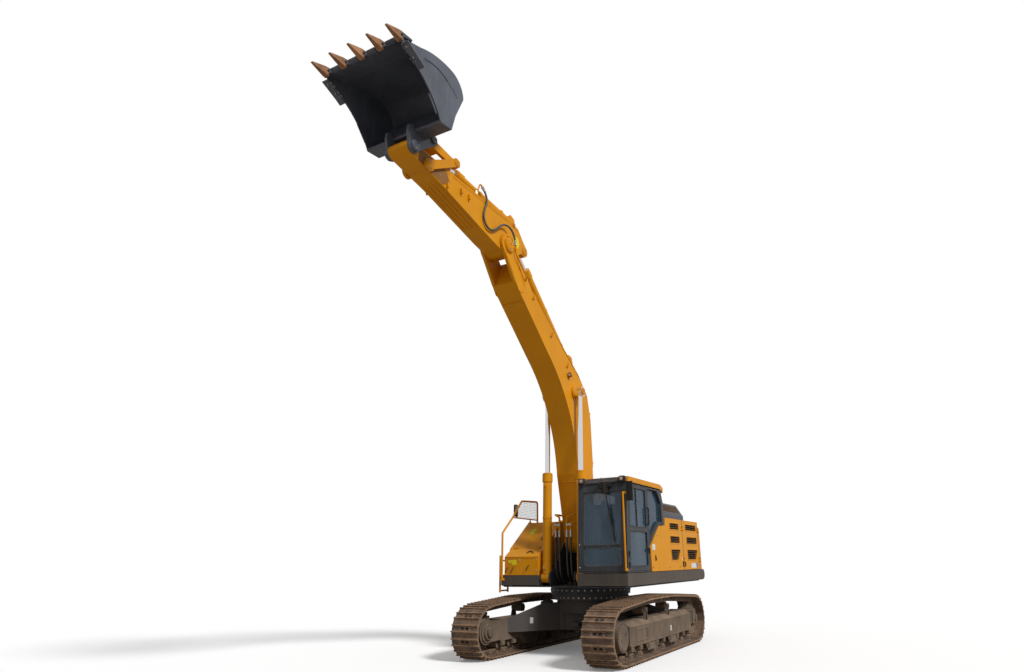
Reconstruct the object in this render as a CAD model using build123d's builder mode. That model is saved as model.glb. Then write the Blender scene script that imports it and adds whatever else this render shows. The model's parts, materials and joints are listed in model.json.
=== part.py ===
from build123d import *

import os
from math import acos, atan2, ceil, cos, degrees, hypot, radians, sin, sqrt, tan

os.makedirs("parts", exist_ok=True)

# A 48-tonne crawler excavator. X points forwards, towards the boom, Y to the cab's side and Z up.
# The ground is at Z = 0 and the origin is under the middle of the whole machine's box. Places along X
# are counted from the slewing axis, and side(), front() and deck() put them where that axis stands.

# ---------------------------------------------------------------- driving dimensions, millimetres
# Fits
RUNNING = 0.05  # radial play of a pin or rod in its bore
SEAT = 0.3  # gap between curved or moving faces that meet
SIDE_PLAY = 6  # gap beside an eye or a panel that moves

# Tracks
TRACK_GAUGE = 2740
SHOE_WIDTH = 600
TUMBLER_DISTANCE = 4350
LOOP_RADIUS = 500  # wheel axis to grouser tips
GROUSER = 35
SHOE_PLATE = 20
LINK_DEPTH = 100
RAIL_WIDTH = 60
RAIL_OFFSET = 75  # middle of a rail to the middle of the track
LINKS = 48
TOP_RUN_RISE = 90  # the carrier rollers lift the top run by this much
CARRIER_X = (700, -560)
CARRIER_RADIUS = 80
ROLLER_COUNT = 9
ROLLER_RADIUS = 100
END_ROLLER = 525  # a wheel's axis to the bottom roller beside it
FRAME_HALF_WIDTH = 220
FRAME_WALL = 28
FRAME_BOTTOM = 300
FRAME_SHOULDER = 620
FRAME_TOP = 700
SPROCKET_TEETH = 23
SPROCKET_RADIUS = 405
SPROCKET_WIDTH = 76
DRIVE_COVER_RADIUS = 240

# Car body and slewing ring
CAR_BODY_LOW = 430
CAR_BODY_TOP = 1000
RING_RADIUS = 810
RING_TOP = 1110
TURNTABLE_RADIUS = 850
TURNTABLE_TOP = 1270

# Upper structure
HALF_WIDTH = 1500
DECK_TOP = 1500
SKIRT_LOW = 1305
SKIRT_TOP = 1530
SKIRT_WALL = 50
SKIRT_FRONT = 1500
SKIRT_REAR = -3500
RIGHT_FRONT = 1200
TANK_FRONT = 925
TANK_Y = (-1470, -605)
TAIL_SWING = 3700
WEIGHT_LOW = 1330
HOUSE_TOP = 2650
HOUSE_FRONT = -730
HOUSE_REAR = -3155
WEIGHT_FRONT = HOUSE_REAR - SEAT
HOUSE_WALL = 12
PANEL = 45  # thickness of a side door
HINGE_PIN = 8
KNUCKLE = 14
KNUCKLE_HALF = 30
HINGE_Y = HALF_WIDTH + KNUCKLE + 1
DOOR_HINGES = (1750, 2450)
HOOD_LOW = 2655
HOOD_TOP = 3070

# Cab
CAB_FRONT = 1460
CAB_REAR = -700
CAB_RIGHT = 450
CAB_LOW = 1540
CAB_TOP = 3250
CAB_POST = 70
CAB_SILL = 1950  # the windscreen's plane leans back above this height
CAB_SHOULDER = CAB_TOP - 300  # the rear face leans forwards above this height
ROOF_TOP = CAB_TOP + 110
SCREEN = (1650, CAB_TOP - 180)
DOOR_FRONT = 1380
DOOR_REAR = 300
DOOR_LOW = 1560
DOOR_TOP = CAB_TOP - 40
DOOR_LIGHTS = ((1650, 2310), (2390, DOOR_TOP - 60))
QUARTER_TOP = DOOR_TOP - 20
SIDE_WINDOW_TOP = CAB_TOP - 100
REAR_WINDOW = (CAB_SHOULDER - 450, CAB_SHOULDER - 20)
GLASS = 8

# Boom, stick and bucket: the pivots, the rest angles over the ground and the widths
BOOM_FOOT = (280, 2170)
BOOM_LENGTH = 6480
BOOM_ANGLE = 58.5
BOOM_WIDTH = 530
BOOM_Y = -75  # the boom's middle plane lies to the right of the slewing axis
BOOM_PLATE = 14
STICK_LENGTH = 2880
STICK_ANGLE = 10.5
STICK_WIDTH = 400
STICK_PLATE = 12
STICK_RIB = 14  # how far the ribs under the stick stand out
TIP_ANGLE = 39.1  # the line from the bucket's pin to the tooth tips
TIP_RADIUS = 1712
BUCKET_WIDTH = 1580
BUCKET_PLATE = 20
BUCKET_EAR = 45
TEETH = 5
FOOT_PIN_RADIUS = 60
ARM_PIN_RADIUS = 55
BOOM_BARREL = 95  # radius of a boom cylinder's barrel
BUCKET_PIN_RADIUS = 50

# Pins, each in the frame of the member that carries it
BOOM_ROD_PIN = (3020, 1060)
BOOM_CYLINDER_FOOT = (1050, 1450)
CYLINDER_LANE = 400  # boom's middle plane to a boom cylinder's axis
ARM_CYLINDER_FOOT = (3660, 1530)
ARM_ROD_PIN = (-640, 310)
BUCKET_CYLINDER_FOOT = (-160, 790)
ROCKER_PIN = (2460, -40)
ROCKER_TOP = (1840, 540)
LINK_PIN = (-104, 603)

# ---------------------------------------------------------------- places worked out from these


def turned(origin, angle, point):
    """Where a member's own point stands, from the member's origin and its angle over the ground."""
    c, s = cos(radians(angle)), sin(radians(angle))
    return (origin[0] + point[0] * c - point[1] * s, origin[1] + point[0] * s + point[1] * c)


STICK_PIVOT = turned(BOOM_FOOT, BOOM_ANGLE, (BOOM_LENGTH, 0))
BUCKET_PIVOT = turned(STICK_PIVOT, STICK_ANGLE, (STICK_LENGTH, 0))
TOOTH_TIP = turned(BUCKET_PIVOT, TIP_ANGLE, (TIP_RADIUS, 0))
SLEW_X = (TAIL_SWING - TOOTH_TIP[0]) / 2


def side(y):
    """A plane at Y = y facing -Y: its x runs forwards from the slewing axis and its y runs up."""
    return Plane(origin=(SLEW_X, y, 0), x_dir=(1, 0, 0), z_dir=(0, -1, 0))


def front(x):
    """A plane across the machine, x in front of the slewing axis and facing forwards."""
    return Plane(origin=(SLEW_X + x, 0, 0), x_dir=(0, 1, 0), z_dir=(1, 0, 0))


def deck(z):
    """A level plane at height z, its origin on the slewing axis."""
    return Plane(origin=(SLEW_X, 0, z))


def member(origin, angle, y):
    """A plane at Y = y facing -Y, in the frame of a member pinned at origin."""
    c, s = cos(radians(angle)), sin(radians(angle))
    return Plane(origin=(SLEW_X + origin[0], y, origin[1]), x_dir=(c, 0, s), z_dir=(0, -1, 0))


def boom_plane(y):
    return member(BOOM_FOOT, BOOM_ANGLE, BOOM_Y + y)


def stick_plane(y):
    return member(STICK_PIVOT, STICK_ANGLE, BOOM_Y + y)


def bucket_plane(y):
    return member(BUCKET_PIVOT, TIP_ANGLE, BOOM_Y + y)


def plate(plane, points, thickness, mode=Mode.ADD):
    """A straight-sided outline on a plane, extruded to a thickness."""
    with BuildSketch(plane) as outline:
        with BuildLine():
            Polyline(*points, close=True)
        make_face()
    extrude(outline.sketch, amount=thickness, mode=mode)


def disc(plane, centre, radius, thickness, mode=Mode.ADD):
    """A round bar, boss or bore: a circle on a plane, extruded to a thickness."""
    with BuildSketch(plane) as outline:
        with Locations(centre):
            Circle(radius)
    extrude(outline.sketch, amount=thickness, mode=mode)


def block(x, y, z, mode=Mode.ADD):
    """A box between two limits on each axis, x counted from the slewing axis."""
    points = [(x[0], z[0]), (x[1], z[0]), (x[1], z[1]), (x[0], z[1])]
    plate(side(max(y)), points, max(y) - min(y), mode)


def hinge_pin(axis, heights, back, sign):
    """The fixed half of an upright hinge at each height: two lugs that reach back in X and their pin."""
    x, y = axis
    for z in heights:
        disc(deck(z - 50), (x, y), HINGE_PIN, 100)
        for low in (z - 50, z + KNUCKLE_HALF + 2):
            high = low + 50 - KNUCKLE_HALF - 2
            disc(deck(low), (x, y), KNUCKLE, high - low)
            block((min(x, back), max(x, back)), (sign * HALF_WIDTH, y + sign * KNUCKLE), (low, high))


def hinge_knuckle(axis, heights, strap, sign):
    """The moving half: at each height a knuckle that runs on the pin, and its strap along the door."""
    x, y = axis
    for z in heights:
        low = z - KNUCKLE_HALF
        disc(deck(low), (x, y), KNUCKLE, 2 * KNUCKLE_HALF)
        reach = (min(x, strap), max(x, strap))
        block(reach, (sign * (HALF_WIDTH - 1), sign * (HALF_WIDTH + KNUCKLE)), (low, low + 2 * KNUCKLE_HALF))
        disc(deck(low - 1), (x, y), HINGE_PIN + RUNNING, 2 * KNUCKLE_HALF + 2, Mode.SUBTRACT)


def bend_radii(points, share):
    """At each corner of a route, the radius whose arc takes up that share of the shorter run beside it."""
    radii = []
    for a, b, c in zip(points, points[1:], points[2:]):
        before, after = Vector(*b) - Vector(*a), Vector(*c) - Vector(*b)
        turn = radians(before.get_angle(after))
        radii.append(share * min(before.length, after.length) / tan(turn / 2))
    return radii


def pipe(points, radius, bend):
    """A round tube along a route of straight runs, with its corners rounded to one bend radius at most."""
    with BuildLine() as route:
        if len(points) > 2:
            FilletPolyline(*points, radius=[min(bend, most) for most in bend_radii(points, 0.48)])
        else:
            Line(*points)
    with BuildSketch(Plane(origin=route.line @ 0, z_dir=route.line % 0)) as section:
        Circle(radius)
    sweep(section.sketch, path=route.line)


# ---------------------------------------------------------------- tracks
# The loop is counted along the outside of the shoe plates. Each link spans one chord of it.

WHEEL_X = TUMBLER_DISTANCE / 2
PLATE_RADIUS = LOOP_RADIUS - GROUSER
TOP_RUN = LOOP_RADIUS + PLATE_RADIUS + TOP_RUN_RISE
RAIL_DEPTH = SHOE_PLATE + LINK_DEPTH


def tangent_angle(point, wheel_x):
    """The angle round a wheel at which a straight run to a point beyond it leaves the wheel."""
    dx, dz = abs(point[0] - wheel_x), point[1] - LOOP_RADIUS
    return 180 - degrees(atan2(dz, dx)) - degrees(acos(PLATE_RADIUS / hypot(dx, dz)))


def loop_path():
    """The loop as a closed list of corners, its two round ends in steps of two degrees."""
    corners = []
    for end, carrier in ((1, CARRIER_X[0]), (-1, CARRIER_X[1])):
        last = tangent_angle((carrier, TOP_RUN), end * WHEEL_X)
        steps = ceil((last + 90) / 2)
        arc = [-90 + (last + 90) * k / steps for k in range(steps + 1)]
        half = [
            (end * (WHEEL_X + PLATE_RADIUS * cos(radians(a))), LOOP_RADIUS + PLATE_RADIUS * sin(radians(a)))
            for a in arc
        ]
        half.append((carrier, TOP_RUN))
        corners += half if end > 0 else half[::-1]
    return corners


def link_joints():
    """The joints between links: points spaced evenly along the loop."""
    corners = loop_path()
    corners.append(corners[0])
    runs = [hypot(b[0] - a[0], b[1] - a[1]) for a, b in zip(corners, corners[1:])]
    pitch = sum(runs) / LINKS
    joints, passed, k = [], 0, 0
    for link in range(LINKS):
        while passed + runs[k] < link * pitch:
            passed += runs[k]
            k += 1
        share = (link * pitch - passed) / runs[k]
        a, b = corners[k], corners[k + 1]
        joints.append((a[0] + (b[0] - a[0]) * share, a[1] + (b[1] - a[1]) * share))
    return joints


def along_links(profile):
    """A closed outline that repeats a profile on every link: shares of its length and heights above it."""
    joints = link_joints()
    outline = []
    for a, b in zip(joints, joints[1:] + joints[:1]):
        length = hypot(b[0] - a[0], b[1] - a[1])
        ux, uz = (b[0] - a[0]) / length, (b[1] - a[1]) / length
        for share, height in profile:
            reach = share * length
            outline.append((a[0] + ux * reach + uz * height, a[1] + uz * reach - ux * height))
    return outline


# share of the link, height over the plate: two grouser bars on each shoe
SHOE_PROFILE = [
    (0.10, 0),
    (0.12, GROUSER),
    (0.19, GROUSER),
    (0.21, 0),
    (0.58, 0),
    (0.60, GROUSER),
    (0.67, GROUSER),
    (0.69, 0),
]
RAIL_PROFILE = [(0.17, -RAIL_DEPTH), (0.83, -RAIL_DEPTH)]

shoe_outline = along_links(SHOE_PROFILE)
rail_outline = along_links(RAIL_PROFILE)
plate_inside = along_links([(0.5, -SHOE_PLATE)])

link_angle = hypot(*(b - a for a, b in zip(*link_joints()[2:4]))) / PLATE_RADIUS / 2
DRUM_RADIUS = PLATE_RADIUS * cos(link_angle) - RAIL_DEPTH - 2
RAIL_TOP = GROUSER + RAIL_DEPTH

for name, sign in (("left", 1), ("right", -1)):
    middle = sign * TRACK_GAUGE / 2
    with BuildPart() as track:
        with BuildSketch(side(middle + SHOE_WIDTH / 2)):
            with BuildLine():
                Polyline(*shoe_outline, close=True)
            make_face()
            with BuildLine():
                Polyline(*plate_inside, close=True)
            make_face(mode=Mode.SUBTRACT)
        extrude(amount=SHOE_WIDTH)
        for rail in (-RAIL_OFFSET, RAIL_OFFSET):
            with BuildSketch(side(middle + rail + RAIL_WIDTH / 2)):
                with BuildLine():
                    Polyline(*plate_inside, close=True)
                make_face()
                with BuildLine():
                    Polyline(*rail_outline, close=True)
                make_face(mode=Mode.SUBTRACT)
            extrude(amount=RAIL_WIDTH)
    track.part.label = f"track_{name}"
    export_step(track.part, f"parts/track_{name}.step")

# ---------------------------------------------------------------- track frames, wheels and rollers

ROLLER_Z = RAIL_TOP + SEAT + ROLLER_RADIUS
ROLLER_SPAN = TUMBLER_DISTANCE - 2 * END_ROLLER
ROLLER_STEP = ROLLER_SPAN / (ROLLER_COUNT - 1)
roller_places = [ROLLER_SPAN / 2 - k * ROLLER_STEP for k in range(ROLLER_COUNT)]
CARRIER_Z = TOP_RUN - RAIL_DEPTH - 6 - CARRIER_RADIUS
FRAME_NOSE = WHEEL_X - SPROCKET_RADIUS - 30
FRAME_TAIL = 375 - WHEEL_X
TENSIONER_REAR = -WHEEL_X - 250
SHAFT_RADIUS = 32
CARRIER_HALF = 116  # half width over a carrier roller's shaft
IDLER_HUB = 130  # half width over the idler's hub
IDLER_FLANGE = 50
channel_half = FRAME_HALF_WIDTH - FRAME_WALL
inner_top = FRAME_SHOULDER - FRAME_WALL

for name, sign in (("left", 1), ("right", -1)):
    middle = sign * TRACK_GAUGE / 2
    outer = middle + sign * FRAME_HALF_WIDTH
    inner = middle - sign * FRAME_HALF_WIDTH
    with BuildPart() as track_frame:
        # the inverted channel, its outer shoulder sloped
        section = [
            (inner, FRAME_BOTTOM),
            (inner, FRAME_TOP),
            (middle + sign * 110, FRAME_TOP),
            (outer, FRAME_SHOULDER),
            (outer, FRAME_BOTTOM),
        ]
        plate(front(FRAME_NOSE), section, FRAME_TAIL - FRAME_NOSE)
        block(
            (FRAME_TAIL - 1, FRAME_NOSE + 1),
            (middle - channel_half, middle + channel_half),
            (FRAME_BOTTOM - 1, inner_top),
            Mode.SUBTRACT,
        )
        # bearing lugs for the bottom rollers
        for x in roller_places:
            for wall in (-1, 1):
                y = middle + wall * (FRAME_HALF_WIDTH - FRAME_WALL / 2)
                half = FRAME_WALL / 2
                block((x - 60, x + 60), (y - half, y + half), (ROLLER_Z - 45, FRAME_BOTTOM + 1))
        # two long guards that keep the links on the rollers
        for x in (ROLLER_STEP * 1.5, -ROLLER_STEP * 1.5):
            for wall in (-1, 1):
                y = middle + wall * (FRAME_HALF_WIDTH - FRAME_WALL / 2)
                half = FRAME_WALL / 2
                outline = [
                    (x - ROLLER_STEP * 0.9, FRAME_BOTTOM + 1),
                    (x - ROLLER_STEP * 0.6, ROLLER_Z - 95),
                    (x + ROLLER_STEP * 0.6, ROLLER_Z - 95),
                    (x + ROLLER_STEP * 0.9, FRAME_BOTTOM + 1),
                ]
                plate(side(y + half), outline, FRAME_WALL)
        # triangular brackets for the carrier rollers, on the outer side
        for x in CARRIER_X:
            outline = [
                (x - 110, FRAME_SHOULDER),
                (x - 36, CARRIER_Z + 36),
                (x + 36, CARRIER_Z + 36),
                (x + 110, FRAME_SHOULDER),
            ]
            plate(side(middle + max(sign * CARRIER_HALF, sign * (CARRIER_HALF + 30))), outline, 30)
        # the nose that the final drive is bolted to
        nose_y = middle - sign * (FRAME_HALF_WIDTH - FRAME_WALL)
        with BuildSketch(side(max(nose_y, nose_y - sign * FRAME_WALL))) as nose:
            with BuildLine():
                Polyline(
                    (FRAME_NOSE - 30, FRAME_BOTTOM + 20),
                    (WHEEL_X, LOOP_RADIUS - 190),
                    (WHEEL_X, LOOP_RADIUS + 190),
                    (FRAME_NOSE - 30, FRAME_TOP - 20),
                    close=True,
                )
            make_face()
            with Locations((WHEEL_X, LOOP_RADIUS)):
                Circle(190)
        extrude(nose.sketch, amount=FRAME_WALL)
        # the yoke that carries the idler, stepped down towards its end
        for wall in (-1, 1):
            y = middle + wall * (IDLER_HUB + 30)
            outline = [
                (FRAME_TAIL + 300, 400),
                (FRAME_TAIL + 300, FRAME_SHOULDER - FRAME_WALL + 1),
                (FRAME_TAIL, FRAME_SHOULDER + 60),
                (-WHEEL_X - 120, FRAME_SHOULDER + 60),
                (-WHEEL_X - 120, FRAME_SHOULDER - 60),
                (TENSIONER_REAR, FRAME_SHOULDER - 80),
                (TENSIONER_REAR, 400),
                (-WHEEL_X, 380),
                (FRAME_TAIL - 60, 400),
            ]
            plate(side(y + 30), outline, 60)
    track_frame.part.label = f"track_frame_{name}"
    export_step(track_frame.part, f"parts/track_frame_{name}.step")

sprocket_outline = []
for k in range(SPROCKET_TEETH):
    for share, depth in ((-0.30, 55), (-0.12, 0), (0.12, 0), (0.30, 55)):
        a = radians(360 * (k + share) / SPROCKET_TEETH)
        r = SPROCKET_RADIUS - depth
        sprocket_outline.append((WHEEL_X + r * cos(a), LOOP_RADIUS + r * sin(a)))

with BuildPart() as final_drives:
    for sign in (1, -1):
        middle = sign * TRACK_GAUGE / 2
        wheel = (WHEEL_X, LOOP_RADIUS)
        plate(side(middle + SPROCKET_WIDTH / 2), sprocket_outline, SPROCKET_WIDTH)
        # planetary case and its cover stand out on the outer side, the motor on the inner
        for radius, reach in ((285, 150), (DRIVE_COVER_RADIUS, 285)):
            start = middle + (reach if sign > 0 else 0)
            disc(side(start), wheel, radius, reach)
        start = middle if sign > 0 else middle + FRAME_HALF_WIDTH - FRAME_WALL - SEAT
        disc(side(start), wheel, 230, FRAME_HALF_WIDTH - FRAME_WALL - SEAT)
final_drives.part.label = "final_drives"
export_step(final_drives.part, "parts/final_drives.step")

with BuildPart() as idlers:
    for sign in (1, -1):
        middle = sign * TRACK_GAUGE / 2
        hub = (-WHEEL_X, LOOP_RADIUS)
        disc(side(middle + RAIL_OFFSET + RAIL_WIDTH / 2), hub, DRUM_RADIUS, 2 * RAIL_OFFSET + RAIL_WIDTH)
        disc(side(middle + 40), hub, DRUM_RADIUS + IDLER_FLANGE, 80)
        disc(side(middle + IDLER_HUB), hub, 90, 2 * IDLER_HUB)
idlers.part.label = "idlers"
export_step(idlers.part, "parts/idlers.step")

with BuildPart() as track_rollers:
    for sign in (1, -1):
        middle = sign * TRACK_GAUGE / 2
        for x in roller_places:
            place = (x, ROLLER_Z)
            disc(side(middle + 108), place, ROLLER_RADIUS, 216)
            disc(side(middle + 135), place, ROLLER_RADIUS + 18, 27)
            disc(side(middle - 108), place, ROLLER_RADIUS + 18, 27)
            disc(side(middle + channel_half), place, SHAFT_RADIUS, 2 * channel_half)
        for x in CARRIER_X:
            place = (x, CARRIER_Z)
            disc(side(middle + 105), place, CARRIER_RADIUS, 210)
            disc(side(middle + CARRIER_HALF), place, SHAFT_RADIUS, 2 * CARRIER_HALF)
track_rollers.part.label = "track_rollers"
export_step(track_rollers.part, "parts/track_rollers.step")

# ---------------------------------------------------------------- car body and slewing ring

LEG_REACH = TRACK_GAUGE / 2 - FRAME_HALF_WIDTH
LEG_TOP = 690
leg_front, leg_back = 1480, 720
WAIST_X, WAIST_Y = 620, 640
BODY_WALL = 35


def cross_plan(inset):
    """The car body's plan: a hub with four legs that widen towards the track frames."""
    quarter = [
        (WAIST_X - inset, 0),
        (WAIST_X - inset, 420 - inset / 2),
        (leg_front - inset, LEG_REACH),
        (leg_back + inset, LEG_REACH),
        (430, WAIST_Y - inset),
        (0, WAIST_Y - inset),
    ]
    plan = []
    for sx, sy, order in ((1, 1, 1), (-1, 1, -1), (-1, -1, 1), (1, -1, -1)):
        plan += [(sx * x, sy * y) for x, y in quarter[::order]]
    clean = []
    for point in plan:
        if not clean or hypot(point[0] - clean[-1][0], point[1] - clean[-1][1]) > 1:
            clean.append(point)
    if hypot(clean[0][0] - clean[-1][0], clean[0][1] - clean[-1][1]) < 1:
        clean.pop()
    return clean


TIE_RADIUS = 40
TIE_HEIGHT = 550


def leg_profile(wall):
    """The car body from the front: level in the middle and falling towards the track frames."""
    return [
        (-LEG_REACH, CAR_BODY_LOW - (1 if wall else 0)),
        (-LEG_REACH, LEG_TOP - wall),
        (-680, CAR_BODY_TOP - 60 - wall),
        (680, CAR_BODY_TOP - 60 - wall),
        (LEG_REACH, LEG_TOP - wall),
        (LEG_REACH, CAR_BODY_LOW - (1 if wall else 0)),
    ]


with BuildPart() as car_body_inside:
    plate(front(leg_front), leg_profile(BODY_WALL), -2 * leg_front)
    plate(deck(CAR_BODY_LOW - 1), cross_plan(BODY_WALL), CAR_BODY_TOP - CAR_BODY_LOW, Mode.INTERSECT)

with BuildPart() as car_body:
    plate(front(leg_front), leg_profile(0), -2 * leg_front)
    plate(deck(CAR_BODY_LOW), cross_plan(0), CAR_BODY_TOP - CAR_BODY_LOW, Mode.INTERSECT)
    disc(deck(CAR_BODY_TOP - 250), (0, 0), 720, 250)
    # the open underside and the opening under the slewing ring
    add(car_body_inside.part, mode=Mode.SUBTRACT)
    disc(deck(CAR_BODY_LOW - 1), (0, 0), 560, CAR_BODY_TOP - CAR_BODY_LOW + 2, Mode.SUBTRACT)
car_body.part.label = "car_body"
export_step(car_body.part, "parts/car_body.step")

with BuildPart() as tie_down_eyes:
    # one at each end of the car body, for a pin put in from below
    for end in (1, -1):
        reach = (end * (WAIST_X + SEAT), end * (WAIST_X + 170))
        block((min(reach), max(reach)), (-90, 90), (TIE_HEIGHT - 30, TIE_HEIGHT + 30))
        disc(deck(TIE_HEIGHT - 31), (end * (WAIST_X + 90), 0), TIE_RADIUS, 62, Mode.SUBTRACT)
tie_down_eyes.part.label = "tie_down_eyes"
export_step(tie_down_eyes.part, "parts/tie_down_eyes.step")

with BuildPart() as slew_ring:
    disc(deck(CAR_BODY_TOP), (0, 0), RING_RADIUS, RING_TOP - CAR_BODY_TOP)
    disc(deck(CAR_BODY_TOP), (0, 0), 560, RING_TOP - CAR_BODY_TOP, Mode.SUBTRACT)
slew_ring.part.label = "slew_ring"
export_step(slew_ring.part, "parts/slew_ring.step")

# ---------------------------------------------------------------- revolving frame

BRACKET_IN = BOOM_WIDTH / 2 + 10
BRACKET = 22
CYLINDER_EYE = 85  # half width of a boom cylinder's eye
OUTER_BRACKET = CYLINDER_LANE + BOOM_BARREL + 5
OUTER_PLATE = 25
BOTTOM_PLATE = 20
DECK_PLATE = 10
BEAM = 25
BAY_FRONT = 600  # the open bay between the boom brackets ends here
BULKHEAD_TOP = 1342

with BuildPart() as revolving_frame:
    disc(deck(RING_TOP + SEAT), (0, 0), TURNTABLE_RADIUS, TURNTABLE_TOP - RING_TOP - SEAT)
    disc(deck(RING_TOP), (0, 0), 640, TURNTABLE_TOP - RING_TOP, Mode.SUBTRACT)
    # bottom plate under everything, notched at the front between the cab and the tool box
    skirt_inside = HALF_WIDTH - SKIRT_WALL
    outline = [
        (HOUSE_REAR, -skirt_inside),
        (HOUSE_REAR, skirt_inside),
        (SKIRT_FRONT - 20, skirt_inside),
        (SKIRT_FRONT - 20, CAB_RIGHT),
        (1200, CAB_RIGHT),
        (1200, BOOM_Y - OUTER_BRACKET - OUTER_PLATE),
        (RIGHT_FRONT - 20, BOOM_Y - OUTER_BRACKET - OUTER_PLATE),
        (RIGHT_FRONT - 20, -skirt_inside),
    ]
    plate(deck(TURNTABLE_TOP), outline, BOTTOM_PLATE)
    # main beams and cross members
    beam_low = TURNTABLE_TOP + BOTTOM_PLATE
    for y in (BOOM_Y - BRACKET_IN - BRACKET, BOOM_Y + BRACKET_IN):
        block((HOUSE_REAR, 700), (y, y + BRACKET), (beam_low, DECK_TOP))
    for x in (-3120, -1500, -700):
        block((x, x + BEAM), (-1380, 1380), (beam_low, DECK_TOP))
    # deck plates over the side frames
    bay_right, bay_left = BOOM_Y - BRACKET_IN, BOOM_Y + BRACKET_IN
    for x, y in (
        ((HOUSE_REAR, 900), (-1400, bay_right)),
        ((HOUSE_REAR, -680), (bay_right, bay_left)),
        ((HOUSE_REAR, 900), (bay_left, CAB_RIGHT)),
        ((HOUSE_REAR, SKIRT_FRONT - 20), (CAB_RIGHT, 1400)),
    ):
        block(x, y, (DECK_TOP - DECK_PLATE, DECK_TOP))
    # rubber mounts under the cab
    for x in (CAB_REAR + 160, CAB_FRONT - 160):
        for y in (CAB_RIGHT + 130, HALF_WIDTH - 160):
            disc(deck(DECK_TOP), (x, y), 60, CAB_LOW - DECK_TOP)
    # the bulkhead in front of the bay, where the boom cylinders' hoses start
    block((BAY_FRONT - 20, BAY_FRONT), (bay_right, bay_left), (beam_low, BULKHEAD_TOP))
    # boom brackets, which carry the boom's foot pin and the boom cylinders' feet
    fx, fz = BOOM_FOOT
    gx, gz = BOOM_CYLINDER_FOOT
    for y in (BOOM_Y - BRACKET_IN - BRACKET, BOOM_Y + BRACKET_IN):
        outline = [
            (-700, DECK_TOP - 10),
            (fx - 170, fz + 60),
            (fx - 60, fz + 160),
            (fx + 60, fz + 160),
            (fx + 170, fz + 60),
            (gx - 60, gz + 130),
            (gx + 90, gz + 110),
            (gx + 130, gz - 40),
            (gx + 80, beam_low - 1),
            (-700, beam_low - 1),
        ]
        plate(side(y + BRACKET), outline, BRACKET)
    for y in (BOOM_Y - OUTER_BRACKET - OUTER_PLATE, BOOM_Y + OUTER_BRACKET):
        outline = [
            (gx - 260, beam_low - 1),
            (gx - 110, gz + 50),
            (gx - 50, gz + 82),
            (gx + 60, gz + 82),
            (gx + 130, gz - 20),
            (gx + 80, beam_low - 1),
        ]
        plate(side(y + OUTER_PLATE), outline, OUTER_PLATE)
    bracket_out = BRACKET_IN + BRACKET
    disc(side(BOOM_Y + bracket_out), BOOM_FOOT, FOOT_PIN_RADIUS, 2 * bracket_out)
    pin_length = OUTER_BRACKET + OUTER_PLATE - BRACKET_IN
    for y in (BOOM_Y + OUTER_BRACKET + OUTER_PLATE, BOOM_Y - BRACKET_IN):
        disc(side(y), BOOM_CYLINDER_FOOT, ARM_PIN_RADIUS, pin_length)
revolving_frame.part.label = "revolving_frame"
export_step(revolving_frame.part, "parts/revolving_frame.step")

with BuildPart() as side_skirts:
    # the dark skirts along both sides, their rear ends rounded
    for sign, nose in ((1, SKIRT_FRONT), (-1, RIGHT_FRONT)):
        with BuildSketch(side(HALF_WIDTH if sign > 0 else -HALF_WIDTH + SKIRT_WALL)) as skirt:
            with BuildLine():
                Polyline(
                    (SKIRT_REAR + 110, SKIRT_LOW),
                    (nose, SKIRT_LOW),
                    (nose, SKIRT_TOP if sign > 0 else DECK_TOP),
                    (SKIRT_REAR + 110, SKIRT_TOP if sign > 0 else DECK_TOP),
                )
                height = (SKIRT_TOP if sign > 0 else DECK_TOP) - SKIRT_LOW
                ThreePointArc(
                    (SKIRT_REAR + 110, SKIRT_LOW + height),
                    (SKIRT_REAR, SKIRT_LOW + height / 2),
                    (SKIRT_REAR + 110, SKIRT_LOW),
                )
            make_face()
        extrude(skirt.sketch, amount=SKIRT_WALL)
    # under the cab's front and under the tool box
    block((SKIRT_FRONT - 20, SKIRT_FRONT), (CAB_RIGHT, skirt_inside), (SKIRT_LOW, SKIRT_TOP))
    block((RIGHT_FRONT - 20, RIGHT_FRONT), (-skirt_inside, TANK_Y[1]), (SKIRT_LOW, DECK_TOP))
    block((900, SKIRT_FRONT - 20), (CAB_RIGHT, CAB_RIGHT + 20), (SKIRT_LOW, DECK_TOP - DECK_PLATE))
    block((900, RIGHT_FRONT - 20), (TANK_Y[1] - 20, TANK_Y[1]), (SKIRT_LOW, DECK_TOP))
side_skirts.part.label = "side_skirts"
export_step(side_skirts.part, "parts/side_skirts.step")

WEIGHT_TOP = HOUSE_TOP - 30
WEIGHT_SIDE = 1470
LOWER_SIDE = 1370  # between the skirts' rear ends
# level of each layer's foot, its height, how far it draws in by its top, and whether it lies over the skirts
WEIGHT_LAYERS = [
    (WEIGHT_LOW + 190, -190, 45, False),
    (WEIGHT_LOW + 190, SKIRT_TOP + SEAT - WEIGHT_LOW - 190, 0, False),
    (SKIRT_TOP + SEAT, WEIGHT_TOP - 130 - SKIRT_TOP - SEAT, 0, True),
    (WEIGHT_TOP - 130, 130, 70, True),
]


def weight_plan(half, inset):
    """The counterweight's plan: straight sides and a rear arc about the slewing axis, all drawn in."""
    radius = TAIL_SWING - inset
    edge = half - inset
    corner = sqrt(radius**2 - edge**2)
    with BuildLine() as outline:
        Line((WEIGHT_FRONT, edge), (WEIGHT_FRONT, -edge))
        Line((WEIGHT_FRONT, -edge), (-corner, -edge))
        ThreePointArc((-corner, -edge), (-radius, 0), (-corner, edge))
        Line((-corner, edge), (WEIGHT_FRONT, edge))
    return outline


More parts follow.
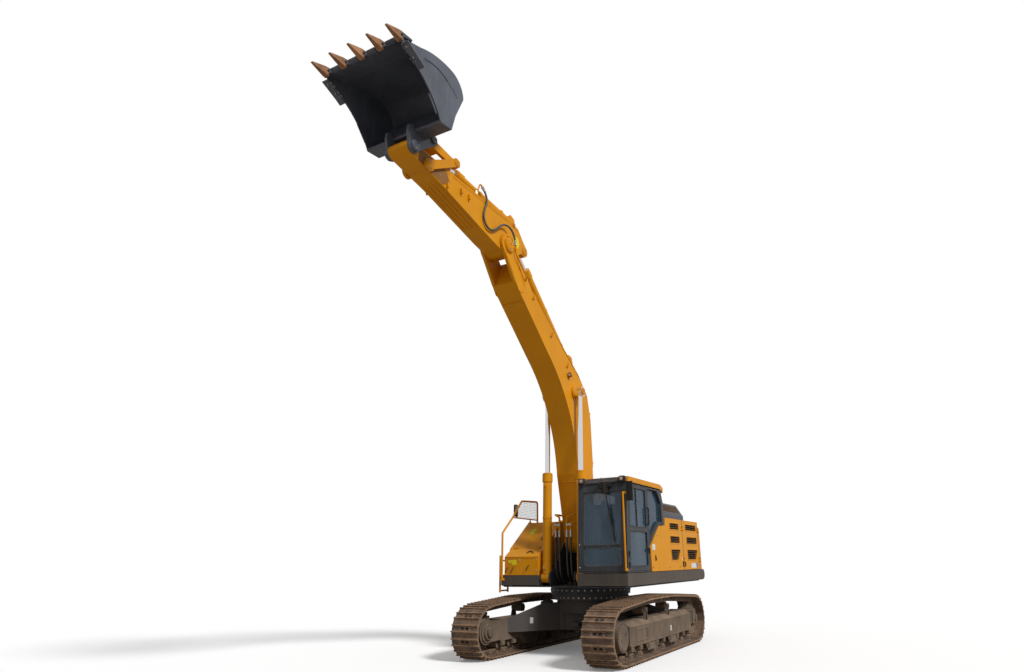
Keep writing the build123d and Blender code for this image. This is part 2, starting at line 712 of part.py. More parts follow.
with BuildPart() as counterweight:
    for foot, height, drawn_in, over_skirts in WEIGHT_LAYERS:
        half = WEIGHT_SIDE if over_skirts else LOWER_SIDE
        with BuildSketch(deck(foot)) as first:
            add(weight_plan(half, 0).line)
            make_face()
        with BuildSketch(deck(foot + height)) as last:
            add(weight_plan(half, drawn_in).line)
            make_face()
        loft([first.sketch, last.sketch])
counterweight.part.label = "counterweight"
export_step(counterweight.part, "parts/counterweight.step")

# ---------------------------------------------------------------- engine house, doors and hood

HOOD_X = (-3080, -1380)
HOOD_Y = (-1080, 1180)
SEAM_X = -1920  # middle of the post between the two left-hand doors
POST = 18
DOOR_GAP = 6
FRONT_AXIS = (SEAM_X + POST / 2 + 3, HINGE_Y)
REAR_AXIS = (HOUSE_REAR + POST + 3, HINGE_Y)
RIGHT_AXIS = (HOUSE_REAR + POST + 3, -HINGE_Y)
HOOD_AXIS = (HOOD_X[0] - 18, HOUSE_TOP + 20)
HOOD_HINGES = (-500, 600)
DOOR_Y = HALF_WIDTH - PANEL
PANEL_LOW = SKIRT_TOP + 10
house_plan = [
    (HOUSE_REAR, -1440),
    (HOUSE_REAR, 1440),
    (HOUSE_FRONT, 1440),
    (HOUSE_FRONT, -540),
    (-1310, -540),
    (-1310, -1440),
]
room_plan = [
    (HOUSE_REAR + HOUSE_WALL, -1440 + HOUSE_WALL),
    (HOUSE_REAR + HOUSE_WALL, 1440 - HOUSE_WALL),
    (HOUSE_FRONT - HOUSE_WALL, 1440 - HOUSE_WALL),
    (HOUSE_FRONT - HOUSE_WALL, -540 + HOUSE_WALL),
    (-1310 - HOUSE_WALL, -540 + HOUSE_WALL),
    (-1310 - HOUSE_WALL, -1440 + HOUSE_WALL),
]

with BuildPart() as engine_house:
    plate(deck(DECK_TOP), house_plan, HOUSE_TOP - DECK_TOP)
    plate(deck(DECK_TOP - 1), room_plan, HOUSE_TOP - DECK_TOP - HOUSE_WALL + 1, Mode.SUBTRACT)
    # under the hood, behind the left doors and behind the right door
    block(
        (HOOD_X[0] + 60, HOOD_X[1] - 60),
        (HOOD_Y[0] + 60, HOOD_Y[1] - 60),
        (HOUSE_TOP - HOUSE_WALL - 1, HOUSE_TOP + 1),
        Mode.SUBTRACT,
    )
    for x in ((SEAM_X + 60, HOUSE_FRONT - 60), (HOUSE_REAR + 60, SEAM_X - 60)):
        block(x, (1440 - HOUSE_WALL - 1, 1441), (DECK_TOP + 60, HOUSE_TOP - 80), Mode.SUBTRACT)
    wall = (-1441, -1440 + HOUSE_WALL + 1)
    block((HOUSE_REAR + 60, -1400), wall, (DECK_TOP + 60, HOUSE_TOP - 80), Mode.SUBTRACT)
    # posts that the side doors hang on
    for x, y in ((SEAM_X - POST / 2, 1440 - HOUSE_WALL), (HOUSE_REAR, 1440 - HOUSE_WALL)):
        block((x, x + POST), (y, HALF_WIDTH), (PANEL_LOW, HOUSE_TOP))
    block((HOUSE_REAR, HOUSE_REAR + POST), (-HALF_WIDTH, -1440 + HOUSE_WALL), (PANEL_LOW, HOUSE_TOP))
    hinge_pin(FRONT_AXIS, DOOR_HINGES, SEAM_X, 1)
    hinge_pin(REAR_AXIS, DOOR_HINGES, HOUSE_REAR + 4, 1)
    hinge_pin(RIGHT_AXIS, DOOR_HINGES, HOUSE_REAR + 4, -1)
    # the hood's hinges
    for y in HOOD_HINGES:
        disc(side(y + 60), HOOD_AXIS, HINGE_PIN, 120)
        for low in (y - 60, y + 34):
            block((HOOD_AXIS[0] - 10, HOOD_AXIS[0] + 8), (low, low + 26), (HOUSE_TOP - 1, HOOD_AXIS[1] + 8))
engine_house.part.label = "engine_house"
export_step(engine_house.part, "parts/engine_house.step")

with BuildPart() as engine:
    block((-2500, -1500), (-260, 180), (DECK_TOP + 150, DECK_TOP + 700))
    for x in (-2400, -1640):
        block((x, x + 60), (-240, 160), (DECK_TOP, DECK_TOP + 151))
engine.part.label = "engine"
export_step(engine.part, "parts/engine.step")

with BuildPart() as cooling_pack:
    block((-2900, -1000), (1180, 1330), (DECK_TOP, HOUSE_TOP - 120))
    block((-2860, -1040), (1179, 1331), (DECK_TOP + 60, HOUSE_TOP - 180), Mode.SUBTRACT)
    block((-2861, -1039), (1225, 1285), (DECK_TOP + 59, HOUSE_TOP - 179))
cooling_pack.part.label = "cooling_pack"
export_step(cooling_pack.part, "parts/cooling_pack.step")

# front edge of the left-hand panel, from its foot to its top
panel_front = [(180, PANEL_LOW), (225, 2010), (-350, 2460), (-730, 2480), (-760, HOUSE_TOP)]
# louvre openings: x of the rear and front ends along the top, rear and front ends along the foot, foot, top
LEFT_FRONT_LOUVRES = [
    (-1660, -1030, -1670, -1030, 2405, 2560),
    (-1700, -1035, -1690, -1050, 2110, 2275),
    (-1735, -1050, -1520, -1080, 1745, 1990),
]
REAR_LOUVRES = [
    (-2980, -2160, -3010, -2150, 2415, 2570),
    (-3020, -2205, -3005, -2190, 2110, 2280),
    (-3040, -2210, -2870, -2240, 1750, 1990),
]


SLAT_PITCH = 48
SLAT = 10  # thickness of a slat
SLAT_DEPTH = 24
SLAT_BACK = 12  # how far the slats lie behind a door's outer face


def louvres(y, outside, table):
    """Cuts a door's louvre openings through its thickness, and crosses each with level slats.

    y is the door's lesser face in Y, and outside is 1 where its outer face is the greater one, else -1.
    """
    for top_rear, top_front, foot_rear, foot_front, foot, top in table:
        outline = [(foot_rear, foot), (foot_front, foot), (top_front, top), (top_rear, top)]
        plate(side(y + PANEL + 1), outline, PANEL + 2, Mode.SUBTRACT)
        count = round((top - foot) / SLAT_PITCH) - 1
        for number in range(1, count + 1):
            share = number / (count + 1)
            z = foot + (top - foot) * share
            rear = foot_rear + (top_rear - foot_rear) * share - 4
            nose = foot_front + (top_front - foot_front) * share + 4
            face = y + PANEL - SLAT_BACK if outside > 0 else y + SLAT_BACK
            block((rear, nose), (face - outside * SLAT_DEPTH, face), (z - SLAT / 2, z + SLAT / 2))


with BuildPart() as left_front_door:
    edge = SEAM_X + POST / 2 + DOOR_GAP
    plate(side(HALF_WIDTH), [(edge, PANEL_LOW), *panel_front, (edge, HOUSE_TOP)], PANEL)
    louvres(DOOR_Y, 1, LEFT_FRONT_LOUVRES)
    hinge_knuckle(FRONT_AXIS, DOOR_HINGES, edge + 60, 1)
left_front_door.part.label = "left_front_door"
export_step(left_front_door.part, "parts/left_front_door.step")

with BuildPart() as left_rear_door:
    edge = SEAM_X - POST / 2 - DOOR_GAP
    rear_edge = HOUSE_REAR + POST + DOOR_GAP
    outline = [(rear_edge, PANEL_LOW), (edge, PANEL_LOW), (edge, HOUSE_TOP), (rear_edge, HOUSE_TOP)]
    plate(side(HALF_WIDTH), outline, PANEL)
    louvres(DOOR_Y, 1, REAR_LOUVRES)
    hinge_knuckle(REAR_AXIS, DOOR_HINGES, rear_edge + 60, 1)
left_rear_door.part.label = "left_rear_door"
export_step(left_rear_door.part, "parts/left_rear_door.step")

with BuildPart() as right_door:
    outline = [(rear_edge, PANEL_LOW), (-1330, PANEL_LOW), (-1330, HOUSE_TOP), (rear_edge, HOUSE_TOP)]
    plate(side(-DOOR_Y), outline, PANEL)
    louvres(-HALF_WIDTH, -1, REAR_LOUVRES)
    hinge_knuckle(RIGHT_AXIS, DOOR_HINGES, rear_edge + 60, -1)
right_door.part.label = "right_door"
export_step(right_door.part, "parts/right_door.step")

HOOD_WALL = 12
with BuildPart() as engine_hood:
    section = [
        (HOOD_Y[0], HOOD_LOW),
        (HOOD_Y[0], HOOD_LOW + 150),
        (HOOD_Y[0] + 130, HOOD_TOP),
        (HOOD_Y[1] - 130, HOOD_TOP),
        (HOOD_Y[1], HOOD_LOW + 150),
        (HOOD_Y[1], HOOD_LOW),
    ]
    plate(front(HOOD_X[1]), section, HOOD_X[0] - HOOD_X[1])
    # front and rear faces lean inwards
    rear, nose = HOOD_X
    plate(
        side(HOOD_Y[1] + 1),
        [(nose + 1, HOOD_LOW - 1), (nose + 1, HOOD_TOP + 1), (nose - 90, HOOD_TOP + 1)],
        HOOD_Y[1] - HOOD_Y[0] + 2,
        Mode.SUBTRACT,
    )
    plate(
        side(HOOD_Y[1] + 1),
        [(rear - 1, HOOD_LOW + 150), (rear - 1, HOOD_TOP + 1), (rear + 160, HOOD_TOP + 1)],
        HOOD_Y[1] - HOOD_Y[0] + 2,
        Mode.SUBTRACT,
    )
    inner = [
        (HOOD_Y[0] + HOOD_WALL, HOOD_LOW - 1),
        (HOOD_Y[0] + HOOD_WALL, HOOD_LOW + 144),
        (HOOD_Y[0] + 136, HOOD_TOP - HOOD_WALL),
        (HOOD_Y[1] - 136, HOOD_TOP - HOOD_WALL),
        (HOOD_Y[1] - HOOD_WALL, HOOD_LOW + 144),
        (HOOD_Y[1] - HOOD_WALL, HOOD_LOW - 1),
    ]
    plate(front(nose - 110), inner, rear - nose + 290, Mode.SUBTRACT)
    for y in HOOD_HINGES:
        disc(side(y + 30), HOOD_AXIS, 13, 60)
        block((HOOD_AXIS[0], HOOD_X[0] + 1), (y - 30, y + 30), (HOOD_AXIS[1] - 8, HOOD_AXIS[1] + 12))
        disc(side(y + 31), HOOD_AXIS, HINGE_PIN + RUNNING, 62, Mode.SUBTRACT)
engine_hood.part.label = "engine_hood"
export_step(engine_hood.part, "parts/engine_hood.step")

# ---------------------------------------------------------------- tanks, tool box and right-hand rails

TANK_WALL = 10
BEVEL_FOOT = (RIGHT_FRONT, 1850)
BEVEL_TOP = (TANK_FRONT + 5, 2020)
LID = 16
lid_angle = degrees(atan2(BEVEL_TOP[1] - BEVEL_FOOT[1], BEVEL_TOP[0] - BEVEL_FOOT[0]))
LID_HINGE = turned(BEVEL_TOP, lid_angle, (0, -34))
LID_HINGES = (-1300, -760)
LID_PIN = 6
tank_profile = [
    (-1300, DECK_TOP),
    (TANK_FRONT, DECK_TOP),
    (TANK_FRONT, 2030),
    (150, 2610),
    (-1300, 2610),
]
with BuildPart() as tanks:
    plate(side(TANK_Y[1]), tank_profile, TANK_Y[1] - TANK_Y[0])
    inner = [
        (-1300 + TANK_WALL, DECK_TOP - 1),
        (TANK_FRONT - TANK_WALL, DECK_TOP - 1),
        (TANK_FRONT - TANK_WALL, 2030 - 5),
        (150 - 4, 2610 - TANK_WALL),
        (-1300 + TANK_WALL, 2610 - TANK_WALL),
    ]
    plate(side(TANK_Y[1] - TANK_WALL), inner, TANK_Y[1] - TANK_Y[0] - 2 * TANK_WALL, Mode.SUBTRACT)
    # lugs that carry the tool box lid's hinge pins
    for y in LID_HINGES:
        disc(side(y + 50), LID_HINGE, LID_PIN, 100)
        for low in (y - 50, y + 30):
            x, z = LID_HINGE
            plate(side(low + 20), [(905, 2040), (x + 9, z - 9), (x + 9, z + 9), (905, 2066)], 20)
tanks.part.label = "tanks"
export_step(tanks.part, "parts/tanks.step")

BOX_Y = (-1420, -605)
BOX_WALL = 8
with BuildPart() as tool_box:
    box_rear = TANK_FRONT + 2
    outline = [(box_rear, DECK_TOP), (RIGHT_FRONT, DECK_TOP), BEVEL_FOOT, (box_rear, BEVEL_TOP[1])]
    plate(side(BOX_Y[1]), outline, BOX_Y[1] - BOX_Y[0])
    inner = [
        (TANK_FRONT + 2 + BOX_WALL, DECK_TOP + BOX_WALL),
        (RIGHT_FRONT - BOX_WALL, DECK_TOP + BOX_WALL),
        (RIGHT_FRONT - BOX_WALL, 2100),
        (TANK_FRONT + 2 + BOX_WALL, 2100),
    ]
    plate(side(BOX_Y[1] - BOX_WALL), inner, BOX_Y[1] - BOX_Y[0] - 2 * BOX_WALL, Mode.SUBTRACT)
tool_box.part.label = "tool_box"
export_step(tool_box.part, "parts/tool_box.step")

with BuildPart() as tool_box_lid:
    run = hypot(BEVEL_TOP[0] - BEVEL_FOOT[0], BEVEL_TOP[1] - BEVEL_FOOT[1])
    outline = [(4, -SEAT), (4, -LID - SEAT), (run, -LID - SEAT), (run, -SEAT)]
    lid_plane = member(BEVEL_FOOT, lid_angle, BOX_Y[1])
    plate(lid_plane, outline, BOX_Y[1] - BOX_Y[0])
    for y in LID_HINGES:
        disc(side(y + 28), LID_HINGE, 10, 56)
        web = [(run, -LID), (run - 20, -LID), (run - 10, -34), (run, -34)]
        plate(member(BEVEL_FOOT, lid_angle, y + 28), web, 56)
        disc(side(y + 29), LID_HINGE, LID_PIN + RUNNING, 58, Mode.SUBTRACT)
tool_box_lid.part.label = "tool_box_lid"
export_step(tool_box_lid.part, "parts/tool_box_lid.step")

RAIL = 21  # radius of the hand rails' tube
RAIL_Y = -1450
RAIL_X = 1250
tank_top = 2610


def at(x, y, z):
    """A point counted from the slewing axis, in the part's own coordinates."""
    return (SLEW_X + x, y, z)


with BuildPart() as hand_rails:
    # the rail beside the tool box and its guard over the tank
    pipe(
        [
            at(RAIL_X, RAIL_Y, 1440),
            at(RAIL_X, RAIL_Y, 2360),
            at(860, RAIL_Y, 2690),
            at(470, RAIL_Y, 3080),
            at(-235, RAIL_Y, 3110),
            at(-235, RAIL_Y, tank_top),
        ],
        RAIL,
        60,
    )
    pipe([at(840, RAIL_Y, 2700), at(-235, RAIL_Y, 2690)], 14, 0)
    pipe([at(100, RAIL_Y, 2690), at(100, RAIL_Y, tank_top)], 14, 0)
    block((RIGHT_FRONT, RAIL_X + 25), (RAIL_Y - 30, RAIL_Y + 30), (1400, 1441))
    # steps beside the tool box
    for x in (860, 1160):
        block((x, x + 30), (-1560, -1530), (1160, 1900))
        block((x, x + 30), (-1531, -HALF_WIDTH), (1400, 1430))
    for z in (1180, 1480, 1780):
        block((889, 1161), (-1560, -1520), (z, z + 25))
hand_rails.part.label = "hand_rails"
export_step(hand_rails.part, "parts/hand_rails.step")

# ---------------------------------------------------------------- cab

CAB_HINGE = (DOOR_FRONT - SIDE_PLAY, HINGE_Y)
CAB_DOOR_HINGES = (1680, 1880)
RAKE = 100  # the windscreen's top stands this far behind its foot
DOOR_LEAN = 95
with BuildPart() as cab_shell:
    profile = [
        (CAB_REAR, CAB_LOW),
        (CAB_FRONT, CAB_LOW),
        (CAB_FRONT, CAB_SILL),
        (CAB_FRONT - RAKE, CAB_TOP),
        (CAB_REAR + 130, CAB_TOP),
        (CAB_REAR, CAB_SHOULDER),
    ]
    plate(side(HALF_WIDTH), profile, HALF_WIDTH - CAB_RIGHT)
    room = [
        (CAB_REAR + CAB_POST, CAB_LOW + 40),
        (CAB_FRONT - CAB_POST, CAB_LOW + 40),
        (CAB_FRONT - CAB_POST, CAB_SILL),
        (CAB_FRONT - CAB_POST - RAKE, CAB_TOP - 50),
        (CAB_REAR + 130 + CAB_POST, CAB_TOP - 50),
        (CAB_REAR + CAB_POST, CAB_SHOULDER),
    ]
    plate(side(HALF_WIDTH - CAB_POST), room, HALF_WIDTH - CAB_RIGHT - 2 * CAB_POST, Mode.SUBTRACT)
    # windscreen
    windscreen = [
        (CAB_RIGHT + 110, SCREEN[0]),
        (HALF_WIDTH - 100, SCREEN[0]),
        (HALF_WIDTH - 100, SCREEN[1]),
        (CAB_RIGHT + 110, SCREEN[1]),
    ]
    plate(front(CAB_FRONT + 10), windscreen, -CAB_POST - RAKE - 20, Mode.SUBTRACT)
    # door opening
    doorway = [
        (DOOR_REAR, DOOR_LOW),
        (DOOR_FRONT, DOOR_LOW),
        (DOOR_FRONT, CAB_SILL),
        (DOOR_FRONT - DOOR_LEAN, DOOR_TOP),
        (DOOR_REAR, DOOR_TOP),
    ]
    plate(side(HALF_WIDTH + 1), doorway, CAB_POST + 2, Mode.SUBTRACT)
    # the pocket that the left-hand side panel lies in
    pocket = [
        (CAB_REAR - 1, CAB_LOW - 1),
        (DOOR_REAR - 20, CAB_LOW - 1),
        (DOOR_REAR - 20, 2030),
        (-345, 2475),
        (CAB_REAR - 1, 2495),
    ]
    plate(side(HALF_WIDTH + 1), pocket, PANEL + 12, Mode.SUBTRACT)
    # quarter window behind the door, right-hand window and rear window
    quarter = [
        (DOOR_REAR - 70, 2100),
        (DOOR_REAR - 70, QUARTER_TOP),
        (-330, QUARTER_TOP),
        (-560, CAB_SHOULDER),
        (-560, 2540),
        (-345, 2540),
    ]
    plate(side(HALF_WIDTH + 1), quarter, CAB_POST + 2, Mode.SUBTRACT)
    right_window = [
        (-480, 2100),
        (1290, 2100),
        (1270, SIDE_WINDOW_TOP),
        (-440, SIDE_WINDOW_TOP),
        (-480, CAB_SHOULDER),
    ]
    plate(side(CAB_RIGHT + CAB_POST + 1), right_window, CAB_POST + 2, Mode.SUBTRACT)
    rear_window = [
        (CAB_RIGHT + 120, REAR_WINDOW[0]),
        (HALF_WIDTH - 120, REAR_WINDOW[0]),
        (HALF_WIDTH - 120, REAR_WINDOW[1]),
        (CAB_RIGHT + 120, REAR_WINDOW[1]),
    ]
    plate(front(CAB_REAR + CAB_POST + 10), rear_window, -CAB_POST - 20, Mode.SUBTRACT)
    hinge_pin(CAB_HINGE, CAB_DOOR_HINGES, DOOR_FRONT + 24, 1)
cab_shell.part.label = "cab_shell"
export_step(cab_shell.part, "parts/cab_shell.step")

with BuildPart() as cab_roof:
    outline = [
        (CAB_FRONT - RAKE - 120, CAB_TOP + SEAT),
        (CAB_FRONT - RAKE - 160, ROOF_TOP),
        (CAB_REAR + 60, ROOF_TOP),
        (CAB_REAR - 110, ROOF_TOP - 70),
        (CAB_REAR - 90, CAB_TOP - 60),
        (CAB_REAR - 5, CAB_TOP - 10),
        (CAB_REAR + 110, CAB_TOP + SEAT),
    ]
    plate(side(HALF_WIDTH - 20), outline, HALF_WIDTH - CAB_RIGHT - 40)
    bottom = [
        (CAB_FRONT - RAKE - 220, CAB_TOP - 1),
        (CAB_FRONT - RAKE - 220, ROOF_TOP - 40),
        (CAB_REAR + 200, ROOF_TOP - 40),
        (CAB_REAR + 200, CAB_TOP - 1),
    ]
    plate(side(HALF_WIDTH - 80), bottom, HALF_WIDTH - CAB_RIGHT - 160, Mode.SUBTRACT)
cab_roof.part.label = "cab_roof"
export_step(cab_roof.part, "parts/cab_roof.step")

PANE_GAP = 0.5
with BuildPart() as cab_glass:
    # upper and lower windscreen, in the plane of the raked front
    low, high = CAB_RIGHT + 110 + PANE_GAP, HALF_WIDTH - 100 - PANE_GAP
    lower = [
        (CAB_FRONT - 30, SCREEN[0] + PANE_GAP),
        (CAB_FRONT - 30 + GLASS, SCREEN[0] + PANE_GAP),
        (CAB_FRONT - 30 + GLASS, CAB_SILL),
        (CAB_FRONT - 36 + GLASS, 2028),
        (CAB_FRONT - 36, 2028),
        (CAB_FRONT - 30, CAB_SILL),
    ]
    plate(side(high), lower, high - low)
    top_x = CAB_FRONT - 30 - RAKE * (SCREEN[1] - CAB_SILL) / (CAB_TOP - CAB_SILL)
    upper = [
        (CAB_FRONT - 36, 2032),
        (CAB_FRONT - 36 + GLASS, 2032),
        (top_x + GLASS, SCREEN[1] - PANE_GAP),
        (top_x, SCREEN[1] - PANE_GAP),
    ]
    plate(side(high), upper, high - low)
    quarter_pane = [
        (DOOR_REAR - 70.5, 2101),
        (DOOR_REAR - 70.5, QUARTER_TOP - PANE_GAP),
        (-329.8, QUARTER_TOP - PANE_GAP),
        (-559.5, CAB_SHOULDER - 0.2),
        (-559.5, 2540.5),
        (-345.2, 2540.5),
    ]
    plate(side(HALF_WIDTH - CAB_POST + 10), quarter_pane, GLASS)
    right_pane = [
        (-479.5, 2100.5),
        (1289.5, 2100.5),
        (1269.5, SIDE_WINDOW_TOP - PANE_GAP),
        (-439.7, SIDE_WINDOW_TOP - PANE_GAP),
        (-479.5, CAB_SHOULDER - 0.1),
    ]
    plate(side(CAB_RIGHT + 40), right_pane, GLASS)
    rear_pane = [
        (CAB_RIGHT + 120.5, REAR_WINDOW[0] + PANE_GAP),
        (HALF_WIDTH - 120.5, REAR_WINDOW[0] + PANE_GAP),
        (HALF_WIDTH - 120.5, REAR_WINDOW[1] - PANE_GAP),
        (CAB_RIGHT + 120.5, REAR_WINDOW[1] - PANE_GAP),
    ]
    plate(front(CAB_REAR + 40), rear_pane, GLASS)
cab_glass.part.label = "cab_glass"
export_step(cab_glass.part, "parts/cab_glass.step")

DOOR_RAIL = 55
with BuildPart() as cab_door:
    outline = [
        (DOOR_REAR + SIDE_PLAY, DOOR_LOW + SIDE_PLAY),
        (DOOR_FRONT - SIDE_PLAY, DOOR_LOW + SIDE_PLAY),
        (DOOR_FRONT - SIDE_PLAY, CAB_SILL),
        (DOOR_FRONT - DOOR_LEAN - SIDE_PLAY, DOOR_TOP - SIDE_PLAY),
        (DOOR_REAR + SIDE_PLAY, DOOR_TOP - SIDE_PLAY),
    ]
    plate(side(HALF_WIDTH), outline, PANEL)
    # upper and lower lights
    for low, high in DOOR_LIGHTS:
        lean = DOOR_LEAN * (high - CAB_SILL) / (DOOR_TOP - CAB_SILL) if high > 2400 else 25
        light = [
            (DOOR_REAR + 75, low),
            (DOOR_FRONT - 70 - (25 if low > 2000 else 0), low),
            (DOOR_FRONT - 70 - lean, high),
            (DOOR_REAR + 75, high),
        ]
        plate(side(HALF_WIDTH + 1), light, PANEL + 2, Mode.SUBTRACT)
    hinge_knuckle(CAB_HINGE, CAB_DOOR_HINGES, DOOR_FRONT - 64, 1)
cab_door.part.label = "cab_door"
export_step(cab_door.part, "parts/cab_door.step")

with BuildPart() as cab_door_glass:
    for low, high in DOOR_LIGHTS:
        lean = DOOR_LEAN * (high - CAB_SILL) / (DOOR_TOP - CAB_SILL) if high > 2400 else 25
        pane = [
            (DOOR_REAR + 75 + PANE_GAP, low + PANE_GAP),
            (DOOR_FRONT - 70 - (25 if low > 2000 else 0) - PANE_GAP, low + PANE_GAP),
            (DOOR_FRONT - 70 - lean - PANE_GAP, high - PANE_GAP),
            (DOOR_REAR + 75 + PANE_GAP, high - PANE_GAP),
        ]
        plate(side(HALF_WIDTH - 18), pane, GLASS)
cab_door_glass.part.label = "cab_door_glass"
export_step(cab_door_glass.part, "parts/cab_door_glass.step")

SEAT_Y = 980
with BuildPart() as operator_station:
    # seat base, cushion and back, with an arm console on each side
    floor = CAB_LOW + 40
    block((60, 560), (SEAT_Y - 200, SEAT_Y + 200), (floor, floor + 320))
    block((40, 620), (SEAT_Y - 260, SEAT_Y + 260), (floor + 319, floor + 460))
    back = [(40, floor + 459), (180, floor + 459), (60, floor + 1150), (-60, floor + 1150)]
    plate(side(SEAT_Y + 240), back, 480)
    for y in (SEAT_Y - 370, SEAT_Y + 250):
        block((100, 760), (y, y + 120), (floor + 340, floor + 560))
        block((680, 720), (y + 40, y + 80), (floor + 559, floor + 720))
operator_station.part.label = "operator_station"
export_step(operator_station.part, "parts/operator_station.step")

with BuildPart() as cab_fittings:
    # work lamps on the roof's front corners
    lamp_x = CAB_FRONT - RAKE
    for y in (CAB_RIGHT + 20, HALF_WIDTH - 150):
        block((lamp_x - 60, lamp_x + 30), (y, y + 120), (CAB_TOP + SEAT, CAB_TOP + 100))
    # grab rail at the door's front corner
    pipe(
        [
            (SLEW_X + CAB_FRONT + SEAT, HALF_WIDTH - 25, 1590),
            (SLEW_X + CAB_FRONT + 45, HALF_WIDTH - 25, 1590),
            (SLEW_X + CAB_FRONT + 45, HALF_WIDTH - 25, 3020),
            (SLEW_X + CAB_FRONT - RAKE + 22, HALF_WIDTH - 25, 3020),
        ],
        16,
        30,
    )
cab_fittings.part.label = "cab_fittings"
export_step(cab_fittings.part, "parts/cab_fittings.step")

with BuildPart() as mirrors:
    # left-hand mirror on its arm in front of the door, right-hand mirror in the rail guard
    block((1432, 1462), (1530, 1660), (2860, 3230))
    block((1325, 1433), (1520, 1545), (3020, 3045))
    block((1325, 1350), (HALF_WIDTH, 1521), (3020, 3045))
    block((560, 700), (RAIL_Y - 70, RAIL_Y - 45), (2740, 2990))
    block((610, 640), (RAIL_Y - 46, RAIL_Y - 14), (2690, 2720))
    block((610, 640), (RAIL_Y - 46, RAIL_Y - 30), (2719, 2760))
mirrors.part.label = "mirrors"
export_step(mirrors.part, "parts/mirrors.step")

# ---------------------------------------------------------------- boom

FOOT_RADIUS = 230
FORK_RADIUS = 230
FORK_GAP = STICK_WIDTH / 2 + SIDE_PLAY
BEND_TOP = (2720, 1605)
BEND_BOTTOM = (2757, 600)
BOOM_INSET = 18
TOP_KNEE = BOOM_LENGTH - 1948  # places along the boom where its outline turns
TIP_KNEE = BOOM_LENGTH - 1018
BOTTOM_KNEE = BOOM_LENGTH - 2362
FORK_ROOT = BOOM_LENGTH - 840
HOLLOW_END = BOOM_LENGTH - 920


def boom_profile(inset, foot, tip):
    """The boom's side outline, inset between its ends. Foot and tip list their corners in order."""
    with BuildLine() as outline:
        Line(foot[-1], (1149, 908 - inset))
        Line((1149, 908 - inset), (2178, 1455 - inset))
        ThreePointArc((2178, 1455 - inset), (BEND_TOP[0], BEND_TOP[1] - inset), (3250, 1470 - inset))
        Line((3250, 1470 - inset), (TOP_KNEE, 860 - inset))
        Line((TOP_KNEE, 860 - inset), (TIP_KNEE, 430 - inset))
        Polyline((TIP_KNEE, 430 - inset), *tip, (BOTTOM_KNEE, 387 + inset))
        middle = (BEND_BOTTOM[0], BEND_BOTTOM[1] + inset)
        ThreePointArc((BOTTOM_KNEE, 387 + inset), middle, (1457, 259 + inset))
        Polyline((1457, 259 + inset), *foot)
    return outline


with BuildPart() as boom:
    with BuildSketch(boom_plane(BOOM_WIDTH / 2)) as skin:
        foot = [(0, -215), (0, 215)]
        tip = [(BOOM_LENGTH, 225), (BOOM_LENGTH, -225), (BOOM_LENGTH - 680, -160)]
        add(boom_profile(0, foot, tip).line)
        make_face()
        Circle(FOOT_RADIUS)
        with Locations((BOOM_LENGTH, 0)):
            Circle(FORK_RADIUS)
    extrude(skin.sketch, amount=BOOM_WIDTH)
    # the box section's inside
    with BuildSketch(boom_plane(BOOM_WIDTH / 2 - BOOM_PLATE)) as hollow:
        foot = [(360, -80), (360, 410)]
        tip = [(HOLLOW_END, 390), (HOLLOW_END, -60)]
        add(boom_profile(BOOM_INSET, foot, tip).line)
        make_face()
    extrude(hollow.sketch, amount=BOOM_WIDTH - 2 * BOOM_PLATE, mode=Mode.SUBTRACT)
    # the fork that takes the stick
    fork = [(BOOM_LENGTH - 260, 400), (FORK_ROOT, -330), (BOOM_LENGTH + 520, -330), (BOOM_LENGTH + 520, 400)]
    plate(boom_plane(FORK_GAP), fork, 2 * FORK_GAP, Mode.SUBTRACT)
    # bosses: foot, stick pin, boom cylinders' cross pin and the arm cylinder's bracket
    disc(boom_plane(BOOM_WIDTH / 2 + 5), (0, 0), FOOT_RADIUS - 60, BOOM_WIDTH + 10)
    disc(boom_plane(BOOM_WIDTH), (0, 0), FOOT_PIN_RADIUS + RUNNING, 2 * BOOM_WIDTH, Mode.SUBTRACT)
    disc(boom_plane(BOOM_WIDTH / 2 + 30), (BOOM_LENGTH, 0), 150, BOOM_WIDTH / 2 + 30 - FORK_GAP)
    disc(boom_plane(-FORK_GAP), (BOOM_LENGTH, 0), 150, BOOM_WIDTH / 2 + 30 - FORK_GAP)
    disc(boom_plane(FORK_GAP + 1), (BOOM_LENGTH, 0), ARM_PIN_RADIUS, 2 * FORK_GAP + 2)
    boss_reach = CYLINDER_LANE - CYLINDER_EYE - SIDE_PLAY
    disc(boom_plane(boss_reach), BOOM_ROD_PIN, 140, 2 * boss_reach)
    for y in (-150, 110):
        lug = [
            (ARM_CYLINDER_FOOT[0] - 330, ARM_CYLINDER_FOOT[1] - 200),
            (ARM_CYLINDER_FOOT[0] - 100, ARM_CYLINDER_FOOT[1] + 80),
            (ARM_CYLINDER_FOOT[0] + 40, ARM_CYLINDER_FOOT[1] + 100),
            (ARM_CYLINDER_FOOT[0] + 120, ARM_CYLINDER_FOOT[1]),
            (ARM_CYLINDER_FOOT[0] + 330, ARM_CYLINDER_FOOT[1] - 440),
            (ARM_CYLINDER_FOOT[0] - 200, ARM_CYLINDER_FOOT[1] - 280),
        ]
        plate(boom_plane(y + 40), lug, 40)
    disc(boom_plane(150), ARM_CYLINDER_FOOT, ARM_PIN_RADIUS, 300)
boom.part.label = "boom"
export_step(boom.part, "parts/boom.step")

# ---------------------------------------------------------------- stick

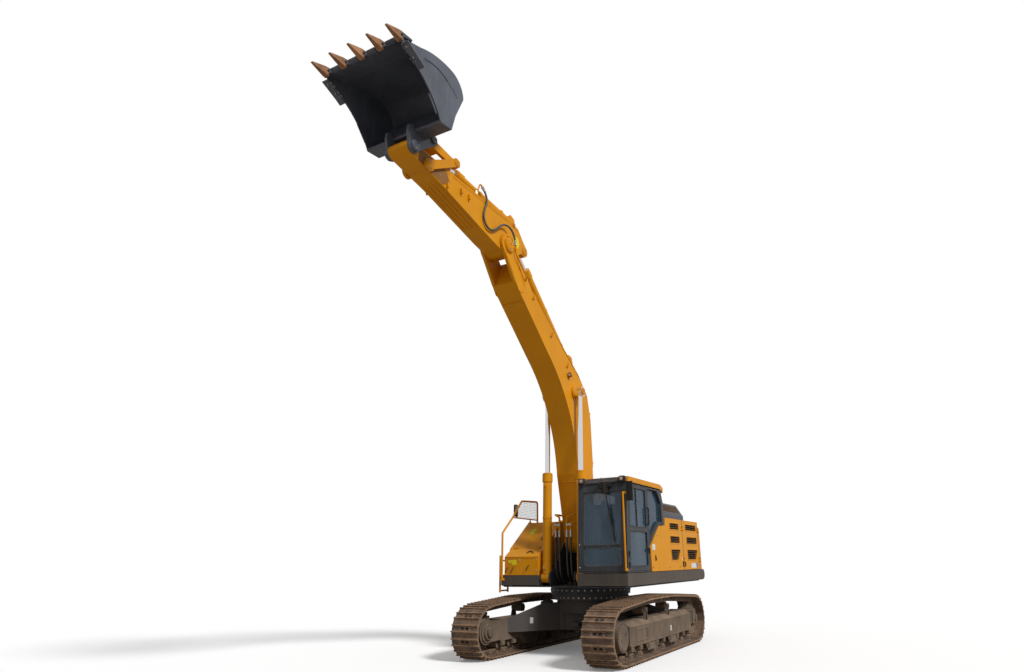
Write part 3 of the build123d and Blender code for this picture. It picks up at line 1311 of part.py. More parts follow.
TIP_BOSS = 125
PIVOT_BOSS = 200
LOBE = 125
EYE_HALF = 90  # half width of the arm and bucket cylinders' eyes
with BuildPart() as stick:
    outline = [
        (STICK_LENGTH - 20, TIP_BOSS - 1),
        (2330, 215),
        (1840, 305),
        (0, 640),
        (-330, 655),
        (-590, 470),
        (-700, 415),
        (-700, 205),
        (-560, 190),
        (-240, -110),
        (-80, -180),
        (500, -180),
        (2050, -TIP_BOSS + 15),
        (STICK_LENGTH - 20, -TIP_BOSS + 1),
    ]
    plate(stick_plane(STICK_WIDTH / 2), outline, STICK_WIDTH)
    disc(stick_plane(STICK_WIDTH / 2), (STICK_LENGTH, 0), TIP_BOSS, STICK_WIDTH)
    disc(stick_plane(STICK_WIDTH / 2), (0, 0), PIVOT_BOSS, STICK_WIDTH)
    disc(stick_plane(STICK_WIDTH / 2), ARM_ROD_PIN, LOBE, STICK_WIDTH)
    # the box section's inside
    hollow = [
        (2280, 208),
        (1840, 290),
        (260, 576),
        (260, -166),
        (500, -166),
        (2280, -95),
    ]
    plate(stick_plane(STICK_WIDTH / 2 - STICK_PLATE), hollow, STICK_WIDTH - 2 * STICK_PLATE, Mode.SUBTRACT)
    # ribs along the underside
    rib = [(900, -140), (2200, -80), (2200, -102 - STICK_RIB), (900, -162 - STICK_RIB)]
    for y in (-135, -45, 45, 135):
        plate(stick_plane(y + 8), rib, 16)
    # the slot between the rear lobe's two plates
    slot = [(-230, 700), (-230, 120), (-420, -200), (-1000, -200), (-1000, 700)]
    plate(stick_plane(EYE_HALF + SIDE_PLAY), slot, 2 * (EYE_HALF + SIDE_PLAY), Mode.SUBTRACT)
    # the bucket cylinder's bracket
    for y in (-EYE_HALF - SIDE_PLAY - 35, EYE_HALF + SIDE_PLAY):
        lug = [
            (BUCKET_CYLINDER_FOOT[0] - 200, 500),
            (BUCKET_CYLINDER_FOOT[0] - 90, BUCKET_CYLINDER_FOOT[1] + 70),
            (BUCKET_CYLINDER_FOOT[0] + 60, BUCKET_CYLINDER_FOOT[1] + 90),
            (BUCKET_CYLINDER_FOOT[0] + 110, BUCKET_CYLINDER_FOOT[1]),
            (BUCKET_CYLINDER_FOOT[0] + 300, 530),
        ]
        plate(stick_plane(y + 35), lug, 35)
    reach = EYE_HALF + SIDE_PLAY + 35
    disc(stick_plane(reach), BUCKET_CYLINDER_FOOT, BUCKET_PIN_RADIUS, 2 * reach)
    # bores, and the rocker's pin that stands out on both sides
    disc(stick_plane(STICK_WIDTH), (0, 0), ARM_PIN_RADIUS + RUNNING, 2 * STICK_WIDTH, Mode.SUBTRACT)
    disc(
        stick_plane(STICK_WIDTH),
        (STICK_LENGTH, 0),
        BUCKET_PIN_RADIUS + RUNNING,
        2 * STICK_WIDTH,
        Mode.SUBTRACT,
    )
    disc(stick_plane(STICK_WIDTH / 2 + 75), ROCKER_PIN, BUCKET_PIN_RADIUS, STICK_WIDTH + 150)
stick.part.label = "stick"
export_step(stick.part, "parts/stick.step")

# ---------------------------------------------------------------- bucket

EAR_IN = STICK_WIDTH / 2 + SIDE_PLAY
EAR_RADIUS = 120  # of the bucket's ears about its pin, so that the rocker passes over them
LIP = (1470, 235)
LIP_BACK = (1243, 611)
CUTTER = (1392, 140)
HEEL = (-32, 389)
TOP_EDGE = (165, 190)


def bucket_outline():
    """The bucket's side outline, from its top edge round the mouth, the lip and the back."""
    with BuildLine() as outline:
        ThreePointArc(TOP_EDGE, (760, 300), CUTTER)
        Line(CUTTER, LIP)
        Line(LIP, LIP_BACK)
        ThreePointArc(LIP_BACK, (1028, 960), (715, 1242))
        ThreePointArc((715, 1242), (440, 1285), (251, 1173))
        Line((251, 1173), (110, 700))
        Line((110, 700), HEEL)
        Line(HEEL, TOP_EDGE)
    return outline


half = BUCKET_WIDTH / 2
TOOTH_HALF = 50
CUTTER_FLARE = 110  # how far a side cutter stands out from the bucket's side
SHROUD_HALF = 85
lip_angle = degrees(atan2(LIP[1] - LIP_BACK[1], LIP[0] - LIP_BACK[0]))
lip_place = turned(BUCKET_PIVOT, TIP_ANGLE, LIP)
tooth_span = BUCKET_WIDTH - 40
tooth_places = [(k / (TEETH - 1) - 0.5) * tooth_span for k in range(TEETH)]
# the mouth's front end, along the inner face of the lip plate
mouth_front = [turned(LIP, lip_angle, (x, -BUCKET_PLATE)) for x in (-60, 30)]
# a side cutter from the side, along the mouth's edge
SIDE_CUTTER = [(1405, 150), (1398, 176), (1090, 270), (980, 292), (972, 268), (1082, 246)]
# the outer arc of a side's wear strip, its end, and its inner arc back
STRIP = [(1085, 590), (920, 810), (640, 960), (632, 936), (900, 790), (1062, 575)]
# a shroud from the side, in the same frame as a tooth
SHROUD = [
    (-120, -1),
    (-120, 22),
    (10, 42),
    (58, 26),
    (58, -8),
    (14, -34),
    (-60, -34),
    (-60, -BUCKET_PLATE + 1),
    (0, -BUCKET_PLATE + 1),
    (0, -1),
]
with BuildPart() as bucket:
    with BuildSketch(bucket_plane(half)) as skin:
        add(bucket_outline().line)
        make_face()
    extrude(skin.sketch, amount=BUCKET_WIDTH)
    with BuildSketch(bucket_plane(half - BUCKET_PLATE)) as hollow:
        add(bucket_outline().line)
        make_face()
        offset(amount=-BUCKET_PLATE, mode=Mode.REPLACE)
        with BuildLine():
            Polyline((200, 100), (200, 260), (760, 360), (1330, 300), *mouth_front, (1440, 60), close=True)
        make_face()
    extrude(hollow.sketch, amount=BUCKET_WIDTH - 2 * BUCKET_PLATE, mode=Mode.SUBTRACT)
    # ears for the stick's and the link's pins
    for y in (-EAR_IN - BUCKET_EAR, EAR_IN):
        with BuildSketch(bucket_plane(y + BUCKET_EAR)) as ear:
            with BuildLine():
                Polyline(
                    (-100, -60),
                    (LINK_PIN[0] - 95, LINK_PIN[1]),
                    LINK_PIN,
                    (90, 640),
                    (290, 250),
                    (318, 150),
                    (250, 50),
                    (100, -66),
                    close=True,
                )
            make_face()
            Circle(EAR_RADIUS)
            with Locations(LINK_PIN):
                Circle(105)
        extrude(ear.sketch, amount=BUCKET_EAR)
    # trim the ears where they would stand into the hollow
    with BuildSketch(bucket_plane(half - BUCKET_PLATE)) as hollow:
        add(bucket_outline().line)
        make_face()
        offset(amount=-BUCKET_PLATE, mode=Mode.REPLACE)
    extrude(hollow.sketch, amount=BUCKET_WIDTH - 2 * BUCKET_PLATE, mode=Mode.SUBTRACT)
    pin_half = EAR_IN + BUCKET_EAR + 45
    disc(bucket_plane(pin_half), (0, 0), 100, 45)
    disc(bucket_plane(-pin_half + 45), (0, 0), 100, 45)
    disc(bucket_plane(pin_half), (0, 0), BUCKET_PIN_RADIUS, 2 * pin_half)
    disc(bucket_plane(EAR_IN + BUCKET_EAR + 20), LINK_PIN, BUCKET_PIN_RADIUS, 2 * (EAR_IN + BUCKET_EAR + 20))
    # side cutters, flared outwards along the mouth's front corners
    for y in (-half - CUTTER_FLARE, half - 1):
        plate(bucket_plane(y + CUTTER_FLARE + 1), SIDE_CUTTER, CUTTER_FLARE + 1)
    # a curved wear strip on each side
    for y in (-half - 12, half - 1):
        with BuildSketch(bucket_plane(y + 13)) as strip:
            with BuildLine():
                ThreePointArc(STRIP[0], STRIP[1], STRIP[2])
                Line(STRIP[2], STRIP[3])
                ThreePointArc(STRIP[3], STRIP[4], STRIP[5])
                Line(STRIP[5], STRIP[0])
            make_face()
        extrude(strip.sketch, amount=13)
    # shrouds on the lip between the teeth
    for first, second in zip(tooth_places, tooth_places[1:]):
        y = (first + second) / 2
        plate(member(lip_place, TIP_ANGLE + lip_angle, BOOM_Y + y + SHROUD_HALF), SHROUD, 2 * SHROUD_HALF)
bucket.part.label = "bucket"
export_step(bucket.part, "parts/bucket.step")

# a tooth and its adapter from the side: forwards from the lip's edge, and outwards from its outer face
TOOTH = [
    (-200, SEAT),
    (-200, 26),
    (-40, 60),
    (41, 79),
    (91, 84),
    (201, 88),
    (325, 91),
    (326, 81),
    (219, 22),
    (121, -28),
    (75, -52),
    (25, -68),
    (1, SEAT),
]
TOOTH_ROOT = 70  # a tooth narrows from here to its point
TOOTH_REACH = 326
POINT_HALF = 20

with BuildPart() as bucket_teeth:
    for y in tooth_places:
        plane = member(lip_place, TIP_ANGLE + lip_angle, BOOM_Y + y)
        plate(plane.offset(-TOOTH_HALF), TOOTH, 2 * TOOTH_HALF)
        over = Plane(origin=plane.origin, x_dir=plane.x_dir, z_dir=plane.y_dir)
        for sign in (1, -1):
            wedge = [
                (TOOTH_ROOT, sign * TOOTH_HALF),
                (TOOTH_REACH + 1, sign * POINT_HALF),
                (TOOTH_REACH + 1, sign * (TOOTH_HALF + 5)),
                (TOOTH_ROOT, sign * (TOOTH_HALF + 5)),
            ]
            plate(over.offset(-100), wedge, 250, Mode.SUBTRACT)
bucket_teeth.part.label = "bucket_teeth"
export_step(bucket_teeth.part, "parts/bucket_teeth.step")

# ---------------------------------------------------------------- linkage

ROCKER_PLATE = 50
rocker_foot = turned(STICK_PIVOT, STICK_ANGLE, ROCKER_PIN)
rocker_top = turned(STICK_PIVOT, STICK_ANGLE, ROCKER_TOP)
rocker_angle = degrees(atan2(rocker_top[1] - rocker_foot[1], rocker_top[0] - rocker_foot[0]))
rocker_length = hypot(rocker_top[0] - rocker_foot[0], rocker_top[1] - rocker_foot[1])
link_foot = turned(BUCKET_PIVOT, TIP_ANGLE, LINK_PIN)
link_angle_rest = degrees(atan2(rocker_top[1] - link_foot[1], rocker_top[0] - link_foot[0]))
link_length = hypot(rocker_top[0] - link_foot[0], rocker_top[1] - link_foot[1])

with BuildPart() as rocker:
    for sign in (1, -1):
        start = EAR_IN + ROCKER_PLATE if sign > 0 else -EAR_IN
        plane = member(rocker_foot, rocker_angle, BOOM_Y + start)
        with BuildSketch(plane) as arm:
            with BuildLine():
                Polyline((0, -80), (rocker_length, -68), (rocker_length, 68), (0, 80), close=True)
            make_face()
            Circle(110)
            with Locations((rocker_length, 0)):
                Circle(90)
            Circle(BUCKET_PIN_RADIUS + RUNNING, mode=Mode.SUBTRACT)
        extrude(arm.sketch, amount=ROCKER_PLATE)
rocker.part.label = "rocker"
export_step(rocker.part, "parts/rocker.step")

LINK_HALF = STICK_WIDTH / 2 - 2
LINK_ARM = 60
with BuildPart() as link:
    plane = member(link_foot, link_angle_rest, BOOM_Y + LINK_HALF)
    with BuildSketch(plane) as body:
        with BuildLine():
            Polyline((0, -85), (link_length, -75), (link_length, 75), (0, 85), close=True)
        make_face()
        Circle(90)
        with Locations((link_length, 0)):
            Circle(95)
        Circle(BUCKET_PIN_RADIUS + RUNNING, mode=Mode.SUBTRACT)
    extrude(body.sketch, amount=2 * LINK_HALF)
    fork = [(230, -200), (link_length + 200, -200), (link_length + 200, 200), (230, 200)]
    gap = LINK_HALF - LINK_ARM
    plate(member(link_foot, link_angle_rest, BOOM_Y + gap), fork, 2 * gap, Mode.SUBTRACT)
link.part.label = "link"
export_step(link.part, "parts/link.step")

# ---------------------------------------------------------------- hydraulic cylinders


def barrel(foot, head, y, length, radius, rod_radius, eye_half, pin_radius):
    """A cylinder's barrel: an eye with a bore at its foot, a tube and a gland that the rod runs in."""
    angle = degrees(atan2(head[1] - foot[1], head[0] - foot[0]))
    axis = (cos(radians(angle)), 0, sin(radians(angle)))
    origin = (SLEW_X + foot[0], y, foot[1])
    with BuildPart() as body:
        start = Plane(origin=tuple(o + a * 70 for o, a in zip(origin, axis)), z_dir=axis)
        with BuildSketch(start) as tube:
            Circle(radius)
        extrude(tube.sketch, amount=length - 70)
        gland = Plane(origin=tuple(o + a * (length - 190) for o, a in zip(origin, axis)), z_dir=axis)
        with BuildSketch(gland) as collar:
            Circle(radius + 16)
        extrude(collar.sketch, amount=150)
        disc(member(foot, angle, y + eye_half), (0, 0), radius + 10, 2 * eye_half)
        start = member(foot, angle, y + eye_half + 1)
        disc(start, (0, 0), pin_radius + RUNNING, 2 * eye_half + 2, Mode.SUBTRACT)
        bottom = Plane(origin=tuple(o + a * 180 for o, a in zip(origin, axis)), z_dir=axis)
        with BuildSketch(bottom) as bore:
            Circle(rod_radius + RUNNING)
        extrude(bore.sketch, amount=length, mode=Mode.SUBTRACT)
    return body


def rod(foot, head, y, length, rod_radius, eye_half, eye_radius):
    """A cylinder's rod, with an eye at its head that holds its own length of pin."""
    angle = degrees(atan2(head[1] - foot[1], head[0] - foot[0]))
    axis = (-cos(radians(angle)), 0, -sin(radians(angle)))
    origin = (SLEW_X + head[0], y, head[1])
    with BuildPart() as body:
        with BuildSketch(Plane(origin=origin, z_dir=axis)) as bar:
            Circle(rod_radius)
        extrude(bar.sketch, amount=length)
        disc(member(head, angle, y + eye_half), (0, 0), eye_radius, 2 * eye_half)
    return body


boom_rod_pin = turned(BOOM_FOOT, BOOM_ANGLE, BOOM_ROD_PIN)
arm_foot = turned(BOOM_FOOT, BOOM_ANGLE, ARM_CYLINDER_FOOT)
arm_head = turned(STICK_PIVOT, STICK_ANGLE, ARM_ROD_PIN)
bucket_foot = turned(STICK_PIVOT, STICK_ANGLE, BUCKET_CYLINDER_FOOT)

ARM_BARREL = 105
BUCKET_BARREL = 92
BOOM_ENDS = (BOOM_CYLINDER_FOOT, boom_rod_pin)
BOOM_SIZES = (2130, BOOM_BARREL, 270, 56, CYLINDER_EYE, ARM_PIN_RADIUS)
# name, (foot, head), y, (barrel length and radius, length of rod inside it at rest, rod radius,
# half width of the eyes, radius of the foot's pin)
ARM_SIZES = (2350, ARM_BARREL, 1244.5, 60, EYE_HALF, ARM_PIN_RADIUS)
BUCKET_SIZES = (1780, BUCKET_BARREL, 1484.4, 52, EYE_HALF, BUCKET_PIN_RADIUS)
CYLINDERS = [
    ("boom_{}_left", BOOM_ENDS, CYLINDER_LANE, BOOM_SIZES),
    ("boom_{}_right", BOOM_ENDS, -CYLINDER_LANE, BOOM_SIZES),
    ("arm_{}", (arm_foot, arm_head), 0, ARM_SIZES),
    ("bucket_{}", (bucket_foot, rocker_top), 0, BUCKET_SIZES),
]
for name, (foot, head), y, (length, radius, inside, rod_radius, eye_half, pin_radius) in CYLINDERS:
    rod_length = hypot(head[0] - foot[0], head[1] - foot[1]) - length + inside
    cylinder = barrel(foot, head, BOOM_Y + y, length, radius, rod_radius, eye_half, pin_radius)
    label = name.format("barrel")
    cylinder.part.label = label
    export_step(cylinder.part, f"parts/{label}.step")
    piston_rod = rod(foot, head, BOOM_Y + y, rod_length, rod_radius, eye_half, radius + 15)
    label = name.format("rod")
    piston_rod.part.label = label
    export_step(piston_rod.part, f"parts/{label}.step")

# ---------------------------------------------------------------- pipes and hoses


def on_boom(x, y, z):
    """A point in the boom's own frame: along it, to the left of its middle plane and above it."""
    place = turned(BOOM_FOOT, BOOM_ANGLE, (x, z))
    return at(place[0], BOOM_Y + y, place[1])


def on_stick(x, y, z):
    """A point in the stick's own frame."""
    place = turned(STICK_PIVOT, STICK_ANGLE, (x, z))
    return at(place[0], BOOM_Y + y, place[1])


def hose(points, radius):
    """A free hose: straight runs joined by arcs that take up 0.45 of the shorter run beside them."""
    with BuildPart() as tube:
        with BuildLine() as route:
            FilletPolyline(*points, radius=bend_radii(points, 0.45))
        with BuildSketch(Plane(origin=route.line @ 0, z_dir=route.line % 0)) as section:
            Circle(radius)
        sweep(section.sketch, path=route.line)
    return tube


PIPE = 20
HOSE = 20
HOSE_GAP = 1.5  # a hose's end to the fitting or plate that it meets
# the four pipes in front of the boom's foot: y where each leaves the boom, its height there, y of its end
FOOT_PIPES = [(-245, 2700, -100), (-245, 2540, -190), (245, 2700, 75), (245, 2540, 165)]
FITTING = (1040, 2340)
TOP_PIPE = [(1250, 1008), (2200, 1515), (2720, 1668), (3280, 1520), (4540, 908), (5420, 500)]
TOP_PIPE_Y = (205, 240)
# clamps that hold the pipes on the boom's top: place along the boom, the top's height and slope there
CLAMPS = [(1330, 1004.5, 0.5316), (2320, 1525.6, 0.407), (3420, 1389.4, -0.4758), (4400, 923.1, -0.4758)]
CLAMPS += [(BOOM_LENGTH - 1180, 505.2, -0.4624)]

with BuildPart() as boom_pipes:
    for start_y, start_z, end_y in FOOT_PIPES:
        rise = 60 if start_z > 2600 else 40
        pipe(
            [
                at(640, BOOM_Y + start_y, start_z),
                at(960, BOOM_Y + start_y, start_z),
                at(FITTING[0], BOOM_Y + end_y, start_z - rise),
                at(FITTING[0], BOOM_Y + end_y, FITTING[1]),
            ],
            PIPE,
            45,
        )
    for sign in (1, -1):
        for y in TOP_PIPE_Y:
            pipe([on_boom(x, sign * y, z) for x, z in TOP_PIPE], 15, 150)
        for x, z, slope in CLAMPS:
            low, high = z - 20 * slope, z + 20 * slope
            outline = [(x - 20, low), (x - 20, low + 62), (x + 20, high + 62), (x + 20, high)]
            y = max(sign * (TOP_PIPE_Y[0] - 18), sign * (TOP_PIPE_Y[1] + 18))
            plate(boom_plane(y), outline, TOP_PIPE_Y[1] - TOP_PIPE_Y[0] + 36)
        # where the stick's hose ends, a pipe runs back along the fork
        pipe(
            [
                on_boom(BOOM_LENGTH - 41, sign * 325, 165),
                on_boom(BOOM_LENGTH - 211, sign * 324, 96),
                on_boom(BOOM_LENGTH - 700, sign * 325, 250),
                on_boom(BOOM_LENGTH - 780, sign * (BOOM_WIDTH / 2), 262),
            ],
            15,
            30,
        )
    # work lamp on the boom's left side
    lamp = turned(BOOM_FOOT, BOOM_ANGLE, (3440, 1010))
    lamp_y = BOOM_Y + BOOM_WIDTH / 2
    block((lamp[0] - 30, lamp[0] + 10), (lamp_y, lamp_y + 20), (lamp[1] - 60, lamp[1]))
    disc(front(lamp[0] - 30), (lamp_y + 50, lamp[1]), 45, 80)
    block((lamp[0] - 30, lamp[0] + 10), (lamp_y, lamp_y + 30), (lamp[1] - 30, lamp[1] - 10))
boom_pipes.part.label = "boom_pipes"
export_step(boom_pipes.part, "parts/boom_pipes.step")

with BuildPart() as stick_pipes:
    for sign in (1, -1):
        pipe(
            [
                on_stick(960, sign * 180, 720),
                on_stick(1020, sign * 160.6, 776.5),
                on_stick(1080, sign * 150, 444),
            ],
            15,
            30,
        )
stick_pipes.part.label = "stick_pipes"
export_step(stick_pipes.part, "parts/stick_pipes.step")

for number, (start_y, start_z, end_y) in enumerate(FOOT_PIPES, 1):
    y = BOOM_Y + end_y
    route = [
        at(FITTING[0], y, FITTING[1] - HOSE_GAP),
        at(FITTING[0] + 30, y, FITTING[1] - 540),
        at(FITTING[0] - 60, y, BULKHEAD_TOP - 10),
        at(BAY_FRONT + HOSE_GAP, y, BULKHEAD_TOP - 24),
    ]
    boom_hose = hose(route, HOSE)
    boom_hose.part.label = f"boom_hose_{number}"
    export_step(boom_hose.part, f"parts/boom_hose_{number}.step")

for name, sign in (("left", 1), ("right", -1)):
    route = [
        on_stick(960 - 0.3, sign * 180, 720 + 0.2),
        on_stick(790, sign * 235, 560),
        on_stick(890, sign * 236, 130),
        on_stick(760, sign * 237, -70),
        on_stick(520, sign * 240, -40),
        on_stick(240, sign * 265, 390),
        on_stick(-60, sign * 322, 330),
        on_stick(-150.2, sign * 325, 81),
    ]
    stick_hose = hose(route, HOSE)
    stick_hose.part.label = f"stick_hose_{name}"
    export_step(stick_hose.part, f"parts/stick_hose_{name}.step")

print("slewing axis at X", round(SLEW_X, 1), "tooth tips at", [round(v) for v in TOOTH_TIP])
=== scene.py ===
"""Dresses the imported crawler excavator: a finish for every node, the bolts, grilles, seals, lamps and
fittings that its solids leave out, its six free hoses, and a plain studio with a camera.

All lengths are metres. X points forwards, Y to the cab's side and Z up, and the ground is at Z = 0.
"""

import json
import logging
import math
from dataclasses import dataclass, replace
from enum import Enum
from typing import ClassVar, Optional, Sequence, Union

import bmesh
import bpy
import numpy as np
from mathutils import Matrix


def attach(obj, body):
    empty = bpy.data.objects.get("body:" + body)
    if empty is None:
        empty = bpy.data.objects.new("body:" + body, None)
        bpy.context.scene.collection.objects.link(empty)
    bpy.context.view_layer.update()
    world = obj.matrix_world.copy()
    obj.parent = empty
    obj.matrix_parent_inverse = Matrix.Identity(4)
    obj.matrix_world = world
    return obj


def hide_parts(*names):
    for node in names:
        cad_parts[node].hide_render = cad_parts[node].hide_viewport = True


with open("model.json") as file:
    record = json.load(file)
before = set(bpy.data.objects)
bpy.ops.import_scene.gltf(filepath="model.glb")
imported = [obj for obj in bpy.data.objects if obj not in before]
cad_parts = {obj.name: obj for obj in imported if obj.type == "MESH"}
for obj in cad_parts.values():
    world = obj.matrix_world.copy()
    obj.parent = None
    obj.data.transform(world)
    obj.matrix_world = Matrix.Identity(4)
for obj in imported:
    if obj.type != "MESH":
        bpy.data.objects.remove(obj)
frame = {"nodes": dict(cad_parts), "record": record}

log = logging.getLogger("excavator")
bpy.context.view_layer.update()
Number = Union[float, "Value"]
Colour = tuple[float, float, float]


# ------------------------------------------------------------------------------------ shader maths


class Value:
    """A number that varies over a surface: one socket, with the arithmetic that the finishes use."""

    def __init__(self, tree: "Tree", socket: bpy.types.NodeSocket) -> None:
        """Wraps a socket of a tree."""
        self.tree = tree
        self.socket = socket

    def math(self, operation: str, *others: Number, clamp: bool = False) -> "Value":
        """Adds a Math node.

        Args:
            operation: the node's operation.
            others: its further inputs.
            clamp: whether the result stays between 0 and 1.
        Returns:
            The node's result.
        """
        inputs = dict(enumerate((self, *others)))
        return self.tree.add("ShaderNodeMath", {"operation": operation, "use_clamp": clamp}, inputs)

    def __add__(self, other: Number) -> "Value":
        """This plus other."""
        return self.math("ADD", other)

    def __sub__(self, other: Number) -> "Value":
        """This less other."""
        return self.math("SUBTRACT", other)

    def __rsub__(self, other: float) -> "Value":
        """A number less this."""
        return (self * -1.0) + other

    def __mul__(self, other: Number) -> "Value":
        """This times other."""
        return self.math("MULTIPLY", other)

    def __pow__(self, other: Number) -> "Value":
        """This to a power."""
        return self.math("POWER", other)

    __radd__ = __add__
    __rmul__ = __mul__

    def most(self, other: Number) -> "Value":
        """The larger of this and other."""
        return self.math("MAXIMUM", other)

    def step(self, low: float, high: float) -> "Value":
        """A smooth rise from 0 at low to 1 at high; it falls where low is above high."""
        settings = {"interpolation_type": "SMOOTHSTEP", "clamp": True}
        if low < high:
            return self.tree.add("ShaderNodeMapRange", settings, {0: self, 1: low, 2: high, 3: 0.0, 4: 1.0})
        return self.tree.add("ShaderNodeMapRange", settings, {0: self, 1: high, 2: low, 3: 1.0, 4: 0.0})


Link = Union[Value, float, Sequence[float]]


class Tree:
    """A material's nodes, and the patterns that several finishes share."""

    def __init__(self, name: str) -> None:
        """Makes an empty material of that name."""
        self.material = bpy.data.materials.new(name)
        self.material.use_nodes = True
        self.nodes = self.material.node_tree.nodes
        self.nodes.clear()
        self.coordinates = self.add("ShaderNodeTexCoord", output="Object")

    def add(
        self,
        kind: str,
        settings: Optional[dict] = None,
        inputs: Optional[dict] = None,
        output: Union[int, str, None] = 0,
    ) -> Optional[Value]:
        """Adds any node.

        Args:
            kind: the node's type.
            settings: its properties, set before its sockets; "stops" fills a colour ramp.
            inputs: sockets by name or number, each with a number, a vector or a link.
            output: the socket that comes back, or None for a node that has none.
        Returns:
            The chosen output.
        """
        node = self.nodes.new(kind)
        for key, setting in (settings or {}).items():
            if key == "stops":
                for stop, (place, grey) in zip(self._stops(node, len(setting)), setting):
                    stop.position = place
                    stop.color = (grey, grey, grey, 1.0) if isinstance(grey, float) else (*grey, 1.0)
            else:
                setattr(node, key, setting)
        for key, value in (inputs or {}).items():
            if isinstance(value, Value):
                self.material.node_tree.links.new(value.socket, node.inputs[key])
            else:
                node.inputs[key].default_value = value
        return None if output is None else Value(self, node.outputs[output])

    @staticmethod
    def _stops(node: bpy.types.Node, count: int) -> list:
        """The stops of a colour ramp, as many as asked."""
        while len(node.color_ramp.elements) < count:
            node.color_ramp.elements.new(0.5)
        return list(node.color_ramp.elements)

    def mapped(self, scale: Sequence[float]) -> Value:
        """Object coordinates, scaled for a pattern."""
        inputs = {"Vector": self.coordinates, "Scale": scale}
        return self.add("ShaderNodeMapping", {}, inputs, "Vector")

    def noise(
        self, scale: float, detail: float, stretch: Sequence[float] = (1.0, 1.0, 1.0), rough: float = 0.55
    ) -> Value:
        """Cloudy noise from 0 to 1, so many to the metre, stretched along an axis where its share is low."""
        inputs = {"Vector": self.mapped(stretch), "Scale": scale, "Detail": detail, "Roughness": rough}
        return self.add("ShaderNodeTexNoise", {"noise_dimensions": "3D"}, inputs)

    def cells(self, scale: float) -> Value:
        """The distance to the nearest of many scattered points, so many to the metre."""
        inputs = {"Vector": self.coordinates, "Scale": scale}
        return self.add("ShaderNodeTexVoronoi", {"feature": "F1"}, inputs, "Distance")

    def wave(self, scale: float, across: str) -> Value:
        """Waves from 0 to 1 across an axis."""
        inputs = {"Vector": self.coordinates, "Scale": scale}
        return self.add("ShaderNodeTexWave", {"bands_direction": across}, inputs)

    def axis(self, name: str, source: str = "Object") -> Value:
        """One component, X, Y or Z, of the object's coordinates or of its normals."""
        vector = self.add("ShaderNodeTexCoord", output=source)
        return self.add("ShaderNodeSeparateXYZ", {}, {0: vector}, name)

    def edges(self, width: float) -> Value:
        """Near 1 along convex and concave edges: how far a rounded normal leans from the flat one."""
        rounded = self.add("ShaderNodeBevel", {"samples": 4}, {"Radius": width}, "Normal")
        flat = self.add("ShaderNodeNewGeometry", output="Normal")
        along = self.add("ShaderNodeVectorMath", {"operation": "DOT_PRODUCT"}, {0: rounded, 1: flat}, "Value")
        return (1.0 - along).step(0.0, 0.12)

    def blend(self, factor: Link, first: Union[Value, Colour], second: Union[Value, Colour]) -> Value:
        """A colour between first, at factor 0, and second, at factor 1."""
        sides = {0: factor}
        for key, colour in ((6, first), (7, second)):
            sides[key] = colour if isinstance(colour, Value) else (*colour, 1.0)
        return self.add("ShaderNodeMix", {"data_type": "RGBA"}, sides, 2)

    def bump(self, height: Value, distance: float) -> Value:
        """A normal that follows a height of that many metres."""
        inputs = {"Height": height, "Distance": distance, "Strength": 1.0}
        return self.add("ShaderNodeBump", {}, inputs, "Normal")

    def surface(self, inputs: dict) -> bpy.types.Material:
        """Closes the tree with one principled shader and returns the material."""
        shader = self.add("ShaderNodeBsdfPrincipled", {}, inputs, "BSDF")
        self.add("ShaderNodeOutputMaterial", {}, {"Surface": shader}, None)
        return self.material


# ---------------------------------------------------------------------------------------- finishes


class Finish:
    """How one kind of surface looks. Its material is made once, when it is first asked for."""

    made: ClassVar[dict[str, bpy.types.Material]] = {}
    name: str

    def material(self) -> bpy.types.Material:
        """The finish's material."""
        if self.name not in Finish.made:
            Finish.made[self.name] = self.draw(Tree(self.name))
        return Finish.made[self.name]

    def draw(self, tree: Tree) -> bpy.types.Material:
        """Builds the finish in an empty tree."""
        raise NotImplementedError


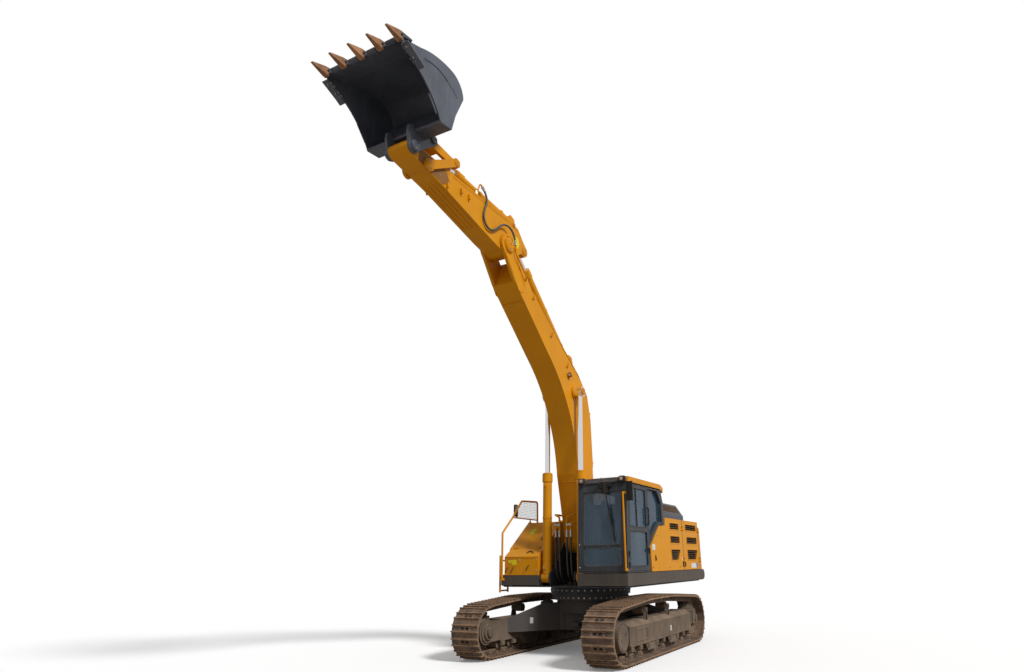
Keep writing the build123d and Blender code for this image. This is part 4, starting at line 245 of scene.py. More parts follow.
@dataclass(frozen=True)
class Coating(Finish):
    """Paint, bare metal or plastic, with dirt that lies on top and near the ground and worn edges."""

    name: str
    colour: Colour
    shade: Colour  # the darker patches
    dust: Colour = (0.30, 0.22, 0.15)
    worn: Colour = (0.30, 0.26, 0.22)
    dusty: float = 0.35  # how much dust lies on level faces
    low: float = 0.0  # how much dirt there is at the ground
    low_top: float = 1.3  # height at which that dirt ends
    mottle: float = 0.35  # share of the darker patches
    wear: float = 0.5  # share of the worn edges
    edge: float = 0.006  # width of a worn edge
    roughness: float = 0.42
    metallic: float = 0.0
    coat: float = 0.0
    grain: float = 60.0  # its fine noise, to the metre
    relief: float = 0.0002  # height of its grain
    streaks: float = 0.15  # share of the runs of dirt
    specular: float = 0.10

    def draw(self, tree: Tree) -> bpy.types.Material:
        """Mixes colour, patches, streaks, dust and worn edges by noise, height and slope."""
        broad = tree.noise(1.3, 6.0).step(0.35, 0.72)
        fine = tree.noise(self.grain, 6.0)
        specks = tree.noise(self.grain * 0.45, 8.0, rough=0.7)
        runs = tree.noise(9.0, 4.0, stretch=(1.0, 1.0, 0.08)).step(0.48, 0.75)
        up = tree.axis("Z", "Normal").step(0.25, 0.95)
        height = tree.axis("Z")
        ground = height.step(self.low_top, 0.1) * self.low
        patch = tree.noise(4.0, 8.0).step(0.3, 0.7)
        lying = up * self.dusty * (patch * 0.7 + 0.3) + ground * (patch * 0.6 + 0.4)
        lying = lying.math("ADD", 0.0, clamp=True)
        rim = tree.edges(self.edge) * specks.step(0.40, 0.62) * self.wear
        colour = tree.blend(broad * self.mottle, self.colour, self.shade)
        colour = tree.blend(runs * self.streaks, colour, self.dust)
        colour = tree.blend(lying, colour, self.dust)
        colour = tree.blend(rim, colour, self.worn)
        rough = (fine * 0.16 + (self.roughness - 0.08) + lying * 0.35).math("MINIMUM", 0.97)
        inputs = {
            "Base Color": colour,
            "Roughness": rough,
            "Normal": tree.bump(fine + broad * 0.3, self.relief),
            "Coat Weight": self.coat,
            "Coat Roughness": 0.12,
            "Specular IOR Level": self.specular,
        }
        inputs["Metallic"] = (1.0 - lying) * self.metallic if self.metallic else 0.0
        return tree.surface(inputs)


@dataclass(frozen=True)
class Rust(Finish):
    """Rolled steel that has rusted and run bright where the ground rubs it."""

    name: str
    deep: Colour = (0.085, 0.050, 0.032)
    light: Colour = (0.30, 0.165, 0.085)
    mud: Colour = (0.26, 0.185, 0.125)
    bright: Colour = (0.42, 0.30, 0.20)
    muddy: float = 0.55
    edge: float = 0.008

    def draw(self, tree: Tree) -> bpy.types.Material:
        """Two rust tones by cells and noise, dried mud in patches, rubbed edges, and a scaly relief."""
        broad = tree.noise(5.0, 8.0, rough=0.62)
        scale = tree.noise(38.0, 8.0, rough=0.65)
        pits = tree.cells(120.0)
        mud = tree.noise(9.0, 9.0, rough=0.68).step(0.47, 0.66)
        rim = tree.edges(self.edge) * scale.step(0.32, 0.58)
        colour = tree.blend(broad.step(0.32, 0.70), self.deep, self.light)
        colour = tree.blend(scale.step(0.55, 0.85) * 0.5, colour, self.light)
        colour = tree.blend(mud * self.muddy, colour, self.mud)
        colour = tree.blend(rim * 0.8, colour, self.bright)
        inputs = {
            "Base Color": colour,
            "Roughness": scale * 0.2 + 0.62 + mud * 0.12,
            "Metallic": rim * 0.5,
            "Normal": tree.bump(scale + pits * 0.5 + mud * 0.8, 0.0016),
        }
        return tree.surface(inputs)


@dataclass(frozen=True)
class Tooth(Rust):
    """A tooth's rusted cap in front of its enamelled adapter, parted by a plane across the tooth."""

    adapter: Colour = (0.050, 0.056, 0.074)
    start: float = 0.035  # where the cap starts, forwards from the lip's edge

    def draw(self, tree: Tree) -> bpy.types.Material:
        """Rust as on other worn steel, and the adapter's enamel behind the plane."""
        material = super().draw(tree)
        shader = next(node for node in tree.nodes if node.type == "BSDF_PRINCIPLED")
        socket = shader.inputs["Base Color"]
        rust = Value(tree, socket.links[0].from_socket)
        edge, further = BUCKET.at(on_tooth(self.start, 0.0, 0.0), on_tooth(self.start + 1.0, 0.0, 0.0))
        ahead = further - edge
        sides = {0: tree.coordinates, 1: ahead}
        along = tree.add("ShaderNodeVectorMath", {"operation": "DOT_PRODUCT"}, sides, "Value")
        place = float(edge @ ahead)
        cap = along.step(place - 0.004, place + 0.004)
        material.node_tree.links.new(tree.blend(cap, self.adapter, rust).socket, socket)
        return material


@dataclass(frozen=True)
class Chrome(Finish):
    """A hard-chromed rod, with faint rings and a film of oil and dust."""

    name: str

    def draw(self, tree: Tree) -> bpy.types.Material:
        """Bright metal whose roughness varies with a fine noise."""
        film = tree.noise(30.0, 6.0).step(0.4, 0.8)
        inputs = {
            "Base Color": tree.blend(film * 0.25, (0.90, 0.90, 0.91), (0.60, 0.54, 0.46)),
            "Metallic": 1.0,
            "Roughness": film * 0.16 + 0.10,
            "Normal": tree.bump(tree.noise(260.0, 2.0), 0.00003),
        }
        return tree.surface(inputs)


@dataclass(frozen=True)
class Glass(Finish):
    """A tinted pane that lets part of the light through, with a film of dust."""

    name: str
    tint: Colour
    alpha: float

    def draw(self, tree: Tree) -> bpy.types.Material:
        """A glossy tinted sheet; dust in soft patches makes it denser and duller."""
        film = tree.noise(1.6, 6.0, stretch=(1.0, 1.0, 0.30)).step(0.45, 0.85)
        inputs = {
            "Base Color": tree.blend(film * 0.30, self.tint, (0.20, 0.24, 0.27)),
            "Roughness": film * 0.06 + 0.02,
            "Alpha": film * 0.12 + self.alpha,
            "Specular IOR Level": 0.7,
            "IOR": 1.52,
        }
        return tree.surface(inputs)


@dataclass(frozen=True)
class Rubber(Finish):
    """Black rubber with fine ribs of its cover and dust in them."""

    name: str
    colour: Colour = (0.022, 0.021, 0.021)

    def draw(self, tree: Tree) -> bpy.types.Material:
        """Dull black with grey dust in patches and a fine pebbled relief."""
        film = tree.noise(7.0, 8.0).step(0.45, 0.8)
        pebble = tree.noise(420.0, 3.0)
        inputs = {
            "Base Color": tree.blend(film * 0.5, self.colour, (0.12, 0.10, 0.085)),
            "Roughness": film * 0.25 + 0.55,
            "Normal": tree.bump(pebble, 0.0002),
        }
        return tree.surface(inputs)


@dataclass(frozen=True)
class Cloth(Finish):
    """Woven seat cloth."""

    name: str
    colour: Colour

    def draw(self, tree: Tree) -> bpy.types.Material:
        """Crossed waves as warp and weft over a soft mottle."""
        weave = tree.wave(90.0, "Y") * tree.wave(90.0, "Z")
        light = tuple(min(1.0, c * 2.2 + 0.02) for c in self.colour)
        inputs = {
            "Base Color": tree.blend(weave * 0.6, self.colour, light),
            "Roughness": 0.92,
            "Sheen Weight": 0.3,
            "Normal": tree.bump(weave, 0.0006),
        }
        return tree.surface(inputs)


@dataclass(frozen=True)
class Lens(Finish):
    """A lamp's or mirror's face: bright, ribbed and glossy."""

    name: str
    colour: Colour
    metallic: float
    ribs: float

    def draw(self, tree: Tree) -> bpy.types.Material:
        """A glossy face with moulded ribs across Y, each rib's crest painted paler as a highlight."""
        rib = tree.wave(self.ribs, "Y")
        inputs = {
            # Paler bands along the ribs: painted highlight.
            "Base Color": tree.blend(rib * 0.25, self.colour, (0.9, 0.9, 0.9)),
            "Metallic": self.metallic,
            "Roughness": 0.12,
            "Coat Weight": 1.0,
            "Normal": tree.bump(rib, 0.0015 if self.ribs > 1 else 0.0),
        }
        return tree.surface(inputs)


AMBER = Coating("amber_enamel", (0.68, 0.278, 0.004), (0.57, 0.220, 0.004), worn=(0.36, 0.17, 0.04),
                dust=(0.36, 0.20, 0.06), dusty=0.14, low=0.06, mottle=0.45, wear=0.40, coat=0.05,
                grain=90.0, relief=0.0001)
AMBER_CAST = Coating("amber_casting", (0.66, 0.265, 0.008), (0.52, 0.195, 0.008), worn=(0.36, 0.18, 0.06),
                     dusty=0.22, low=0.1, mottle=0.6, roughness=0.50, grain=45.0, relief=0.0009)
AMBER_DULL = Coating("stained_enamel", (0.27, 0.125, 0.040), (0.19, 0.095, 0.04), worn=(0.30, 0.20, 0.13),
                     dusty=0.30, mottle=0.8, wear=0.6, roughness=0.62, grain=45.0, relief=0.0006)
GREY = Coating("grey_enamel", (0.050, 0.055, 0.064), (0.036, 0.038, 0.044), worn=(0.17, 0.16, 0.15),
               dusty=0.22, low=0.25, low_top=1.6, mottle=0.5, wear=0.30, grain=80.0)
SKIRT_GREY = Coating("skirt_enamel", (0.088, 0.074, 0.064), (0.062, 0.054, 0.049), dust=(0.20, 0.15, 0.11),
                     worn=(0.22, 0.19, 0.16), low=0.5, low_top=1.7, mottle=0.6, wear=0.35, roughness=0.50,
                     grain=70.0, relief=0.0003)
HOOD_GREY = Coating("hood_enamel", (0.105, 0.108, 0.125), (0.080, 0.083, 0.096), worn=(0.24, 0.23, 0.22),
                    mottle=0.5, wear=0.35, roughness=0.45, grain=80.0)
BLUE_BLACK = Coating("bucket_enamel", (0.088, 0.100, 0.130), (0.045, 0.050, 0.064),
                     dust=(0.27, 0.27, 0.28), worn=(0.30, 0.29, 0.29), dusty=0.25, mottle=0.8, wear=0.7,
                     grain=50.0, relief=0.0005, streaks=0.12, specular=0.4)
FRAME_STEEL = Coating("undercarriage_enamel", (0.105, 0.080, 0.062), (0.060, 0.047, 0.038),
                      dust=(0.26, 0.19, 0.135), worn=(0.27, 0.21, 0.16), dusty=0.65, low=0.65,
                      low_top=1.10, mottle=0.6, wear=0.6, roughness=0.66, grain=45.0, relief=0.0008,
                      streaks=0.35)
# The car body's enamel: the undercarriage enamel with its colour, dust and worn edges drawn darker, as
# painted shade under the house.
SHADED_BODY_STEEL = Coating("car_body_enamel", (0.085, 0.078, 0.076), (0.058, 0.053, 0.052),
                     dust=(0.13, 0.105, 0.085), worn=(0.16, 0.13, 0.11), dusty=0.55, low=0.45,
                     low_top=0.95, mottle=0.6, roughness=0.60, grain=45.0, relief=0.0008, streaks=0.25)
RUSTY = Rust("track_rust", deep=(0.070, 0.048, 0.036), light=(0.20, 0.125, 0.080),
             mud=(0.20, 0.145, 0.105), bright=(0.66, 0.40, 0.22), edge=0.024)
CHAIN = Rust("chain_rust", deep=(0.045, 0.034, 0.028), light=(0.15, 0.095, 0.060), mud=(0.12, 0.09, 0.07),
             bright=(0.40, 0.32, 0.25), edge=0.006)
TOOTH_RUST = Tooth("tooth_rust", deep=(0.22, 0.095, 0.035), light=(0.46, 0.21, 0.085),
                   mud=(0.28, 0.19, 0.12), bright=(0.60, 0.50, 0.43), muddy=0.15, edge=0.016)
CHROME = Chrome("hard_chrome")
CAB_GLASS = Glass("cab_pane", (0.026, 0.072, 0.122), 0.56)
RUBBER = Rubber("black_rubber")
BRAID = Rubber("braided_hose", (0.070, 0.062, 0.056))
SEAT = Cloth("seat_cloth", (0.20, 0.27, 0.34))
PLASTIC = Coating("black_plastic", (0.020, 0.020, 0.021), (0.014, 0.014, 0.015), worn=(0.07, 0.065, 0.06),
                  dusty=0.20, mottle=0.3, wear=0.25, roughness=0.55, grain=140.0)
# Near-black finish for the shoes' mud slots, a grease hole, the carriers' brackets and the tooth pins:
# painted shade where openings would be dark.
PAINTED_SHADE = Coating("dark_recess", (0.012, 0.010, 0.009), (0.008, 0.007, 0.006), dusty=0.10, low=0.05,
               mottle=0.3, wear=0.1, roughness=0.8)
TRIM = Coating("cab_trim", (0.13, 0.135, 0.14), (0.10, 0.105, 0.11), dusty=0.2, wear=0.1, roughness=0.7,
               grain=160.0, relief=0.0003)
ZINC = Coating("zinc_steel", (0.42, 0.41, 0.39), (0.30, 0.27, 0.24), worn=(0.55, 0.53, 0.50), dusty=0.3,
               low=0.2, mottle=0.6, wear=0.4, roughness=0.38, metallic=0.8, grain=120.0)
DRIVE_BOLT = Coating("blackened_bolt", (0.045, 0.036, 0.030), (0.030, 0.025, 0.022), dusty=0.4, low=0.3,
                     mottle=0.5, wear=0.4, roughness=0.5, metallic=0.4, grain=120.0)
GRILLE = Coating("grille_steel", (0.130, 0.080, 0.048), (0.060, 0.040, 0.026), dust=(0.28, 0.20, 0.12),
                 worn=(0.22, 0.15, 0.09), dusty=0.75, mottle=0.6, edge=0.003, roughness=0.6, grain=120.0,
                 relief=0.0003)
EXHAUST = Rust("exhaust_rust", deep=(0.07, 0.05, 0.045), light=(0.16, 0.10, 0.08), muddy=0.1)
CORE = Coating("core_fins", (0.10, 0.095, 0.09), (0.05, 0.047, 0.045), dusty=0.3, roughness=0.5,
               metallic=0.6, grain=200.0, relief=0.0015)
BLOCK = Coating("engine_enamel", (0.16, 0.16, 0.16), (0.10, 0.10, 0.10), dusty=0.4, roughness=0.55,
                grain=50.0, relief=0.0010)
WHITE = Coating("white_label", (0.66, 0.67, 0.66), (0.56, 0.56, 0.54), dusty=0.2, low=0.1, wear=0.2,
                roughness=0.5, grain=90.0, relief=0.0001)
YELLOW_SIGN = Coating("yellow_sign", (0.78, 0.62, 0.015), (0.70, 0.54, 0.012), dusty=0.15, mottle=0.3,
                      wear=0.2, roughness=0.45, grain=90.0, relief=0.0001)
LIME_SIGN = replace(YELLOW_SIGN, name="lime_sign", colour=(0.52, 0.60, 0.03), shade=(0.46, 0.52, 0.03))
BLUE_SIGN = replace(YELLOW_SIGN, name="blue_sign", colour=(0.035, 0.12, 0.36), shade=(0.03, 0.10, 0.30))
MIRROR = Lens("mirror_face", (0.42, 0.48, 0.56), 1.0, 0.5)
LAMP = Lens("lamp_lens", (0.52, 0.33, 0.19), 0.1, 60.0)
RED = Lens("red_reflector", (0.45, 0.012, 0.008), 0.0, 90.0)

NODE_FINISHES: dict[Finish, tuple[str, ...]] = {
    AMBER: ("boom", "stick", "boom_barrel_left", "boom_barrel_right", "arm_barrel", "bucket_barrel",
            "boom_pipes", "stick_pipes", "left_front_door", "left_rear_door", "right_door", "tanks",
            "tool_box", "tool_box_lid", "hand_rails", "cab_roof", "link"),
    AMBER_CAST: ("counterweight", "rocker"),
    GREY: ("revolving_frame", "engine_house", "cab_shell", "cab_door", "cab_fittings"),
    SKIRT_GREY: ("side_skirts",),
    HOOD_GREY: ("engine_hood",),
    BLUE_BLACK: ("bucket",),
    FRAME_STEEL: ("track_frame_left", "track_frame_right", "final_drives", "idlers", "track_rollers"),
    # The car body, its tie-down eyes and the slewing ring wear that darkened copy: painted shade under the
    # house.
    SHADED_BODY_STEEL: ("car_body", "tie_down_eyes", "slew_ring"),
    RUSTY: ("track_left", "track_right"),
    TOOTH_RUST: ("bucket_teeth",),
    CHROME: ("boom_rod_left", "boom_rod_right", "arm_rod", "bucket_rod"),
    CAB_GLASS: ("cab_glass", "cab_door_glass"),
    PLASTIC: ("mirrors",),
    CORE: ("cooling_pack",),
    BLOCK: ("engine",),
}


# ------------------------------------------------------------------------------------------- shapes

Vector = Sequence[float]
Outline = Union[np.ndarray, Sequence[Vector]]
X, Y, Z = np.eye(3)
SIDES = (("left", 1.0), ("right", -1.0))
BOTH = (1.0, -1.0)


def unit(vectors: np.ndarray) -> np.ndarray:
    """Vectors of length 1 in the same directions."""
    vectors = np.asarray(vectors, float)
    return vectors / np.linalg.norm(vectors, axis=-1, keepdims=True)


def bases(axes: np.ndarray) -> np.ndarray:
    """A right-handed frame for each axis, its third column along the axis.

    Args:
        axes: directions, one to a row.
    Returns:
        One 3 by 3 matrix for each, whose first column is level where it can be.
    """
    w = unit(np.atleast_2d(axes))
    guide = np.where(np.abs(w[:, 2:3]) > 0.95, X, Z)
    u = unit(np.cross(guide, w))
    return np.stack([u, np.cross(w, u), w], axis=2)


def ring(count: int, start: float = 0.0) -> np.ndarray:
    """Points spaced evenly round the unit circle, the first at the start angle in radians."""
    turn = start + np.arange(count) * 2 * math.pi / count
    return np.stack([np.cos(turn), np.sin(turn)], axis=1)


def circle(centre: Vector, radius: float, count: int, axis: Vector, start: float = 0.0) -> np.ndarray:
    """Points spaced evenly round a circle about an axis, the first at the start angle in radians."""
    return radius * ring(count, start) @ bases(axis)[0][:, :2].T + np.asarray(centre, float)


def rounded(outline: Outline, radius: float, steps: int = 5) -> np.ndarray:
    """A closed flat outline whose corners are arcs of about that radius.

    An arc starts and ends at radius / tan(half the corner's angle) from the corner, or at 0.45 of the
    shorter side there, and its points blend the two ends and the corner as a quadratic curve.
    """
    corners = np.asarray(outline, float)
    to_next, to_last = np.roll(corners, -1, axis=0) - corners, np.roll(corners, 1, axis=0) - corners
    ahead, behind = np.linalg.norm(to_next, axis=1), np.linalg.norm(to_last, axis=1)
    angle = np.arccos(np.clip(np.sum(unit(to_next) * unit(to_last), axis=1), -0.999, 0.999))
    reach = np.minimum(radius / np.tan(angle / 2), 0.45 * np.minimum(ahead, behind))[:, None]
    start, stop = corners + unit(to_last) * reach, corners + unit(to_next) * reach
    share = np.linspace(0, 1, steps)[None, :, None]
    middle = 2 * share * (1 - share) * corners[:, None]
    return ((1 - share) ** 2 * start[:, None] + middle + share**2 * stop[:, None]).reshape(-1, 2)


def rectangle(x0: float, y0: float, x1: float, y1: float, radius: float = 0.0) -> np.ndarray:
    """A flat rectangle between two corners, rounded where a radius is given."""
    corners = np.array([(x0, y0), (x1, y0), (x1, y1), (x0, y1)], float)
    return rounded(corners, radius) if radius else corners


def tile(width: float, height: float, radius: float = 0.0) -> np.ndarray:
    """A flat rectangle about its middle."""
    return rectangle(-width / 2, -height / 2, width / 2, height / 2, radius)


def bar(half: float, foot: float, top: float, height: float) -> np.ndarray:
    """A strip's section: half its width at the foot's level, and half its width at its top's height."""
    return np.array([(-half, foot), (half, foot), (top, height), (-top, height)])


def laid(flat: Outline, origin: Vector, u: Vector, v: Vector) -> np.ndarray:
    """A flat outline's points: the origin, plus its coordinates times the unit vectors u and v."""
    flat = np.asarray(flat, float)
    return np.asarray(origin, float) + flat[:, :1] * unit(u) + flat[:, 1:] * unit(v)


class Shape:
    """Points and faces gathered for one piece."""

    def __init__(self) -> None:
        """Starts empty."""
        self.points: list[np.ndarray] = []
        self.faces: list[list[int]] = []
        self.count = 0

    def put(self, points: Outline, faces: list) -> "Shape":
        """Adds points, and faces that count from the first of them."""
        self.points.append(np.asarray(points, float).reshape(-1, 3))
        self.faces += [[k + self.count for k in face] for face in faces]
        self.count += len(self.points[-1])
        return self

    def grid(
        self, points: np.ndarray, round_u: bool = False, round_v: bool = False, caps: bool = False
    ) -> "Shape":
        """Adds a surface given as a grid of points.

        Args:
            points: the grid, rows by columns by 3.
            round_u: whether the last row joins the first.
            round_v: whether the last column joins the first.
            caps: whether the first and last rows are closed by a face each.
        Returns:
            This shape.
        """
        rows, columns = points.shape[:2]
        i = np.arange(rows if round_u else rows - 1)
        j = np.arange(columns if round_v else columns - 1)
        i, j = np.meshgrid(i, j, indexing="ij")
        after_i, after_j = (i + 1) % rows, (j + 1) % columns
        corners = [i * columns + j, i * columns + after_j, after_i * columns + after_j, after_i * columns + j]
        faces = np.stack(corners, axis=-1).reshape(-1, 4).tolist()
        if caps:
            last = (rows - 1) * columns
            faces = [list(range(columns))[::-1], list(range(last, last + columns))] + faces
        return self.put(points, faces)

    def copies(self, small: "Shape", places: Outline, turns: np.ndarray) -> "Shape":
        """Adds one copy of a small shape at each place, turned by each matrix.

        Each copy's points are its matrix times the small shape's points, plus its place.
        """
        places = np.atleast_2d(np.asarray(places, float))
        points = np.vstack(small.points)
        moved = np.einsum("nij,kj->nki", np.broadcast_to(turns, (len(places), 3, 3)), points)
        starts = range(0, len(places) * small.count, small.count)
        faces = [[k + start for k in face] for start in starts for face in small.faces]
        return self.put(moved + places[:, None, :], faces)

    def slab(self, outline: Outline, origin: Vector, u: Vector, v: Vector, depth: np.ndarray) -> "Shape":
        """Adds a plate: an outline in the plane of u and v, carried by the vector depth."""
        near = laid(outline, origin, u, v)
        return self.grid(np.stack([near, near + depth]), round_v=True, caps=True)

    def box(self, one: np.ndarray, other: np.ndarray) -> "Shape":
        """Adds a block between two opposite corners."""
        return self.slab(rectangle(*one[:2], *other[:2]), Z * one[2], X, Y, Z * (other[2] - one[2]))

    def turned(self, profile: Outline, places: Outline, axis: Vector, steps: int = 24) -> "Shape":
        """Adds a round form at each place, a profile of heights along an axis and radii, turned about it.

        A profile that doesn't start or end at radius 0 is closed by a flat face there.
        """
        profile = np.asarray(profile, float)
        rows = [np.column_stack([ring(steps) * radius, np.full(steps, height)]) for height, radius in profile]
        return self.copies(Shape().grid(np.array(rows), round_v=True, caps=True), places, bases(axis))

    def carried(
        self, section: np.ndarray, path: Outline, closed: bool = False, up: Vector = (0, 0, 1)
    ) -> "Shape":
        """Adds a closed section carried along a path of points.

        At each point the section stands across the mean of the two runs' directions, its first
        coordinate along direction cross up and its second across both. At a corner it is widened, in
        the plane of the turn, by 1 over the cosine of half the turn, so that each run keeps its width.
        """
        path = np.asarray(path, float)
        runs = unit(np.diff(np.vstack([path, path[:1]]) if closed else path, axis=0))
        before = np.vstack([runs[-1:] if closed else runs[:1], runs[: len(path) - 1]])
        after = runs[: len(path)] if closed else np.vstack([runs, runs[-1:]])
        along = unit(before + after)
        across = unit(np.cross(along, np.asarray(up, float)))
        over = np.cross(across, along)
        offsets = section[None, :, :1] * across[:, None] + section[None, :, 1:] * over[:, None]
        bend = after - before
        bend = bend / np.maximum(np.linalg.norm(bend, axis=1, keepdims=True), 1e-9)
        widen = 1 / np.clip(np.sum(along * after, axis=1), 0.5, 1.0) - 1
        inward = np.einsum("pij,pj->pi", offsets, bend)
        offsets = offsets + (inward * widen[:, None])[..., None] * bend[:, None]
        return self.grid(path[:, None] + offsets, round_u=closed, round_v=True, caps=not closed)

    def tube(self, path: Outline, radius: float, steps: int = 12, up: Vector = (0.05, 0.1, 1)) -> "Shape":
        """Adds a round tube along a path of points."""
        return self.carried(ring(steps) * radius, path, up=up)

    def rim(self, outline: Outline, out: Vector, width: float, height: float) -> "Shape":
        """Adds a bevelled strip round a closed outline, standing so high outwards."""
        half, inner, shoulder = width / 2, width * 0.32, height * 0.6
        section = [(-half, -0.001), (half, -0.001), (half, shoulder), (inner, height), (-inner, height),
                   (-half, shoulder)]
        return self.carried(np.array(section), outline, closed=True, up=out)

    def pad(self, outline: Outline, origin: Vector, out: Vector, layers: Outline, up: Vector = Z) -> "Shape":
        """Adds a form built up in layers of one outline.

        Args:
            outline: the outline, its first coordinate along up cross out and its second along up.
            origin: where its coordinates start.
            out: the direction in which the layers rise.
            layers: for each layer its height, and how far its outline is drawn in.
            up: the direction of the outline's second coordinate.
        Returns:
            This shape.
        """
        flat = np.asarray(outline, float)
        area = np.sum(flat[:, 0] * np.roll(flat[:, 1], -1) - flat[:, 1] * np.roll(flat[:, 0], -1))
        ways = unit(np.roll(flat, -1, axis=0) - np.roll(flat, 1, axis=0)) * math.copysign(1.0, area)
        inward = np.stack([-ways[:, 1], ways[:, 0]], axis=1)
        across = np.cross(up, out)
        rows = [laid(flat + inward * inset, origin, across, up) + unit(out) * high for high, inset in layers]
        return self.grid(np.array(rows), round_v=True, caps=True)

    def bolts(self, places: Outline, axes: Outline, radius: float, height: float = 0.0) -> "Shape":
        """Adds hexagon bolt heads on washers at each place, standing along each axis."""
        height = height or radius * 0.8
        head = [(0.0, radius), (height * 0.8, radius), (height, radius * 0.86)]
        washer = [(0.0, radius * 1.35), (height * 0.22, radius * 1.35)]
        return self.turned(head, places, axes, 6).turned(washer, places, axes, 10)

    def piece(self, name: str, finish: Finish, body: str = "upper", smooth: float = 35.0) -> bpy.types.Object:
        """Makes the gathered shape an object that rides on a body.

        Args:
            name: the object's name.
            finish: its finish.
            body: the body that it rides on.
            smooth: edges sharper than so many degrees stay crisp.
        Returns:
            The object.
        """
        mesh = bpy.data.meshes.new(name)
        mesh.from_pydata(np.vstack(self.points), [], self.faces)
        work = bmesh.new()
        work.from_mesh(mesh)
        bmesh.ops.remove_doubles(work, verts=work.verts, dist=1e-6)
        bmesh.ops.recalc_face_normals(work, faces=work.faces)
        work.to_mesh(mesh)
        work.free()
        mesh.polygons.foreach_set("use_smooth", np.ones(len(mesh.polygons), bool))
        mesh.set_sharp_from_angle(angle=math.radians(smooth))
        mesh.materials.append(finish.material())
        made = bpy.data.objects.new(name, mesh)
        bpy.context.scene.collection.objects.link(made)
        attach(made, body)
        log.info("%s on %s: %d faces", name, body, len(mesh.polygons))
        return made


def pad_piece(
    name: str, centre: np.ndarray, turn: np.ndarray, half: Vector, finish: Finish, body: str
) -> bpy.types.Object:
    """A crowned cushion: two swelling sheets that meet at a rounded rim, with two sewn channels.

    A point (u, v) of the square goes to (u, v) times max(|u|, |v|) over their norm of power 6, which
    rounds the corners. Its height is (1 - max^4)^(1/2.2), less up to a seventh along each channel, and
    the sides are drawn in by up to a thirtieth at their middles.

    Args:
        name: the object's name.
        centre: the middle of the cushion.
        turn: its frame, the third column towards its crowned face.
        half: half its length, width and thickness.
        finish: its cloth.
        body: the body that it rides on.
    Returns:
        The object.
    """
    line = np.sin(np.linspace(-math.pi / 2, math.pi / 2, 45))
    u, v = np.meshgrid(line, line, indexing="ij")
    most = np.maximum(np.abs(u), np.abs(v))
    norm = np.maximum((np.abs(u) ** 6 + np.abs(v) ** 6) ** (1 / 6), 1e-9)
    u, v = u * most / norm, v * most / norm
    high = np.clip(1 - most**4, 0, 1) ** (1 / 2.2)
    channel = 1 - 0.14 * (np.exp(-(((v - 0.5) / 0.07) ** 2)) + np.exp(-(((v + 0.5) / 0.07) ** 2)))
    x, y = half[0] * u * (1 - 0.033 * (1 - v**2)), half[1] * v * (1 - 0.033 * (1 - u**2))
    shape = Shape()
    for side, crown in ((1.0, channel), (-0.8, 1.0)):
        local = np.stack([x, y, side * half[2] * high * crown], axis=2)
        shape.grid(local @ np.asarray(turn).T + centre)
    return shape.piece(name, finish, body, 60)


def node_reach(node: str, place: np.ndarray, sign: float, radius: float = 0.13) -> np.ndarray:
    """A point beside a place, as far to the left or right as a solid reaches within a radius of it."""
    made = frame["nodes"][node]
    flat = np.empty(len(made.data.vertices) * 3)
    made.data.vertices.foreach_get("co", flat)
    matrix = np.array(made.matrix_world)
    points = flat.reshape(-1, 3) @ matrix[:3, :3].T + matrix[:3, 3]
    near = np.hypot(points[:, 0] - place[0], points[:, 2] - place[2]) < radius
    return np.array([place[0], (points[near, 1] * sign).max() * sign, place[2]])


# ------------------------------------------------------------------------------------------- places

JOINTS = {joint["name"]: joint for joint in frame["record"]["behaviour"]["joints"]}
SLEW_X = JOINTS["slew"]["pos_m"][0]


def at(x: float, y: float, z: float) -> np.ndarray:
    """A point whose X is counted from the slewing axis."""
    return np.array([SLEW_X + x, y, z], float)


def spots(*points: Vector) -> np.ndarray:
    """Points whose X is counted from the slewing axis, in rows."""
    return np.array([at(*point) for point in points])


@dataclass(frozen=True)
class Member:
    """One member of the digging arm, with its own frame: along it, to its left, and above it."""

    body: str
    pivot: str  # the joint at its root
    end: Optional[str]  # the joint at its tip
    lean: float = 0.0  # degrees, for a member with no joint at its tip

    @property
    def origin(self) -> np.ndarray:
        """Its root pivot, in the middle plane of the arm."""
        x, _, z = JOINTS[self.pivot]["pos_m"]
        return np.array([x, ARM_Y, z])

    @property
    def turn(self) -> np.ndarray:
        """The matrix whose columns are along the member, to its left, and above it."""
        angle = math.radians(self.lean)
        if self.end:
            here, there = np.array(JOINTS[self.pivot]["pos_m"]), np.array(JOINTS[self.end]["pos_m"])
            angle = math.atan2(there[2] - here[2], there[0] - here[0])
        c, s = math.cos(angle), math.sin(angle)
        return np.array([[c, 0.0, -s], [0.0, 1.0, 0.0], [s, 0.0, c]])

    def at(self, *points: Vector) -> np.ndarray:
        """Points of the member's own frame, in the machine's: one row each, or one point alone."""
        made = np.array(points, float) @ self.turn.T + self.origin
        return made if len(points) > 1 else made[0]


@dataclass(frozen=True)
class Slope:
    """A sloped face across the machine, from its lower edge to its higher one, both in X and Z."""

    low: tuple[float, float]
    high: tuple[float, float]

    @property
    def up(self) -> np.ndarray:
        """The way up the slope."""
        x, z = unit(np.subtract(self.high, self.low))
        return np.array([x, 0.0, z])

    @property
    def out(self) -> np.ndarray:
        """The way out of it, forwards and upwards."""
        x, _, z = self.up
        return np.array([z, 0.0, -x])

    def at(self, along: float, y: float, lift: float = 0.0) -> np.ndarray:
        """A point so far up the slope, at a Y, and so high above it."""
        return at(self.low[0], y, self.low[1]) + self.up * along + self.out * lift


ARM_Y = -0.075
BOOM = Member("boom", "boom_lift", "stick_crowd")
STICK = Member("stick", "stick_crowd", "bucket_curl")
BUCKET = Member("bucket", "bucket_curl", None, 39.1)
HOSE_LANES = tuple(ARM_Y + end for end in (-0.100, -0.190, 0.075, 0.165))


